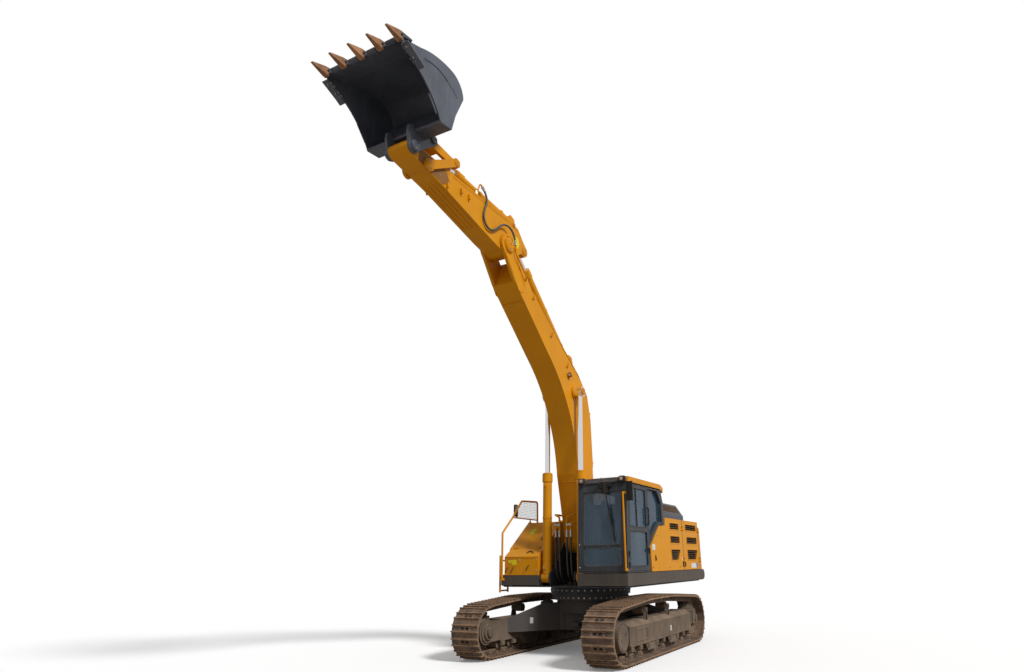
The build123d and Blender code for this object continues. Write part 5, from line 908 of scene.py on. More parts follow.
def on_tooth(forwards: float, y: float, out: float) -> np.ndarray:
    """A point of a tooth in the bucket's frame: forwards from the lip's edge, and outwards from its face."""
    ahead, outside = np.array([0.5168, -0.8561]), np.array([0.8561, 0.5168])
    x, z = np.array([1.470, 0.235]) + ahead * forwards + outside * out
    return np.array([x, y, z])


# -------------------------------------------------------------------------------------------- hoses


class Lay(Enum):
    """How a hose lies."""

    HANGING = "hanging"
    LOOSE = "loose"


@dataclass
class Hose:
    """A free hydraulic hose with a crimped fitting at each end."""

    node: str
    body: str
    route: np.ndarray
    lay: Lay
    finish: Finish
    diameter: float = 0.040
    crimp: float = 0.10

    def build(self) -> None:
        """Makes the hose a smooth curve through its route, and its fittings turned parts on its ends."""
        name = f"{self.node}_rubber"
        curve = bpy.data.curves.new(name, "CURVE")
        curve.dimensions = "3D"
        spline = curve.splines.new("NURBS")
        spline.points.add(len(self.route) - 1)
        spline.points.foreach_set("co", np.hstack([self.route, np.ones((len(self.route), 1))]).ravel())
        spline.order_u = 3
        spline.use_endpoint_u = True
        spline.resolution_u = 8
        curve.bevel_depth = self.diameter / 2
        curve.bevel_resolution = 4
        curve.use_fill_caps = True
        curve.materials.append(self.finish.material())
        hose = bpy.data.objects.new(name, curve)
        bpy.context.scene.collection.objects.link(hose)
        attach(hose, self.body)
        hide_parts(self.node)
        fittings = self.fittings()
        self.length()

    def length(self) -> float:
        """The length of the tube: its runs, each corner cut by its arc."""
        runs = np.linalg.norm(np.diff(self.route, axis=0), axis=1)
        ways = unit(np.diff(self.route, axis=0))
        turns = np.arccos(np.clip(np.sum(ways[1:] * ways[:-1], axis=1), -1, 1))
        cut = 0.45 * np.minimum(runs[1:], runs[:-1])
        return float(runs.sum() - (2 * cut - cut / np.tan(turns / 2) * turns).sum())

    def fittings(self) -> bpy.types.Object:
        """The crimped sleeves and their hexagons, turned about the hose's first and last runs."""
        r = self.diameter / 2
        sleeve = [(0.0, r * 0.9), (0.0, r + 0.006), (0.02, r + 0.007), (0.03, r + 0.003), (0.045, r + 0.007),
                  (0.06, r + 0.003), (0.075, r + 0.007), (self.crimp, r + 0.005),
                  (self.crimp + 0.004, r + 0.0005)]
        nut = [(0.0, r * 0.8), (0.0, r + 0.011), (0.022, r + 0.011), (0.022, r)]
        shape = Shape()
        for end, inner in (self.route[:2], self.route[:-3:-1]):
            shape.turned(sleeve, end, inner - end, 20).turned(nut, end, inner - end, 6)
        return shape.piece(f"{self.node}_rubber_fittings", ZINC, self.body)


@dataclass
class Hoses:
    """The four hoses in front of the boom's foot and the two over the stick's pivot."""

    fitting: tuple[float, float] = (1.040, 2.340)
    bay_front: float = 0.600
    bulkhead: float = 1.342
    gap: float = 0.0015

    def build(self) -> None:
        """Makes all six."""
        x, z = self.fitting
        for number, y in enumerate(HOSE_LANES, 1):
            route = spots((x, y, z - self.gap), (x + 0.03, y, z - 0.54), (x - 0.06, y, self.bulkhead - 0.010),
                          (self.bay_front + self.gap, y, self.bulkhead - 0.024))
            Hose(f"boom_hose_{number}", "upper", route, Lay.HANGING, RUBBER).build()
        for name, sign in SIDES:
            route = STICK.at(
                (0.9597, sign * 0.180, 0.7202), (0.790, sign * 0.235, 0.560), (0.890, sign * 0.236, 0.130),
                (0.760, sign * 0.237, -0.070), (0.520, sign * 0.240, -0.040), (0.240, sign * 0.265, 0.390),
                (-0.060, sign * 0.322, 0.330), (-0.1502, sign * 0.325, 0.081),
            )
            Hose(f"stick_hose_{name}", "stick", route, Lay.LOOSE, BRAID).build()


# ------------------------------------------------------------------------------------ undercarriage


@dataclass
class Undercarriage:
    """The bolts, slots, link plates, guards and plates of both tracks, and the slewing ring's bolts."""

    body: str = "carrier"
    gauge: float = 2.740
    wheel_x: float = 2.175
    loop_radius: float = 0.500
    plate_radius: float = 0.465
    top_run: float = 1.055
    carriers: tuple[float, float] = (0.700, -0.560)
    carrier_z: float = 0.849
    links: int = 48
    rail_side: float = 0.105
    roller_span: float = 3.300
    rollers: int = 9
    roller_z: float = 0.2555
    frame_half: float = 0.220
    cover_reach: float = 0.285
    case_reach: float = 0.150
    hub_reach: float = 0.190
    motor_reach: float = -0.1925

    def build(self) -> None:
        """Makes every piece of the undercarriage."""
        for name, sign in SIDES:
            self.shoes(name, sign)
            self.chain(name, sign)
            self.frame_side(name, sign)
            self.drive(name, sign)
        self.ring_bolts()
        self.body_plates()

    def joints(self) -> np.ndarray:
        """The joints between links, in X and Z: points spaced evenly along the loop round both wheels.

        Each round end is an arc of the plate's radius about the wheel, from straight below it to where
        a tangent leaves for the carrier roller.
        """
        corners = []
        for end, carrier in zip(BOTH, self.carriers):
            dx, dz = abs(carrier - end * self.wheel_x), self.top_run - self.loop_radius
            last = math.pi - math.atan2(dz, dx) - math.acos(self.plate_radius / math.hypot(dx, dz))
            turn = np.linspace(-math.pi / 2, last, math.ceil((math.degrees(last) + 90) / 2) + 1)
            half = np.stack([end * (self.wheel_x + self.plate_radius * np.cos(turn)),
                             self.loop_radius + self.plate_radius * np.sin(turn)], axis=1)
            half = np.vstack([half, [[carrier, self.top_run]]])
            corners.append(half if end > 0 else half[::-1])
        loop = np.vstack([*corners, corners[0][:1]])
        ways = np.concatenate([[0.0], np.cumsum(np.linalg.norm(np.diff(loop, axis=0), axis=1))])
        marks = np.arange(self.links) * ways[-1] / self.links
        return np.stack([np.interp(marks, ways, loop[:, 0]), np.interp(marks, ways, loop[:, 1])], axis=1)

    def frames(self, sign: float) -> tuple[np.ndarray, np.ndarray, float]:
        """Each link's place and frame: along it, across it, and out of the loop; and the links' pitch."""
        start = self.joints()
        run = np.roll(start, -1, axis=0) - start
        pitch = float(np.linalg.norm(run, axis=1).mean())
        run = unit(run)
        places = at(0, sign * self.gauge / 2, 0) + start[:, :1] * X + start[:, 1:] * Z
        along = run[:, :1] * X + run[:, 1:] * Z
        out = run[:, 1:] * X - run[:, :1] * Z
        return places, np.stack([along, np.broadcast_to(-Y, along.shape), out], axis=2), pitch

    def shoes(self, name: str, sign: float) -> None:
        """Four bolts and two mud slots on each shoe's plate, between its bars; the slots are thin dark
        plates, painted shade for the holes.
        """
        places, turns, pitch = self.frames(sign)
        slots, bolts = Shape(), Shape()
        for across in (-0.050, 0.050):
            centre = np.array([0.395 * pitch, across, 0.0])
            # Each slot is a thin dark plate on the shoe: painted shade where its hole would be.
            slot = Shape().box(centre - (0.020, 0.027, 0.002), centre + (0.020, 0.027, 0.0012))
            slots.copies(slot, places, turns)
            for along in (0.29, 0.50):
                heads = turns @ (along * pitch, across * 2.35, 0.0) + places
                bolts.bolts(heads, turns[:, :, 2], 0.013, 0.010)
        slots.piece(f"track_slots_{name}", PAINTED_SHADE, self.body)
        bolts.piece(f"track_bolts_{name}", RUSTY, self.body)

    def chain(self, name: str, sign: float) -> None:
        """The cranked side plates of the links and the ends of their pins, on both rails' outer sides."""
        places, turns, pitch = self.frames(sign)
        link = [(-0.030, -0.036), (-0.036, -0.072), (-0.012, -0.098), (0.62 * pitch, -0.100),
                (0.80 * pitch, -0.090), (0.845 * pitch, -0.060), (0.80 * pitch, -0.030)]
        pin = ring(10) * 0.022 - (0.0, 0.066)
        for piece, flat, depth, finish in (("links", link, 0.009, CHAIN), ("pins", pin, 0.019, RUSTY)):
            shape = Shape()
            for side in BOTH:
                link = Shape().slab(flat, Y * side * self.rail_side, X, Z, Y * side * depth)
                shape.copies(link, places, turns)
            shape.piece(f"track_{piece}_{name}", finish, self.body)

    def frame_side(self, name: str, sign: float) -> None:
        """The track frame's outer side: ledge, panel, roller caps, brackets and the tensioner's ribs, with
        dark plates as painted shade in a hole and the brackets' openings.
        """
        face, out = sign * (self.gauge / 2 + self.frame_half), Y * sign
        steel, dark, bolts = Shape(), Shape(), Shape()
        steel.box(at(-1.80, face, 0.296), at(1.74, face, 0.322) + out * 0.022)
        steel.rim(laid(rectangle(0.86, 0.365, 1.40, 0.560), at(0, face, 0), X, Z), out, 0.022, 0.010)
        # A dark disc in a raised ring: painted shade for the grease hole.
        hole = at(-0.66, face, 0.47)
        dark.turned([(0.0, 0.048), (0.004, 0.048), (0.004, 0.036)], hole, out, 20)
        steel.turned([(0.0, 0.062), (0.010, 0.062), (0.010, 0.048)], hole, out, 24)
        for side in BOTH:
            wall, cap = sign * self.gauge / 2 + side * self.frame_half, Y * side * 0.016
            for x in np.linspace(self.roller_span / 2, -self.roller_span / 2, self.rollers):
                place = at(x, wall, self.roller_z)
                steel.box(place + (-0.058, 0, -0.040), place + (0.058, 0, 0.034) + cap)
                bolts.bolts([place + X * d + cap for d in (-0.036, 0.036)], Y * side, 0.012)
        for x in self.carriers:
            outer = sign * (self.gauge / 2 + 0.146)
            # A thin dark plate on each carrier's bracket: painted shade for its opening.
            bracket = [(-0.050, 0.650), (0.050, 0.650), (0.022, 0.790), (-0.022, 0.790)]
            dark.slab(bracket, at(x, outer, 0), X, Z, out * 0.003)
            cap = [(0.0, 0.050), (0.016, 0.050), (0.022, 0.040), (0.022, 0.018), (0.030, 0.018), (0.030, 0.0)]
            steel.turned(cap, at(x, outer, self.carrier_z), out, 20)
        tail = sign * (self.gauge / 2 + 0.190)
        for x, high in ((-1.86, 0.668), (-2.02, 0.668), (-2.26, 0.548)):
            steel.box(at(x - 0.022, tail, 0.415), at(x + 0.022, tail, high) + out * 0.028)
        bolts.bolts([at(x, tail, z) for x in (-1.94, -2.14) for z in (0.45, 0.55)], out, 0.016)
        label = Shape().slab(tile(0.064, 0.100), at(-0.47, face, 0.43), X, Z, out * 0.003)
        steel.piece(f"track_frame_plates_{name}", FRAME_STEEL, self.body)
        dark.piece(f"track_frame_hole_shade_{name}", PAINTED_SHADE, self.body)
        bolts.piece(f"track_frame_bolts_{name}", FRAME_STEEL, self.body)
        label.piece(f"track_frame_label_{name}", WHITE, self.body)

    def drive(self, name: str, sign: float) -> None:
        """Rings of bolts on the final drive's cover and case, its two plugs, and the motor's steps."""
        out = Y * sign
        wheel = at(self.wheel_x, sign * self.gauge / 2, self.loop_radius)
        reaches = (self.cover_reach, self.case_reach, self.motor_reach)
        cover, case, motor = (wheel + out * reach for reach in reaches)
        hub = at(-self.wheel_x, sign * (self.gauge / 2 + self.hub_reach), self.loop_radius)
        steel, bolts = Shape(), Shape()
        steel.turned([(0.0, 0.205), (0.006, 0.200), (0.006, 0.0)], cover, out, 48)
        bolts.bolts(circle(cover, 0.222, 32, out), out, 0.0085, 0.009)
        bolts.bolts(circle(cover + out * 0.006, 0.10, 2, out, 0.4), out, 0.016, 0.006)
        bolts.bolts(circle(case, 0.268, 28, out), out, 0.012, 0.012)
        steel.turned([(0.0, 0.185), (0.018, 0.185), (0.018, 0.150), (0.070, 0.140), (0.070, 0.095),
                      (0.110, 0.090), (0.118, 0.070), (0.118, 0.0)], motor, -out, 36)
        bolts.bolts(circle(motor - out * 0.018, 0.168, 16, out), -out, 0.011)
        steel.turned([(0.0, 0.070), (0.010, 0.070), (0.016, 0.058), (0.016, 0.0)], hub, out, 28)
        steel.piece(f"final_drive_cover_{name}", FRAME_STEEL, self.body)
        bolts.piece(f"final_drive_bolts_{name}", DRIVE_BOLT, self.body)

    def ring_bolts(self) -> None:
        """The pale heads of the slewing ring's bolts, one row below and one above its joint."""
        rows = (("lower", "carrier", 0.810, 1.045, 44), ("upper", "upper", 0.850, 1.190, 40))
        for name, body, radius, z, count in rows:
            places = circle(at(0, 0, z), radius, count, Z)
            Shape().bolts(places, places - at(0, 0, z), 0.013, 0.012).piece(f"slew_bolts_{name}", ZINC, body)

    def body_plates(self) -> None:
        """Weld lines where the car body's legs meet its middle, and a blank label on a front leg."""
        weld = Shape()
        for x in (0.645, -0.645):
            for y in (0.32, -0.32):
                weld.tube(spots((x, y, 0.45), (x, y, 0.92)), 0.007, 8, up=(1, 0, 0.01))
        weld.piece("car_body_welds", FRAME_STEEL, self.body)
        foot, tip = np.array([0.62, -0.42, 0.63]), np.array([1.48, -1.15, 0.63])
        way = unit(tip - foot)
        label = Shape().slab(tile(0.070, 0.110), at(*(foot + way * 0.62)), way, Z, np.cross(Z, way) * 0.004)
        label.piece("car_body_label", WHITE, self.body)


# ------------------------------------------------------------------------------------------- house

Opening = tuple[float, float, float, float, float, float]


@dataclass
class House:
    """Grilles, latches, plates, seams and caps of the upper structure behind and beside the cab."""

    side: float = 1.500
    slat_pitch: float = 0.048
    # the rear and front ends of each louvre's top edge, then of its foot, and the heights of foot and top
    front_louvres: tuple[Opening, ...] = (
        (-1.660, -1.030, -1.670, -1.030, 2.405, 2.560),
        (-1.700, -1.035, -1.690, -1.050, 2.110, 2.275),
        (-1.735, -1.050, -1.520, -1.080, 1.745, 1.990),
    )
    rear_louvres: tuple[Opening, ...] = (
        (-2.980, -2.160, -3.010, -2.150, 2.415, 2.570),
        (-3.020, -2.205, -3.005, -2.190, 2.110, 2.280),
        (-3.040, -2.210, -2.870, -2.240, 1.750, 1.990),
    )
    hood_x: tuple[float, float] = (-3.080, -1.380)
    hood_y: tuple[float, float] = (-1.080, 1.180)
    hood_z: tuple[float, float] = (2.805, 3.070)
    tail: float = -3.700

    def build(self) -> None:
        """Makes every piece of the house."""
        self.grilles("left_front_door", 1.0, self.front_louvres)
        self.grilles("left_rear_door", 1.0, self.rear_louvres)
        self.grilles("right_door", -1.0, self.rear_louvres)
        self.latches()
        self.bay()
        self.hood()
        self.skirts()
        self.counterweight()

    def grilles(self, body: str, sign: float, table: Sequence[Opening]) -> None:
        """A raised rim round each louvre, and dark slats and bars in it, cut to its slanted sides."""
        rims, slats, out = Shape(), Shape(), Y * sign
        for top_rear, top_front, foot_rear, foot_front, foot, top in table:
            outline = [(foot_rear, foot), (foot_front, foot), (top_front, top), (top_rear, top)]
            rims.rim(laid(rounded(outline, 0.03), at(0, sign * self.side, 0), X, Z), out, 0.026, 0.007)
            count = round((top - foot) / self.slat_pitch) - 1
            for share in np.arange(1, count + 1) / (count + 1):
                z = foot + (top - foot) * share
                rear = foot_rear + (top_rear - foot_rear) * share
                nose = foot_front + (top_front - foot_front) * share
                slats.box(at(rear - 0.004, sign * (self.side - 0.008), z - 0.0065),
                          at(nose + 0.004, sign * (self.side - 0.038), z + 0.0065))
            for share in (0.25, 0.5, 0.75):
                low = foot_rear + (foot_front - foot_rear) * share
                high = top_rear + (top_front - top_rear) * share
                upright = [(low - 0.007, foot), (low + 0.007, foot), (high + 0.007, top), (high - 0.007, top)]
                slats.slab(upright, at(0, sign * (self.side - 0.020), 0), X, Z, out * 0.004)
        rims.piece(f"{body}_rims", AMBER, body)
        slats.piece(f"{body}_slats", GRILLE, body)

    def latches(self) -> None:
        """Paddle latches and lock plates, blank plates, the front door's crease, and the hinges' bolts."""
        oval = tile(0.044, 0.120, 0.020)
        places = (("left_front_door", 1.0, -0.050, 1.800), ("left_front_door", 1.0, -1.850, 1.660),
                  ("left_rear_door", 1.0, -2.000, 1.660), ("right_door", -1.0, -1.400, 1.900))
        for number, (body, sign, x, z) in enumerate(places):
            place, out = at(x, sign * self.side, z), Y * sign
            shape = Shape().pad(oval, place, out, [(0, 0), (0.007, 0), (0.010, 0.004)])
            paddle = place + out * 0.010 - Z * 0.012
            shape.pad(oval * 0.55, paddle, out, [(0, 0), (0.008, 0.001), (0.011, 0.005)])
            shape.piece(f"latch_{number}", PLASTIC, body)
        plates = (("front", "left_front_door", WHITE, 0.035, 2.020, 0.165, 0.115),
                  ("rear", "left_rear_door", WHITE, -2.660, 1.625, 0.400, 0.105),
                  ("end", "left_rear_door", BLUE_SIGN, -2.915, 1.635, 0.085, 0.105),
                  ("seam", "left_front_door", WHITE, -1.800, 1.780, 0.035, 0.070))
        for name, body, finish, x, z, width, height in plates:
            plate = Shape().pad(tile(width, height, 0.008), at(x, self.side, z), Y, [(0, 0), (0.003, 0)])
            plate.piece(f"door_plate_{name}", finish, body)
        body, y = "left_front_door", self.side
        fold = spots((-0.285, y, 1.560), (-0.300, y, 1.780), (-0.985, y, 2.300), (-1.000, y, 2.640))
        Shape().carried(bar(0.018, -0.001, 0.004, 0.009), fold, up=Y).piece(f"{body}_crease", AMBER, body)
        places = spots((-0.20, y, 2.25), (-0.62, y, 2.52), (0.10, y, 1.62), (-0.90, y, 1.60),
                       (-1.60, y, 1.60))
        Shape().bolts(places, Y, 0.010).piece(f"{body}_bolts", PLASTIC, body)

    def bay(self) -> None:
        """Unions where the hoses meet the bulkhead, a clamp over the foot pipes, and the swivel's ports."""
        steel, dark = Shape(), Shape()
        union = [(-0.110, 0.0206), (-0.110, 0.028), (-0.060, 0.028), (-0.060, 0.0206)]
        nut = [(0.0, 0.030), (0.014, 0.030), (0.018, 0.024)]
        steel.turned(nut, [at(0.600, y, 1.318) for y in HOSE_LANES], X, 6)
        steel.turned(union, [at(1.040, y, 2.440) for y in HOSE_LANES], Z, 6)
        for low, high in ((-0.280, -0.150), (-0.015, 0.105)):
            steel.box(at(1.016, low, 2.470), at(1.064, high, 2.505))
            steel.bolts(at(1.040, (low + high) / 2, 2.505), Z, 0.012)
        port = [(0.0, 0.045), (0.020, 0.045), (0.024, 0.030), (0.090, 0.028), (0.094, 0.020)]
        dark.turned(port, spots((0.600, -0.42, 1.22), (0.600, -0.30, 1.20), (0.600, 0.22, 1.22)), X, 18)
        steel.piece("bay_unions", ZINC)
        dark.piece("bay_ports", PLASTIC)

    def mesh_frame(self, sign: float) -> tuple[np.ndarray, np.ndarray]:
        """The corners of the mesh on one of the hood's sloped sides, and the slope's outward way."""
        foot = at(0.0, self.hood_y[1] if sign > 0 else self.hood_y[0], self.hood_z[0])
        up = unit(np.array([0.0, -sign * 0.130, self.hood_z[1] - self.hood_z[0]]))
        rear, nose = self.hood_x[0] + 0.20, self.hood_x[1] - 0.17
        places = ((rear, 0.045), (nose, 0.045), (nose - 0.06, 0.255), (rear + 0.06, 0.255))
        out = np.array([0.0, sign * up[2], -sign * up[1]])
        return np.array([foot + X * x + up * d for x, d in places]), out

    def hood(self) -> None:
        """A framed mesh over a dark sheet of painted shade on each sloped side, ribs on the top, a handle,
        and the exhaust's end.
        """
        body = "engine_hood"
        for name, sign in SIDES:
            corners, out = self.mesh_frame(sign)
            Shape().rim(corners, out, 0.030, 0.010).piece(f"hood_mesh_frame_{name}", HOOD_GREY, body)
            # A dark sheet inside the frame, under the wires: painted shade for the bay behind the mesh.
            mesh = Shape().put(corners + out * 0.002, [[0, 1, 2, 3] if sign < 0 else [3, 2, 1, 0]])
            rear, nose = corners[0][0], corners[1][0]
            wire = bar(0.0035, 0.001, 0.0035, 0.006)
            for x in np.arange(rear + 0.03, nose - 0.06, 0.034):
                for start, end in ((x, x + 0.11), (x + 0.11, x)):
                    if max(start, end) < nose - 0.05:
                        mesh.carried(wire, [(start, *corners[0][1:]), (end, *corners[3][1:])], up=out)
            mesh.piece(f"hood_mesh_{name}", GRILLE, body)
        ribs, rib = Shape(), bar(0.035, -0.002, 0.022, 0.012)
        nose, top = self.hood_x[1], self.hood_z[1]
        for y in (-0.62, -0.20, 0.30, 0.72):
            ribs.carried(rib, spots((self.hood_x[0] + 0.30, y, top), (nose - 0.20, y, top)))
        for y, high in ((0.95, 0.91), (-0.85, -0.81)):
            line = spots((nose + 0.001, y, 2.70), (nose - 0.060, high, 2.95))
            ribs.carried(rib * 0.7, line, up=(1, 0, 0.3))
        ribs.piece("hood_ribs", HOOD_GREY, body)
        grip = spots((nose - 0.02, 0.10, 2.74), (nose + 0.035, 0.10, 2.745), (nose + 0.035, -0.10, 2.745),
                     (nose - 0.02, -0.10, 2.74))
        Shape().tube(grip, 0.008, 10, up=(0.1, 0.05, 1)).piece("hood_handle", PLASTIC, body)
        pipe = [(0.0, 0.105), (0.012, 0.105), (0.012, 0.070), (0.17, 0.070), (0.18, 0.074), (0.18, 0.062),
                (0.03, 0.058), (0.03, 0.0)]
        Shape().turned(pipe, at(-2.45, -0.72, top), Z, 32).piece("exhaust_end", EXHAUST, body)

    def skirts(self) -> None:
        """Small red paint dots in pairs along the skirts, and a rolled lip along their lower edges."""
        dots = Shape()
        for sign in BOTH:
            for x in (0.90, -0.20, -0.46, -1.70, -1.95, -3.00):
                pair = [at(x, sign * self.side, z) for z in (1.375, 1.460)]
                dots.turned([(0.0, 0.009), (0.002, 0.009), (0.003, 0.0)], pair, Y * sign, 10)
        dots.piece("skirt_dots", RED)
        for name, sign, nose in (("left", 1.0, 1.480), ("right", -1.0, 1.180)):
            y = sign * (self.side - 0.025)
            section = circle((0, 0, 0), 0.016, 12, Z)[:, :2] * (1.5, 1.0)
            lip = Shape().carried(section, spots((nose, y, 1.305), (-3.380, y, 1.305)))
            lip.piece(f"skirt_lip_{name}", GREY)

    def counterweight(self) -> None:
        """Caps over the lifting sockets, a blank plate, reflectors and a rear camera."""
        caps, bolts = Shape(), Shape()
        for y in (-0.70, 0.70):
            cap = at(-3.40, y, 2.620)
            caps.turned([(0.0, 0.110), (0.010, 0.110), (0.016, 0.100), (0.016, 0.0)], cap, Z, 32)
            bolts.bolts(circle(cap + Z * 0.016, 0.080, 4, Z, 0.78), Z, 0.012)
        caps.piece("counterweight_caps", AMBER_CAST)
        bolts.piece("counterweight_bolts", ZINC)
        plates = (("plate", WHITE, 0.80, 2.28, 0.42, 0.14), ("reflector_left", RED, 1.05, 1.70, 0.16, 0.05),
                  ("reflector_right", RED, -1.05, 1.70, 0.16, 0.05))
        for name, finish, y, z, width, height in plates:
            angle = math.asin(y / -self.tail)
            out = np.array([-math.cos(angle), math.sin(angle), 0.0])
            drop = width**2 / 8 / -self.tail  # how far the round casting falls away behind a flat plate
            place = at(self.tail * math.cos(angle) - 0.001, y, z) - out * (drop + 0.002)
            plate = Shape().pad(tile(width, height, 0.01), place, out, [(0, 0), (drop + 0.006, 0)])
            plate.piece(f"counterweight_{name}", finish)
        up, back = (0.25, 0, 0.97), (-0.97, 0, 0.25)
        layers = [(0, 0.0), (0.045, 0.004), (0.050, 0.010)]
        eye = Shape().pad(tile(0.090, 0.070, 0.012), at(-3.605, 0.0, 2.600), back, layers, up)
        glass = [(0.0, 0.022), (0.010, 0.022), (0.010, 0.015), (0.004, 0.0)]
        eye.turned(glass, at(-3.652, 0.0, 2.612), back, 20)
        eye.piece("rear_camera", PLASTIC)


@dataclass
class RightSide:
    """The tanks' caps, bolts and plates, the tool box's handle and plates, and the rails' mesh and feet."""

    slope: Slope = Slope((0.925, 2.030), (0.150, 2.610))
    lid: Slope = Slope((1.200, 1.850), (0.930, 2.020))
    box_front: float = 1.200
    outer: float = -1.470
    rail_y: float = -1.450
    deck: float = 2.610

    def build(self) -> None:
        """Makes every piece of the right-hand side."""
        self.tank()
        self.box()
        self.rails()

    def tank(self) -> None:
        """Two filler caps, a seam between the tanks, bolts, a blank plate and the side's door lines."""
        steel, slope, ahead = Shape(), self.slope, (0.6, 0, 0.8)
        cap = [(0.0, 0.085), (0.018, 0.085), (0.022, 0.070), (0.050, 0.068), (0.058, 0.060), (0.058, 0.0)]
        steel.turned(cap, spots((-0.35, -0.85, self.deck), (-0.95, -1.20, self.deck)), Z, 32)
        seam, y = bar(0.010, -0.002, 0.006, 0.006), -1.035
        steel.carried(seam, [slope.at(0.02, y), slope.at(0.96, y)], up=ahead)
        steel.carried(seam, spots((0.14, y, self.deck), (-1.29, y, self.deck)))
        flat, place = tile(0.110, 0.20, 0.008), slope.at(0.62, -1.17)
        plate = Shape().pad(flat, place, slope.out, [(0, 0), (0.003, 0)], slope.up)
        plate.piece("tank_plate", LIME_SIGN)
        for x0, x1 in ((-1.26, -0.56), (-0.48, 0.10)):
            door = laid(rectangle(x0, 1.62, x1, 2.50, 0.03), at(0, self.outer, 0), X, Z)
            steel.rim(door, -Y, 0.012, 0.006)
        steel.piece("tank_seams", AMBER)
        places = [slope.at(along, y) for along in (0.10, 0.86) for y in (-1.40, -1.10, -0.97, -0.68)]
        Shape().bolts(places, ahead, 0.013).piece("tank_bolts", ZINC)
        bends = ((0.30, 0.0), (0.30, 0.04), (0.52, 0.04), (0.52, 0.0))
        grip = [slope.at(along, -0.80, lift) for along, lift in bends]
        Shape().tube(grip, 0.008, 10, up=(0, 1, 0.05)).piece("tank_handle", PLASTIC)

    def box(self) -> None:
        """The lid's looped handle, the front's blank plates and bars, and the base's rim."""
        x, lid = self.box_front, self.lid
        loop = []
        for a in np.linspace(0, math.pi, 13):
            rise = math.sin(a)
            loop.append(lid.at(0.11 + 0.070 * rise, -0.86 - 0.085 * math.cos(a), 0.004 + 0.030 * rise))
        Shape().tube(loop, 0.010, 10, up=lid.out + Y * 0.01).piece("tool_box_handle", PLASTIC, "tool_box_lid")
        edges, bars, plates = Shape(), Shape(), Shape()
        for y in (-1.405, -0.620):
            edges.tube([lid.at(0.02, y), lid.at(0.30, y)], 0.006, 8)
        edges.piece("tool_box_lid_edges", AMBER, "tool_box_lid")
        for y, z, width, height in ((-1.285, 1.770, 0.080, 0.060), (-1.185, 1.755, 0.110, 0.100)):
            plates.pad(tile(width, height, 0.008), at(x, y, z), X, [(0, 0), (0.004, 0)])
        plates.piece("tool_box_plates", YELLOW_SIGN)
        bow = np.array([(0, 0, 0), (0.022, 0, -0.012), (0.022, -0.045, -0.095), (0, -0.050, -0.105)])
        for y, z in ((-1.34, 1.66), (-1.20, 1.66), (-0.83, 1.70)):
            bars.tube(bow + at(x, y, z), 0.007, 8, up=(0, 1, 0.1))
        bars.piece("tool_box_bars", PLASTIC)
        bolts = Shape().bolts([at(x, y, z) for y in (-1.38, -0.645) for z in (1.60, 1.81)], X, 0.010)
        bolts.bolts(at(x, -1.05, 1.80), X, 0.014).piece("tool_box_bolts", ZINC)
        seam = laid(rectangle(-1.412, 1.512, -0.613, 1.838), at(x, 0, 0), Y, Z)
        Shape().rim(seam, X, 0.010, 0.005).piece("tool_box_seam", AMBER)

    def rails(self) -> None:
        """A wire mesh in the guard over the tank, feet under the posts, and the steps' treads."""
        mesh, feet, treads = Shape(), Shape(), Shape()
        y, wire = self.rail_y, bar(0.002, -0.002, 0.002, 0.002)
        for x in np.arange(-0.20, 0.84, 0.035):
            high = 3.10 if x < 0.47 else 3.55 - x
            mesh.carried(wire, spots((x, y, 2.695), (x, y, high - 0.01)), up=Y)
        for z in np.arange(2.725, 3.08, 0.035):
            mesh.carried(wire, spots((-0.225, y, z), (3.54 - z, y, z)), up=Y)
        mesh.piece("guard_mesh", GRILLE)
        posts = (-0.235, 0.100)
        foot = [(0.0, 0.045), (0.008, 0.045), (0.012, 0.026), (0.030, 0.024)]
        feet.turned(foot, [at(x, y, self.deck) for x in posts], Z, 20)
        feet.bolts([at(x + d, y, self.deck + 0.008) for x in posts for d in (-0.034, 0.034)], Z, 0.006)
        feet.piece("rail_feet", AMBER)
        for z in (1.205, 1.505, 1.805):
            for x in np.arange(0.905, 1.15, 0.030):
                treads.box(at(x, -1.558, z - 0.001), at(x + 0.012, -1.522, z + 0.005))
        treads.piece("step_treads", ZINC)


# --------------------------------------------------------------------------------------------- cab


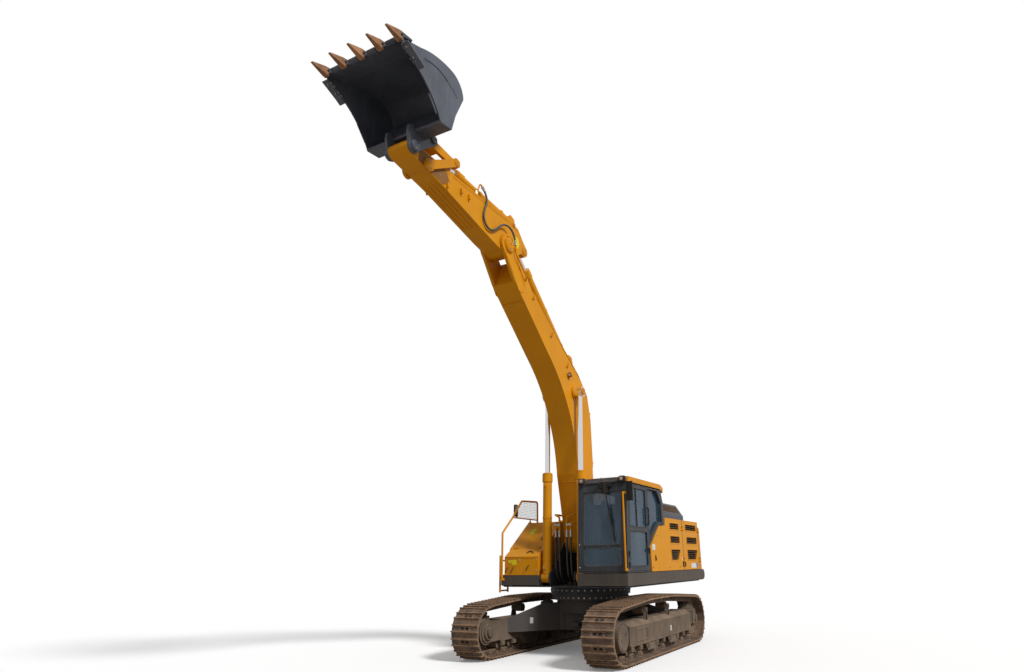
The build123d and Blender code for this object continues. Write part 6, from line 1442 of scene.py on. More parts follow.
@dataclass
class Cab:
    """Seals, lamps, wiper, rails and handles outside the cab, and the seat and controls inside it."""

    front: float = 1.460
    rear: float = -0.700
    right: float = 0.450
    left: float = 1.500
    sill: float = 1.950
    top: float = 3.250
    rake: float = 0.100
    seat_y: float = 0.980
    floor: float = 1.580
    consoles: tuple[float, float] = (0.670, 1.290)

    def build(self) -> None:
        """Makes every piece of the cab."""
        self.seals()
        self.wiper()
        self.lamps()
        self.rails()
        self.mirrors()
        self.roof()
        self.body()
        self.inside()
        self.seat()

    def on_front(self, y: float, z: float, out: float = 0.0) -> np.ndarray:
        """A point on the cab's raked front face, or so far out from it."""
        back = max(0.0, z - self.sill) * self.rake / (self.top - self.sill)
        return at(self.front - back + out, y, z)

    def seals(self) -> None:
        """Rubber seals round every pane, their corners rounded, each in its pane's plane, and a bead inside
        the windscreen's seals whose pale grey is a painted highlight.
        """
        shell, door, bead = Shape(), Shape(), Shape()
        for low, high, wide, tight in ((1.652, 2.022, 0.075, 0.085), (2.038, 3.068, 0.045, 0.045)):
            flat = rectangle(0.562, low, 1.398, high, wide)
            shell.rim([self.on_front(y, z, -0.018) for y, z in flat], X, 0.026, 0.012)
            # A pale grey bead inside each windscreen seal: the gasket's lip, its pale colour a painted
            # highlight.
            flat = rectangle(0.585, low + 0.023, 1.375, high - 0.023, tight)
            bead.rim([self.on_front(y, z, -0.015) for y, z in flat], X, 0.007, 0.006)
        seam = [self.on_front(y, 2.030, -0.014) for y in (0.56, 1.40)]
        shell.carried(bar(0.009, -0.012, 0.009, 0.012), seam)
        quarter = [(0.230, 2.102), (0.230, 3.188), (-0.330, 3.188), (-0.558, 2.950), (-0.558, 2.542),
                   (-0.345, 2.542)]
        right = [(-0.480, 2.102), (1.288, 2.102), (1.268, 3.148), (-0.440, 3.148), (-0.478, 2.95)]
        back = rectangle(0.572, 2.502, 1.378, 2.928)
        panes = ((quarter, 0.03, at(0, self.left - 0.055, 0), X, Y),
                 (right, 0.04, at(0, self.right + 0.036, 0), X, -Y),
                 (back, 0.05, at(self.rear + 0.030, 0, 0), Y, -X))
        for outline, radius, place, across, out in panes:
            shell.rim(laid(rounded(outline, radius), place, across, Z), out, 0.024, 0.014)
        for low, high, foot, head in ((1.652, 2.308, 1.308, 1.283), (2.392, 3.148, 1.283, 1.222)):
            flat = rounded([(0.377, low), (foot, low), (head, high), (0.377, high)], 0.04)
            door.rim(laid(flat, at(0, self.left - 0.008, 0), X, Z), Y, 0.022, 0.012)
        y = self.left - 0.010
        for x in (0.860, 0.885):
            door.carried(bar(0.006, -0.004, 0.006, 0.006), spots((x, y, 2.395), (x, y, 3.145)), up=Y)
        bead.piece("windscreen_bead", TRIM, smooth=50)
        shell.piece("cab_seals", RUBBER, smooth=50)
        door.piece("cab_door_seals", RUBBER, "cab_door", 50)

    def wiper(self) -> None:
        """The wiper's motor and bracket over the windscreen, its arm and blade, and the aerial."""
        motor, arm, aerial = Shape(), Shape(), Shape()
        middle = self.on_front(1.060, 3.150)
        blocks = ((0.0, -0.020, 0.130, 0.190, 0.075), (-0.095, 0.020, 0.070, 0.090, 0.090),
                  (0.090, 0.035, 0.085, 0.080, 0.080), (0.0, 0.085, 0.260, 0.040, 0.065))
        for y, z, width, height, depth in blocks:
            layers = [(0, 0), (depth - 0.008, 0.002), (depth, 0.010)]
            motor.pad(tile(width, height, 0.012), middle + (0, y, z), X, layers)
        knob = [(0.0, 0.020), (0.030, 0.020), (0.034, 0.014), (0.034, 0.0)]
        motor.turned(knob, middle + (0.050, 0, -0.045), X, 20)
        motor.bolts([middle + (0.056, y, z) for y in (-0.04, 0.04) for z in (-0.06, 0.05)], X, 0.007)
        motor.piece("wiper_motor", PLASTIC)
        lines = (((1.060, 3.085, 0.070), (1.085, 2.960, 0.050), (1.190, 2.420, 0.030)),
                 ((1.085, 3.060, 0.060), (1.205, 2.430, 0.034)))
        for line, radius, steps in zip(lines, (0.009, 0.004), (8, 6)):
            arm.tube([self.on_front(*point) for point in line], radius, steps)
        blade = [(-0.004, -0.016), (0.004, -0.016), (0.006, 0.004), (0.003, 0.010), (-0.003, 0.010),
                 (-0.006, 0.004)]
        arm.carried(np.array(blade), [self.on_front(1.150, 2.760), self.on_front(1.240, 2.110)], up=X)
        arm.piece("wiper_arm", PLASTIC)
        foot = self.on_front(0.985, 3.235, 0.020)
        aerial.turned([(0.0, 0.016), (0.025, 0.012), (0.030, 0.005), (0.030, 0.0)], foot, (-0.1, -0.1, 1), 14)
        aerial.tube([foot, foot + (-0.012, -0.030, 0.125)], 0.0035, 8)
        aerial.piece("aerial", PLASTIC)

    def lamps(self) -> None:
        """Round work lamps at the roof's front corners: bezel, ribbed lens, cooling fins and yoke."""
        bezel = [(-0.020, 0.047), (0.006, 0.050), (0.020, 0.050), (0.024, 0.046), (0.018, 0.042),
                 (0.010, 0.041)]
        yoke = np.array([(-0.025, -0.072, 0.0), (-0.025, -0.072, -0.075), (-0.025, 0.072, -0.075),
                         (-0.025, 0.072, 0.0)])
        glass = [(0.008, 0.043), (0.014, 0.040), (0.018, 0.024), (0.019, 0.0)]
        for name, y in (("right", 0.530), ("left", 1.410)):
            place = at(self.front - self.rake + 0.030, y, self.top + 0.054)
            shell = Shape().turned(bezel, place, X, 32)
            for x in (-0.070, -0.050, -0.030):
                shell.pad(tile(0.096, 0.080, 0.012), place + X * x, X, [(0, -0.014), (0.008, -0.014)])
            shell.tube(place + yoke, 0.008, 8, up=(1, 0, 0.1))
            shell.box(place + (-0.075, -0.020, -0.130), place + (0.010, 0.020, -0.070))
            shell.piece(f"roof_lamp_{name}", PLASTIC)
            Shape().turned(glass, place, X, 32).piece(f"roof_lamp_lens_{name}", LAMP)

    def rails(self) -> None:
        """The yellow grab rail with its feet, and the door's grip and latch."""
        y, x = self.left - 0.025, self.front + 0.045
        path = spots((self.front + 0.002, y, 1.590), (x, y, 1.592), (x, y, 3.018),
                     (self.front - self.rake + 0.024, y, 3.020))
        rail = Shape().tube(path, 0.0178, 20, up=(0.02, 1, 0.05))
        foot = [(0.0, 0.032), (0.006, 0.032), (0.010, 0.022), (0.016, 0.020)]
        rail.turned(foot, [self.on_front(y, z, 0.001) for z in (1.590, 3.020)], X, 20)
        rail.piece("grab_rail", AMBER)
        grip, place = Shape(), at(0.335, self.left, 0)
        bow = [(0, 0.001, 2.450), (0, 0.040, 2.470), (0, 0.040, 2.780), (0, 0.001, 2.800)]
        grip.tube(place + bow, 0.013, 12, up=(1, 0, 0.05))
        grip.pad(tile(0.060, 0.120, 0.018), place + Z * 1.950, Y, [(0, 0), (0.012, 0.001), (0.018, 0.006)])
        grip.tube(place + [(0.010, 0.012, 1.985), (0.012, 0.035, 1.975), (0.012, 0.035, 1.900)], 0.009, 10,
                  up=(1, 0, 0.1))
        grip.piece("cab_door_grip", PLASTIC, "cab_door")

    def mirrors(self) -> None:
        """Rounded shells over the plain mirrors, the left one's clamp and hinge, and bright faces."""
        layers = [(0, 0.004), (0.003, 0), (0.015, 0), (0.0264, 0.008), (0.0297, 0.024)]
        flat, start = tile(0.129, 0.369, 0.040), at(1.4322, 1.595, 3.045)
        shell = Shape().pad(flat, start, X, layers)
        arm = spots((1.338, 1.505, 3.033), (1.338, 1.548, 3.033), (1.430, 1.548, 3.033))
        shell.tube(arm, 0.017, 14, up=(0.1, 0.1, 1))
        shell.turned([(-0.030, 0.024), (0.030, 0.024)], at(1.420, 1.556, 3.033), Z, 20)
        shell.bolts([at(1.348, 1.505, z) for z in (3.00, 3.066)], Y, 0.007)
        shell.piece("mirror_shell_left", PLASTIC)
        face = Shape().pad(flat * 0.86, start - X * 0.0005, -X, [(0, 0), (0.0014, 0)])
        face.piece("mirror_face_left", MIRROR)
        flat, start = tile(0.152, 0.262, 0.040), at(0.630, -1.4915, 2.865)
        Shape().pad(flat, start, -Y, layers).piece("mirror_shell_right", PLASTIC)
        face = Shape().pad(flat * 0.86, start + Y * 0.0005, -Y, [(-0.0015, 0), (0, 0)])
        face.piece("mirror_face_right", MIRROR)

    def roof(self) -> None:
        """The roof's raised panel and hatch, its gutter strip and front strip, and the visor."""
        trim, z = Shape(), self.top + 0.110
        panel = rectangle(-0.50, 0.56, 1.05, 1.40, 0.06)
        panel = Shape().pad(panel, at(0, 0, z), Z, [(0, 0), (0.004, 0.004), (0.005, 0.012)], Y)
        panel.piece("roof_panel", AMBER)
        trim.rim(laid(rectangle(0.10, 0.72, 0.78, 1.24, 0.05), at(0, 0, z + 0.004), X, Y), Z, 0.020, 0.006)
        y, z = self.left - 0.012, self.top - 0.012
        gutter = spots((self.rear + 0.16, y, z), (self.front - self.rake - 0.10, y, z))
        trim.carried(bar(0.012, -0.012, 0.012, 0.012), gutter)
        edge = [self.on_front(y, 3.236, 0.004) for y in (self.right + 0.03, self.left - 0.03)]
        trim.carried(bar(0.014, -0.010, 0.010, 0.014), edge)
        visor = [(1.250, 3.252), (1.345, 3.252), (1.300, 3.300), (1.262, 3.348), (1.246, 3.350)]
        Shape().slab(visor, at(0, 1.345, 0), X, Z, -Y * 0.750).piece("roof_visor", GREY)
        trim.piece("roof_trim", PLASTIC)

    def body(self) -> None:
        """Bolts at the pillars' feet, and seams along the front's foot, the side's foot and the pillars."""
        bolts, seams, seam = Shape(), Shape(), bar(0.006, -0.002, 0.003, 0.005)
        bolts.bolts([self.on_front(y, z) for y in (0.490, 1.450) for z in (1.640, 2.060)], X, 0.011)
        bolts.piece("cab_bolts", ZINC)
        edge = spots((self.front, self.right + 0.01, 1.585), (self.front, self.left - 0.01, 1.585))
        seams.carried(seam, edge, up=X)
        seams.carried(seam, spots((self.front - 0.02, self.left, 1.545), (0.30, self.left, 1.545)), up=Y)
        for y in (0.505, 1.440):
            seams.carried(seam, [self.on_front(y, z) for z in (1.62, 1.95, 3.10)], up=(1, 0, 0.1))
        seams.piece("cab_seams", GREY)

    def inside(self) -> None:
        """Floor mat, pedals, levers, consoles' tops, the monitor, the rear shelf and the head lining."""
        dark, trim, floor = Shape(), Shape(), self.floor
        dark.box(at(0.62, 0.56, floor), at(1.36, 1.40, floor + 0.012))
        knob = [(0.0, 0.0), (0.004, 0.020), (0.030, 0.026), (0.060, 0.022), (0.068, 0.0)]
        for y in (0.88, 1.08):
            rod = spots((1.14, y, floor), (1.10, y, floor + 0.30), (1.04, y, floor + 0.52))
            dark.tube(rod, 0.011, 10, up=(0, 1, 0.05))
            dark.turned(knob, at(1.035, y, floor + 0.51), (-0.1, 0, 1), 16)
            pedal, layers = tile(0.10, 0.20, 0.015), [(0, 0), (0.012, 0.002)]
            dark.pad(pedal, at(1.18, y, floor + 0.06), (0.6, 0, 0.8), layers, (-0.8, 0, 0.6))
        dark.box(at(1.10, 0.84, floor), at(1.22, 1.12, floor + 0.05))
        gaiter = [(0.0, 0.055), (0.020, 0.052), (0.030, 0.040), (0.050, 0.042), (0.060, 0.030),
                  (0.078, 0.032), (0.090, 0.018), (0.150, 0.016)]
        lever = [(0.135, 0.018), (0.150, 0.024), (0.200, 0.027), (0.235, 0.024), (0.250, 0.012), (0.250, 0.0)]
        cover, layers = tile(0.66, 0.124, 0.03), [(0, 0), (0.018, 0), (0.026, 0.008)]
        for y in self.consoles:
            dark.turned(gaiter, at(0.700, y, floor + 0.560), Z, 20)
            dark.turned(lever, at(0.700, y, floor + 0.560), (0.12, 0, 1), 16)
            trim.pad(cover, at(0.430, y, floor + 0.560), Z, layers, Y)
        trim.pad(tile(0.24, 0.17, 0.02), at(1.270, 0.640, 2.280), (0.94, -0.35, 0), [(0, 0), (-0.030, 0.0)])
        dark.tube(spots((1.285, 0.625, 1.60), (1.285, 0.625, 2.24)), 0.020, 12, up=(1, 0, 0.1))
        trim.box(at(-0.62, 0.53, 1.59), at(-0.28, 1.42, 2.36))
        trim.box(at(-0.60, 0.56, 3.165), at(1.20, 1.39, 3.185))
        flat, place = tile(0.20, 0.13, 0.01), at(1.240, 0.652, 2.280)
        screen = Shape().pad(flat, place, (-0.94, 0.35, 0), [(0, 0), (0.002, 0)])
        screen.piece("cab_monitor_face", MIRROR)
        dark.piece("cab_controls", PLASTIC)
        trim.piece("cab_lining", TRIM)

    def seat(self) -> None:
        """The seat's cushion, back and headrest as crowned pads, on a sprung base with a bellows."""
        y, floor = self.seat_y, self.floor
        tilt = math.atan2(0.11, 0.69)
        level, rise = math.cos(tilt), math.sin(tilt)
        lean = np.array([[level, 0, -rise], [0, 1, 0], [rise, 0, level]])
        upright = np.stack([lean[:, 2], -lean[:, 1], lean[:, 0]], axis=1)
        pads = (
            ("seat_cushion", at(0.330, y, floor + 0.385), np.eye(3), (0.285, 0.252, 0.068)),
            ("seat_back", at(0.045, y, floor + 0.800), upright, (0.335, 0.235, 0.062)),
            ("seat_headrest", at(-0.035, y, floor + 1.235), upright, (0.095, 0.135, 0.045)),
        )
        made = [pad_piece(name, centre, turn, half, SEAT, "upper") for name, centre, turn, half in pads]
        base = Shape()
        for level, inset in zip(np.arange(0.0, 0.30, 0.03), np.tile([0.0, 0.018], 5)):
            fold = tile(0.44 - 2 * inset, 0.37 - 2 * inset, 0.03)
            base.pad(fold, at(0.32, y, floor + 0.01 + level), Z, [(0, 0), (0.015, -0.010), (0.030, 0)], Y)
        base.box(at(0.06, y - 0.24, floor + 0.305), at(0.58, y + 0.24, floor + 0.330))
        for side in (y - 0.075, y + 0.075):
            base.tube(spots((-0.03, side, floor + 1.08), (-0.05, side, floor + 1.20)), 0.007, 8)
        base.piece("seat_base", PLASTIC)
        consoles = Shape()
        for middle in self.consoles:
            layers = [(0, 0.03), (0.05, 0.0), (0.214, 0.0)]
            consoles.pad(tile(0.656, 0.116, 0.03), at(0.430, middle, floor + 0.345), Z, layers, Y)
        consoles.piece("seat_consoles", TRIM)
        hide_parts("operator_station")


# --------------------------------------------------------------------------------------- the arm


@dataclass
class Arm:
    """Pin caps, edge plates, welds, brackets, blank plates and lamp of the boom, stick, rocker and bucket."""

    boom_half: float = 0.265
    stick_half: float = 0.200
    lane: float = 0.400
    bucket_half: float = 0.790

    def build(self) -> None:
        """Makes every piece of the arm."""
        self.boom()
        self.stick()
        self.linkage()
        self.bucket()

    @staticmethod
    def cap(shape: Shape, bolts: Shape, place: np.ndarray, sign: float, radius: float) -> None:
        """Adds a pin's stepped end cap with a lock plate and three bolts, facing left or right."""
        out = Y * sign
        steps = [(0.0, 1.0), (0.010, 1.0), (0.014, 0.92), (0.014, 0.62), (0.020, 0.60), (0.020, 0.22),
                 (0.012, 0.20), (0.012, 0.0)]
        shape.turned([(height, radius * share) for height, share in steps], place, out, 32)
        bolts.bolts(circle(place + out * 0.014, radius * 0.77, 3, out, 0.5), out, radius * 0.10)

    def boom(self) -> None:
        """The boom's caps, the fork's edge plates, welds under it, hooked tabs and the lamp's bezel."""
        caps, bolts, plates = Shape(), Shape(), Shape()
        for sign in BOTH:
            face, edge, proud = (sign * (self.boom_half + d) for d in (0.0, -0.003, 0.045))
            self.cap(caps, bolts, BOOM.at((6.480, sign * (self.boom_half + 0.030), 0.0)), sign, 0.130)
            self.cap(caps, bolts, BOOM.at((3.020, sign * (self.lane + 0.086), 1.060)), sign, 0.085)
            self.cap(caps, bolts, BOOM.at((3.660, sign * 0.150, 1.530)), sign, 0.070)
            fork = rounded([(5.58, -0.105), (6.30, -0.185), (6.62, -0.12), (6.68, 0.0), (6.62, 0.13),
                            (6.32, 0.19), (5.62, 0.17), (5.50, 0.03)], 0.05)
            plates.rim(BOOM.at(*((x, face, z) for x, z in fork)), Y * sign, 0.018, 0.010)
            for x, z in ((5.32, 0.45), (4.43, 0.78), (3.64, 1.13)):
                tab = BOOM.at((x, face, z - 0.10), (x, proud, z - 0.09), (x + 0.01, proud, z - 0.02),
                              (x + 0.05, face + sign * 0.02, z))
                plates.tube(tab, 0.012, 10, up=(1, 0.1, 0.2))
            for x0, z0, x1, z1 in ((1.30, 0.97, 2.10, 1.40), (3.35, 1.40, 4.45, 0.88)):
                plates.tube(BOOM.at((x0, edge, z0), (x1, edge, z1)), 0.006, 8)
        for x, z in ((1.30, 0.205), (4.30, 0.365), (5.35, -0.030)):
            half = self.boom_half - 0.01
            plates.tube(BOOM.at((x, -half, z), (x, half, z)), 0.0065, 8, up=Z)
        caps.piece("boom_caps", AMBER_CAST, "boom")
        bolts.piece("boom_cap_bolts", ZINC, "boom")
        plates.piece("boom_plates", AMBER, "boom")
        lamp = BOOM.at((3.440, 0.0, 1.010)) + Y * (self.boom_half + 0.050)
        shell = Shape().turned([(0.030, 0.046), (0.052, 0.050), (0.056, 0.046), (0.050, 0.040)], lamp, X, 28)
        shell.piece("boom_lamp_bezel", PLASTIC, "boom")
        lens = Shape().turned([(0.048, 0.041), (0.053, 0.024), (0.054, 0.0)], lamp, X, 28)
        lens.piece("boom_lamp_lens", LAMP, "boom")

    def stick(self) -> None:
        """The stick's tip plates, tabs, edge strips, pin caps, pipe nuts and its blank six-sided plate."""
        caps, bolts, strips, dull, nuts = Shape(), Shape(), Shape(), Shape(), Shape()
        turn = STICK.turn
        along, above = turn[:, 0], turn[:, 2]
        for sign in BOTH:
            face, out = sign * self.stick_half, Y * sign
            self.cap(caps, bolts, STICK.at((-0.640, face, 0.310)), sign, 0.090)
            self.cap(caps, bolts, STICK.at((-0.160, face, 0.640)), sign, 0.050)
            tip = [(1.86, 0.06), (2.02, -0.090), (2.68, -0.112), (2.70, 0.130), (2.33, 0.190), (2.02, 0.235)]
            dull.slab(tip, STICK.at((0, face, 0)), along, above, out * 0.006)
            runs = ((-0.30, 0.612, 0.0, 0.600), (0.02, 0.598, 1.82, 0.272), (1.90, 0.252, 2.30, 0.186))
            for x0, z0, x1, z1 in runs:
                for drop in (0.0, 0.034):
                    strip = STICK.at((x0, face, z0 - drop), (x1, face, z1 - drop))
                    strips.tube(strip, 0.005, 6, up=(0, 1, 0.05))
            for x, z in ((1.93, -0.04), (1.56, 0.13), (1.33, 0.17)):
                layers = [(0, -0.004), (0.012, 0), (0.048, 0), (0.052, 0.006)]
                strips.pad(tile(0.110, 0.036, 0.012), STICK.at((x, face, z)), out, layers,
                           turn @ (sign * 0.97, 0, sign * -0.25))
            proud = face + sign * 0.006
            bolts.bolts(STICK.at((2.28, proud, 0.09), (2.14, proud, 0.02)), out, 0.013)
            end, lean = STICK.at((0.960, sign * 0.180, 0.720)), turn @ (0.6, -0.2 * sign, 0.7)
            nuts.turned([(-0.030, 0.030), (0.010, 0.030), (0.016, 0.024)], end, lean, 6)
            nuts.turned([(-0.060, 0.026), (-0.030, 0.034), (0.030, 0.034), (0.034, 0.024), (0.070, 0.022)],
                        STICK.at((1.080, sign * 0.150, 0.470)), turn @ (0.18, -0.03 * sign, 1.0), 6)
            nuts.turned([(0.0, 0.050), (0.016, 0.050), (0.020, 0.030), (0.034, 0.028)],
                        STICK.at((1.085, sign * 0.150, 0.432)), turn @ (0.18, 0.0, 1.0), 20)
        caps.piece("stick_caps", AMBER_CAST, "stick")
        bolts.piece("stick_bolts", ZINC, "stick")
        strips.piece("stick_strips", AMBER, "stick")
        dull.piece("stick_tip_plates", AMBER_DULL, "stick")
        hexagon = [(-0.40, 0.20), (-0.28, 0.18), (-0.21, 0.28), (-0.25, 0.42), (-0.37, 0.44), (-0.44, 0.32)]
        plate = Shape().slab(hexagon, STICK.at((0, self.stick_half, 0)), along, above, Y * 0.003)
        plate.piece("stick_plate", YELLOW_SIGN, "stick")
        nuts.piece("stick_pipe_nuts", ZINC, "stick")

    def linkage(self) -> None:
        """Stepped caps and ringed bosses at the rocker's and the link's pins."""
        rocker, link = (np.array(JOINTS[joint]["pos_m"]) for joint in ("rocker_swing", "link_swing"))
        pins = {"rocker": ((rocker, 0.085), (STICK.at((1.840, 0.0, 0.540)), 0.078)), "link": ((link, 0.070),)}
        for body, places in pins.items():
            caps, bolts = Shape(), Shape()
            for sign in BOTH:
                for pin, radius in places:
                    self.cap(caps, bolts, node_reach(body, pin, sign), sign, radius)
            caps.piece(f"{body}_caps", AMBER_CAST, body)
            bolts.piece(f"{body}_cap_bolts", ZINC, body)

    def bucket(self) -> None:
        """Tooth pins drawn dark as painted shade in their holes, the side cutters' studs, ear caps, corner
        gussets and the sides' weld ridges.
        """
        pins, studs, caps, bolts, gussets = Shape(), Shape(), Shape(), Shape(), Shape()
        for sign in BOTH:
            out = Y * sign
            teeth = [on_tooth(0.045, y + sign * 0.050, 0.015) for y in (-0.770, -0.385, 0.0, 0.385, 0.770)]
            # Each tooth pin is a dark cup: painted shade in its hole.
            pin = [(-0.004, 0.021), (0.005, 0.020), (0.007, 0.014), (0.003, 0.012), (0.003, 0.0)]
            pins.turned(pin, [BUCKET.at(tooth) for tooth in teeth], out, 16)
            row = ((1.330, 0.180), (1.270, 0.215), (1.160, 0.232), (1.100, 0.262))
            outer = BUCKET.at(*((x, sign * (self.bucket_half + 0.022), z) for x, z in row))
            inner = BUCKET.at(*((x, sign * (self.bucket_half - 0.021), z) for x, z in row))
            studs.bolts(outer, out, 0.019, 0.020)
            studs.turned([(0.018, 0.009), (0.050, 0.009), (0.053, 0.006), (0.053, 0.0)], outer, out, 10)
            studs.bolts(inner, -out, 0.018, 0.012)
            for x, z, radius in ((0.0, 0.0, 0.085), (-0.104, 0.603, 0.070)):
                self.cap(caps, bolts, node_reach("bucket", BUCKET.at((x, 0.0, z)), sign), sign, radius)
            wall = BUCKET.at((0.0, sign * (self.bucket_half - 0.020), 0.0))
            corner = [(0.30, 0.205), (0.62, 0.262), (0.40, 0.42)]
            gussets.slab(corner, wall, BUCKET.turn[:, 0], BUCKET.turn[:, 2], out * -0.016)
            arc = [(1.072, 0.585), (0.990, 0.700), (0.900, 0.800), (0.780, 0.885), (0.636, 0.948),
                   (0.480, 0.990), (0.330, 1.010)]
            ridge = BUCKET.at(*((x, sign * (self.bucket_half + 0.001), z) for x, z in arc))
            gussets.carried(bar(0.014, -0.003, 0.010, 0.005), ridge, up=out)
        pins.piece("tooth_pins", PAINTED_SHADE, "bucket")
        studs.piece("cutter_studs", ZINC, "bucket")
        caps.piece("bucket_caps", BLUE_BLACK, "bucket")
        bolts.piece("bucket_cap_bolts", ZINC, "bucket")
        gussets.piece("bucket_gussets", BLUE_BLACK, "bucket")


@dataclass
class Cylinders:
    """The gland rings, bands, port blocks and pipes of the four hydraulic cylinders."""

    def build(self) -> None:
        """Dresses each barrel: its rod's eye, its length and radius, and whether it has a pipe."""
        arm_eye, bucket_eye = STICK.at((-0.640, 0.0, 0.310), (1.840, 0.0, 0.540))
        for name, sign in SIDES:
            self.dress(f"boom_barrel_{name}", BOOM.at((3.020, sign * 0.400, 1.060)), 2.130, 0.095, False)
        self.dress("arm_barrel", arm_eye, 2.350, 0.105, True)
        self.dress("bucket_barrel", bucket_eye, 1.780, 0.092, True)

    @staticmethod
    def dress(body: str, eye: np.ndarray, length: float, radius: float, piped: bool) -> None:
        """Adds a barrel's bolted gland, wiper ring, bands, port blocks and supply pipe.

        Args:
            body: the barrel's body and node.
            eye: the middle of its rod's eye.
            length: the barrel's length from its foot's pin.
            radius: its outer radius.
            piped: whether a pipe runs along it.
        """
        foot = np.array(JOINTS[f"{body}_swing"]["pos_m"])
        foot[1] = eye[1]
        way = unit(eye - foot)
        over = np.cross(way, Y)
        over = over if over[2] > 0 else -over
        steel, bolts, end = Shape(), Shape(), foot + way * length
        steel.turned([(-0.040, radius * 0.98), (-0.036, radius + 0.012), (-0.010, radius + 0.012),
                      (-0.002, radius * 0.9), (-0.001, radius * 0.72)], end, way, 40)
        bolts.bolts(circle(end - way * 0.006, radius * 0.86, 10, way), way, 0.011)
        inside, outside = radius + 0.0005, radius + 0.007
        band = [(0.0, inside), (0.0, outside), (0.040, outside), (0.040, inside)]
        steel.turned(band, [foot + way * length * share for share in (0.16, 0.55)], way, 40)
        for place in (foot + way * 0.20, foot + way * (length - 0.26)):
            steel.slab(tile(0.070, 0.060), place + over * (radius - 0.015), way, Y, over * 0.055)
            bolts.bolts(laid(tile(0.044, 0.036), place + over * (radius + 0.040), way, Y), over, 0.006)
        if piped:
            runs = (0.20, 0.30, length - 0.32, length - 0.26)
            line = [foot + way * run + over * (radius + 0.028) for run in runs]
            steel.tube(line, 0.013, 12, up=(0.0, 1.0, 0.05))
        steel.piece(f"{body}_fittings", AMBER, body)
        bolts.piece(f"{body}_bolts", ZINC, body)


# -------------------------------------------------------------------------------------------- stage


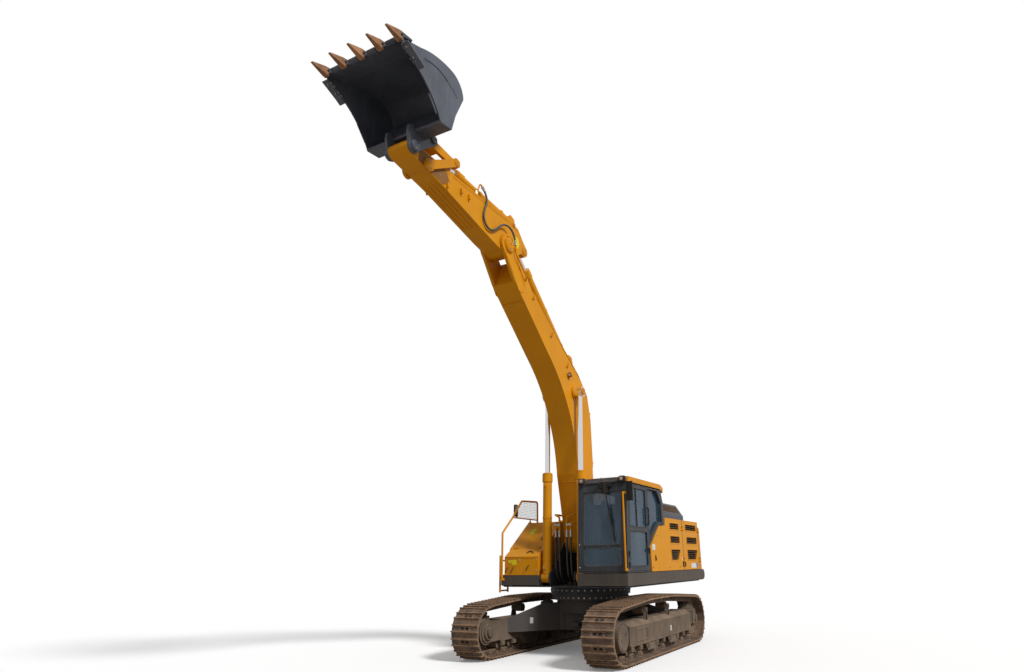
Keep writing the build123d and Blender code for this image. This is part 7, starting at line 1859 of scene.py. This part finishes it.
@dataclass
class Studio:
    """A pale floor, soft light from the cab's side, and the camera."""

    floor_half: float = 60.0
    floor_colour: Colour = (0.97, 0.97, 0.97)
    floor_glow: float = 0.12
    key_energy: float = 2.7
    key_from: tuple[float, float, float] = (0.24, 0.80, 0.70)
    key_angle: float = 12.0
    fill: float = 0.36
    gloss: float = 0.70
    bounce_colour: Colour = (0.40, 0.36, 0.32)
    eye: tuple[float, float, float] = (11.1669, 6.40, 1.755)
    heading: float = 28.02  # degrees from straight at the machine's front towards its right side
    tilt: float = 18.1
    roll: float = -0.86
    lens: float = 22.56
    shift: tuple[float, float] = (-0.0475, 0.0156)

    def build(self) -> None:
        """Makes floor, light and camera."""
        self.floor()
        self.light()
        self.camera()

    def floor(self) -> None:
        """A level sheet just under the tracks, nearly white."""
        half = self.floor_half
        mesh = bpy.data.meshes.new("studio_floor")
        corners = [(-half, -half, -0.002), (half, -half, -0.002), (half, half, -0.002), (-half, half, -0.002)]
        mesh.from_pydata(corners, [], [(0, 1, 2, 3)])
        tree = Tree("studio_floor")
        seen = tree.add("ShaderNodeLightPath", output="Is Camera Ray")
        colour = tree.blend(seen, self.bounce_colour, self.floor_colour)
        glow = tree.blend(seen, (0.0, 0.0, 0.0), (1.0, 1.0, 1.0))
        inputs = {"Base Color": colour, "Roughness": 0.9, "Emission Color": glow,
                  "Emission Strength": self.floor_glow}
        mesh.materials.append(tree.surface(inputs))
        made = bpy.data.objects.new("studio_floor", mesh)
        bpy.context.scene.collection.objects.link(made)

    def light(self) -> None:
        """A broad sun and a world that is white to the eye and in reflections, and softer as light."""
        sun = bpy.data.lights.new("key", "SUN")
        sun.energy = self.key_energy
        sun.angle = math.radians(self.key_angle)
        lamp = bpy.data.objects.new("key", sun)
        lamp.matrix_world = Matrix(bases(np.array([self.key_from]))[0].tolist()).to_4x4()
        bpy.context.scene.collection.objects.link(lamp)
        world = bpy.data.worlds.new("studio")
        world.use_nodes = True
        nodes, links = world.node_tree.nodes, world.node_tree.links
        nodes.clear()
        path = nodes.new("ShaderNodeLightPath")
        seen = nodes.new("ShaderNodeMath")
        seen.operation = "MAXIMUM"
        links.new(path.outputs["Is Camera Ray"], seen.inputs[0])
        links.new(path.outputs["Is Transmission Ray"], seen.inputs[1])
        glossy = nodes.new("ShaderNodeMapRange")
        glossy.inputs["To Min"].default_value = self.fill
        glossy.inputs["To Max"].default_value = self.gloss
        links.new(path.outputs["Is Glossy Ray"], glossy.inputs["Value"])
        strength = nodes.new("ShaderNodeMapRange")
        strength.inputs["To Max"].default_value = 1.0
        links.new(glossy.outputs["Result"], strength.inputs["To Min"])
        links.new(seen.outputs[0], strength.inputs["Value"])
        sky = nodes.new("ShaderNodeBackground")
        sky.inputs["Color"].default_value = (1.0, 1.0, 1.0, 1.0)
        links.new(strength.outputs["Result"], sky.inputs["Strength"])
        out = nodes.new("ShaderNodeOutputWorld")
        links.new(sky.outputs[0], out.inputs[0])
        bpy.context.scene.world = world
        bpy.context.scene.view_settings.view_transform = "Standard"

    def camera(self) -> None:
        """The camera at a standing eye's height, in front of the machine's left corner."""
        yaw, pitch, roll = (math.radians(a) for a in (self.heading, self.tilt, self.roll))
        level = math.cos(pitch)
        ahead = np.array([-math.cos(yaw) * level, -math.sin(yaw) * level, math.sin(pitch)])
        right = unit(np.cross(ahead, (0.0, 0.0, 1.0)))
        up = np.cross(right, ahead)
        across = math.cos(roll) * right + math.sin(roll) * up
        over = math.cos(roll) * up - math.sin(roll) * right
        camera = bpy.data.cameras.new("camera")
        camera.sensor_width = 36.0
        camera.lens = self.lens
        camera.shift_x, camera.shift_y = self.shift
        camera.clip_end = 400.0
        made = bpy.data.objects.new("camera", camera)
        matrix = Matrix(np.stack([across, over, -ahead], axis=1).tolist()).to_4x4()
        matrix.translation = self.eye
        made.matrix_world = matrix
        bpy.context.scene.collection.objects.link(made)
        bpy.context.scene.camera = made


# --------------------------------------------------------------------------------------------- main


def dress_nodes() -> None:
    """Gives every shown node of the frame its finish."""
    for finish, names in NODE_FINISHES.items():
        for name in names:
            node = frame["nodes"][name]
            for slot in node.material_slots:
                slot.material = finish.material()
            log.info("%s wears %s", name, finish.name)


def main() -> None:
    """Builds everything in order."""
    logging.basicConfig(level=logging.INFO, format="%(name)s: %(message)s")
    Studio().build()
    dress_nodes()
    Hoses().build()
    for part in (Undercarriage(), House(), RightSide(), Cab(), Arm(), Cylinders()):
        part.build()


if __name__ == "__main__":
    main()
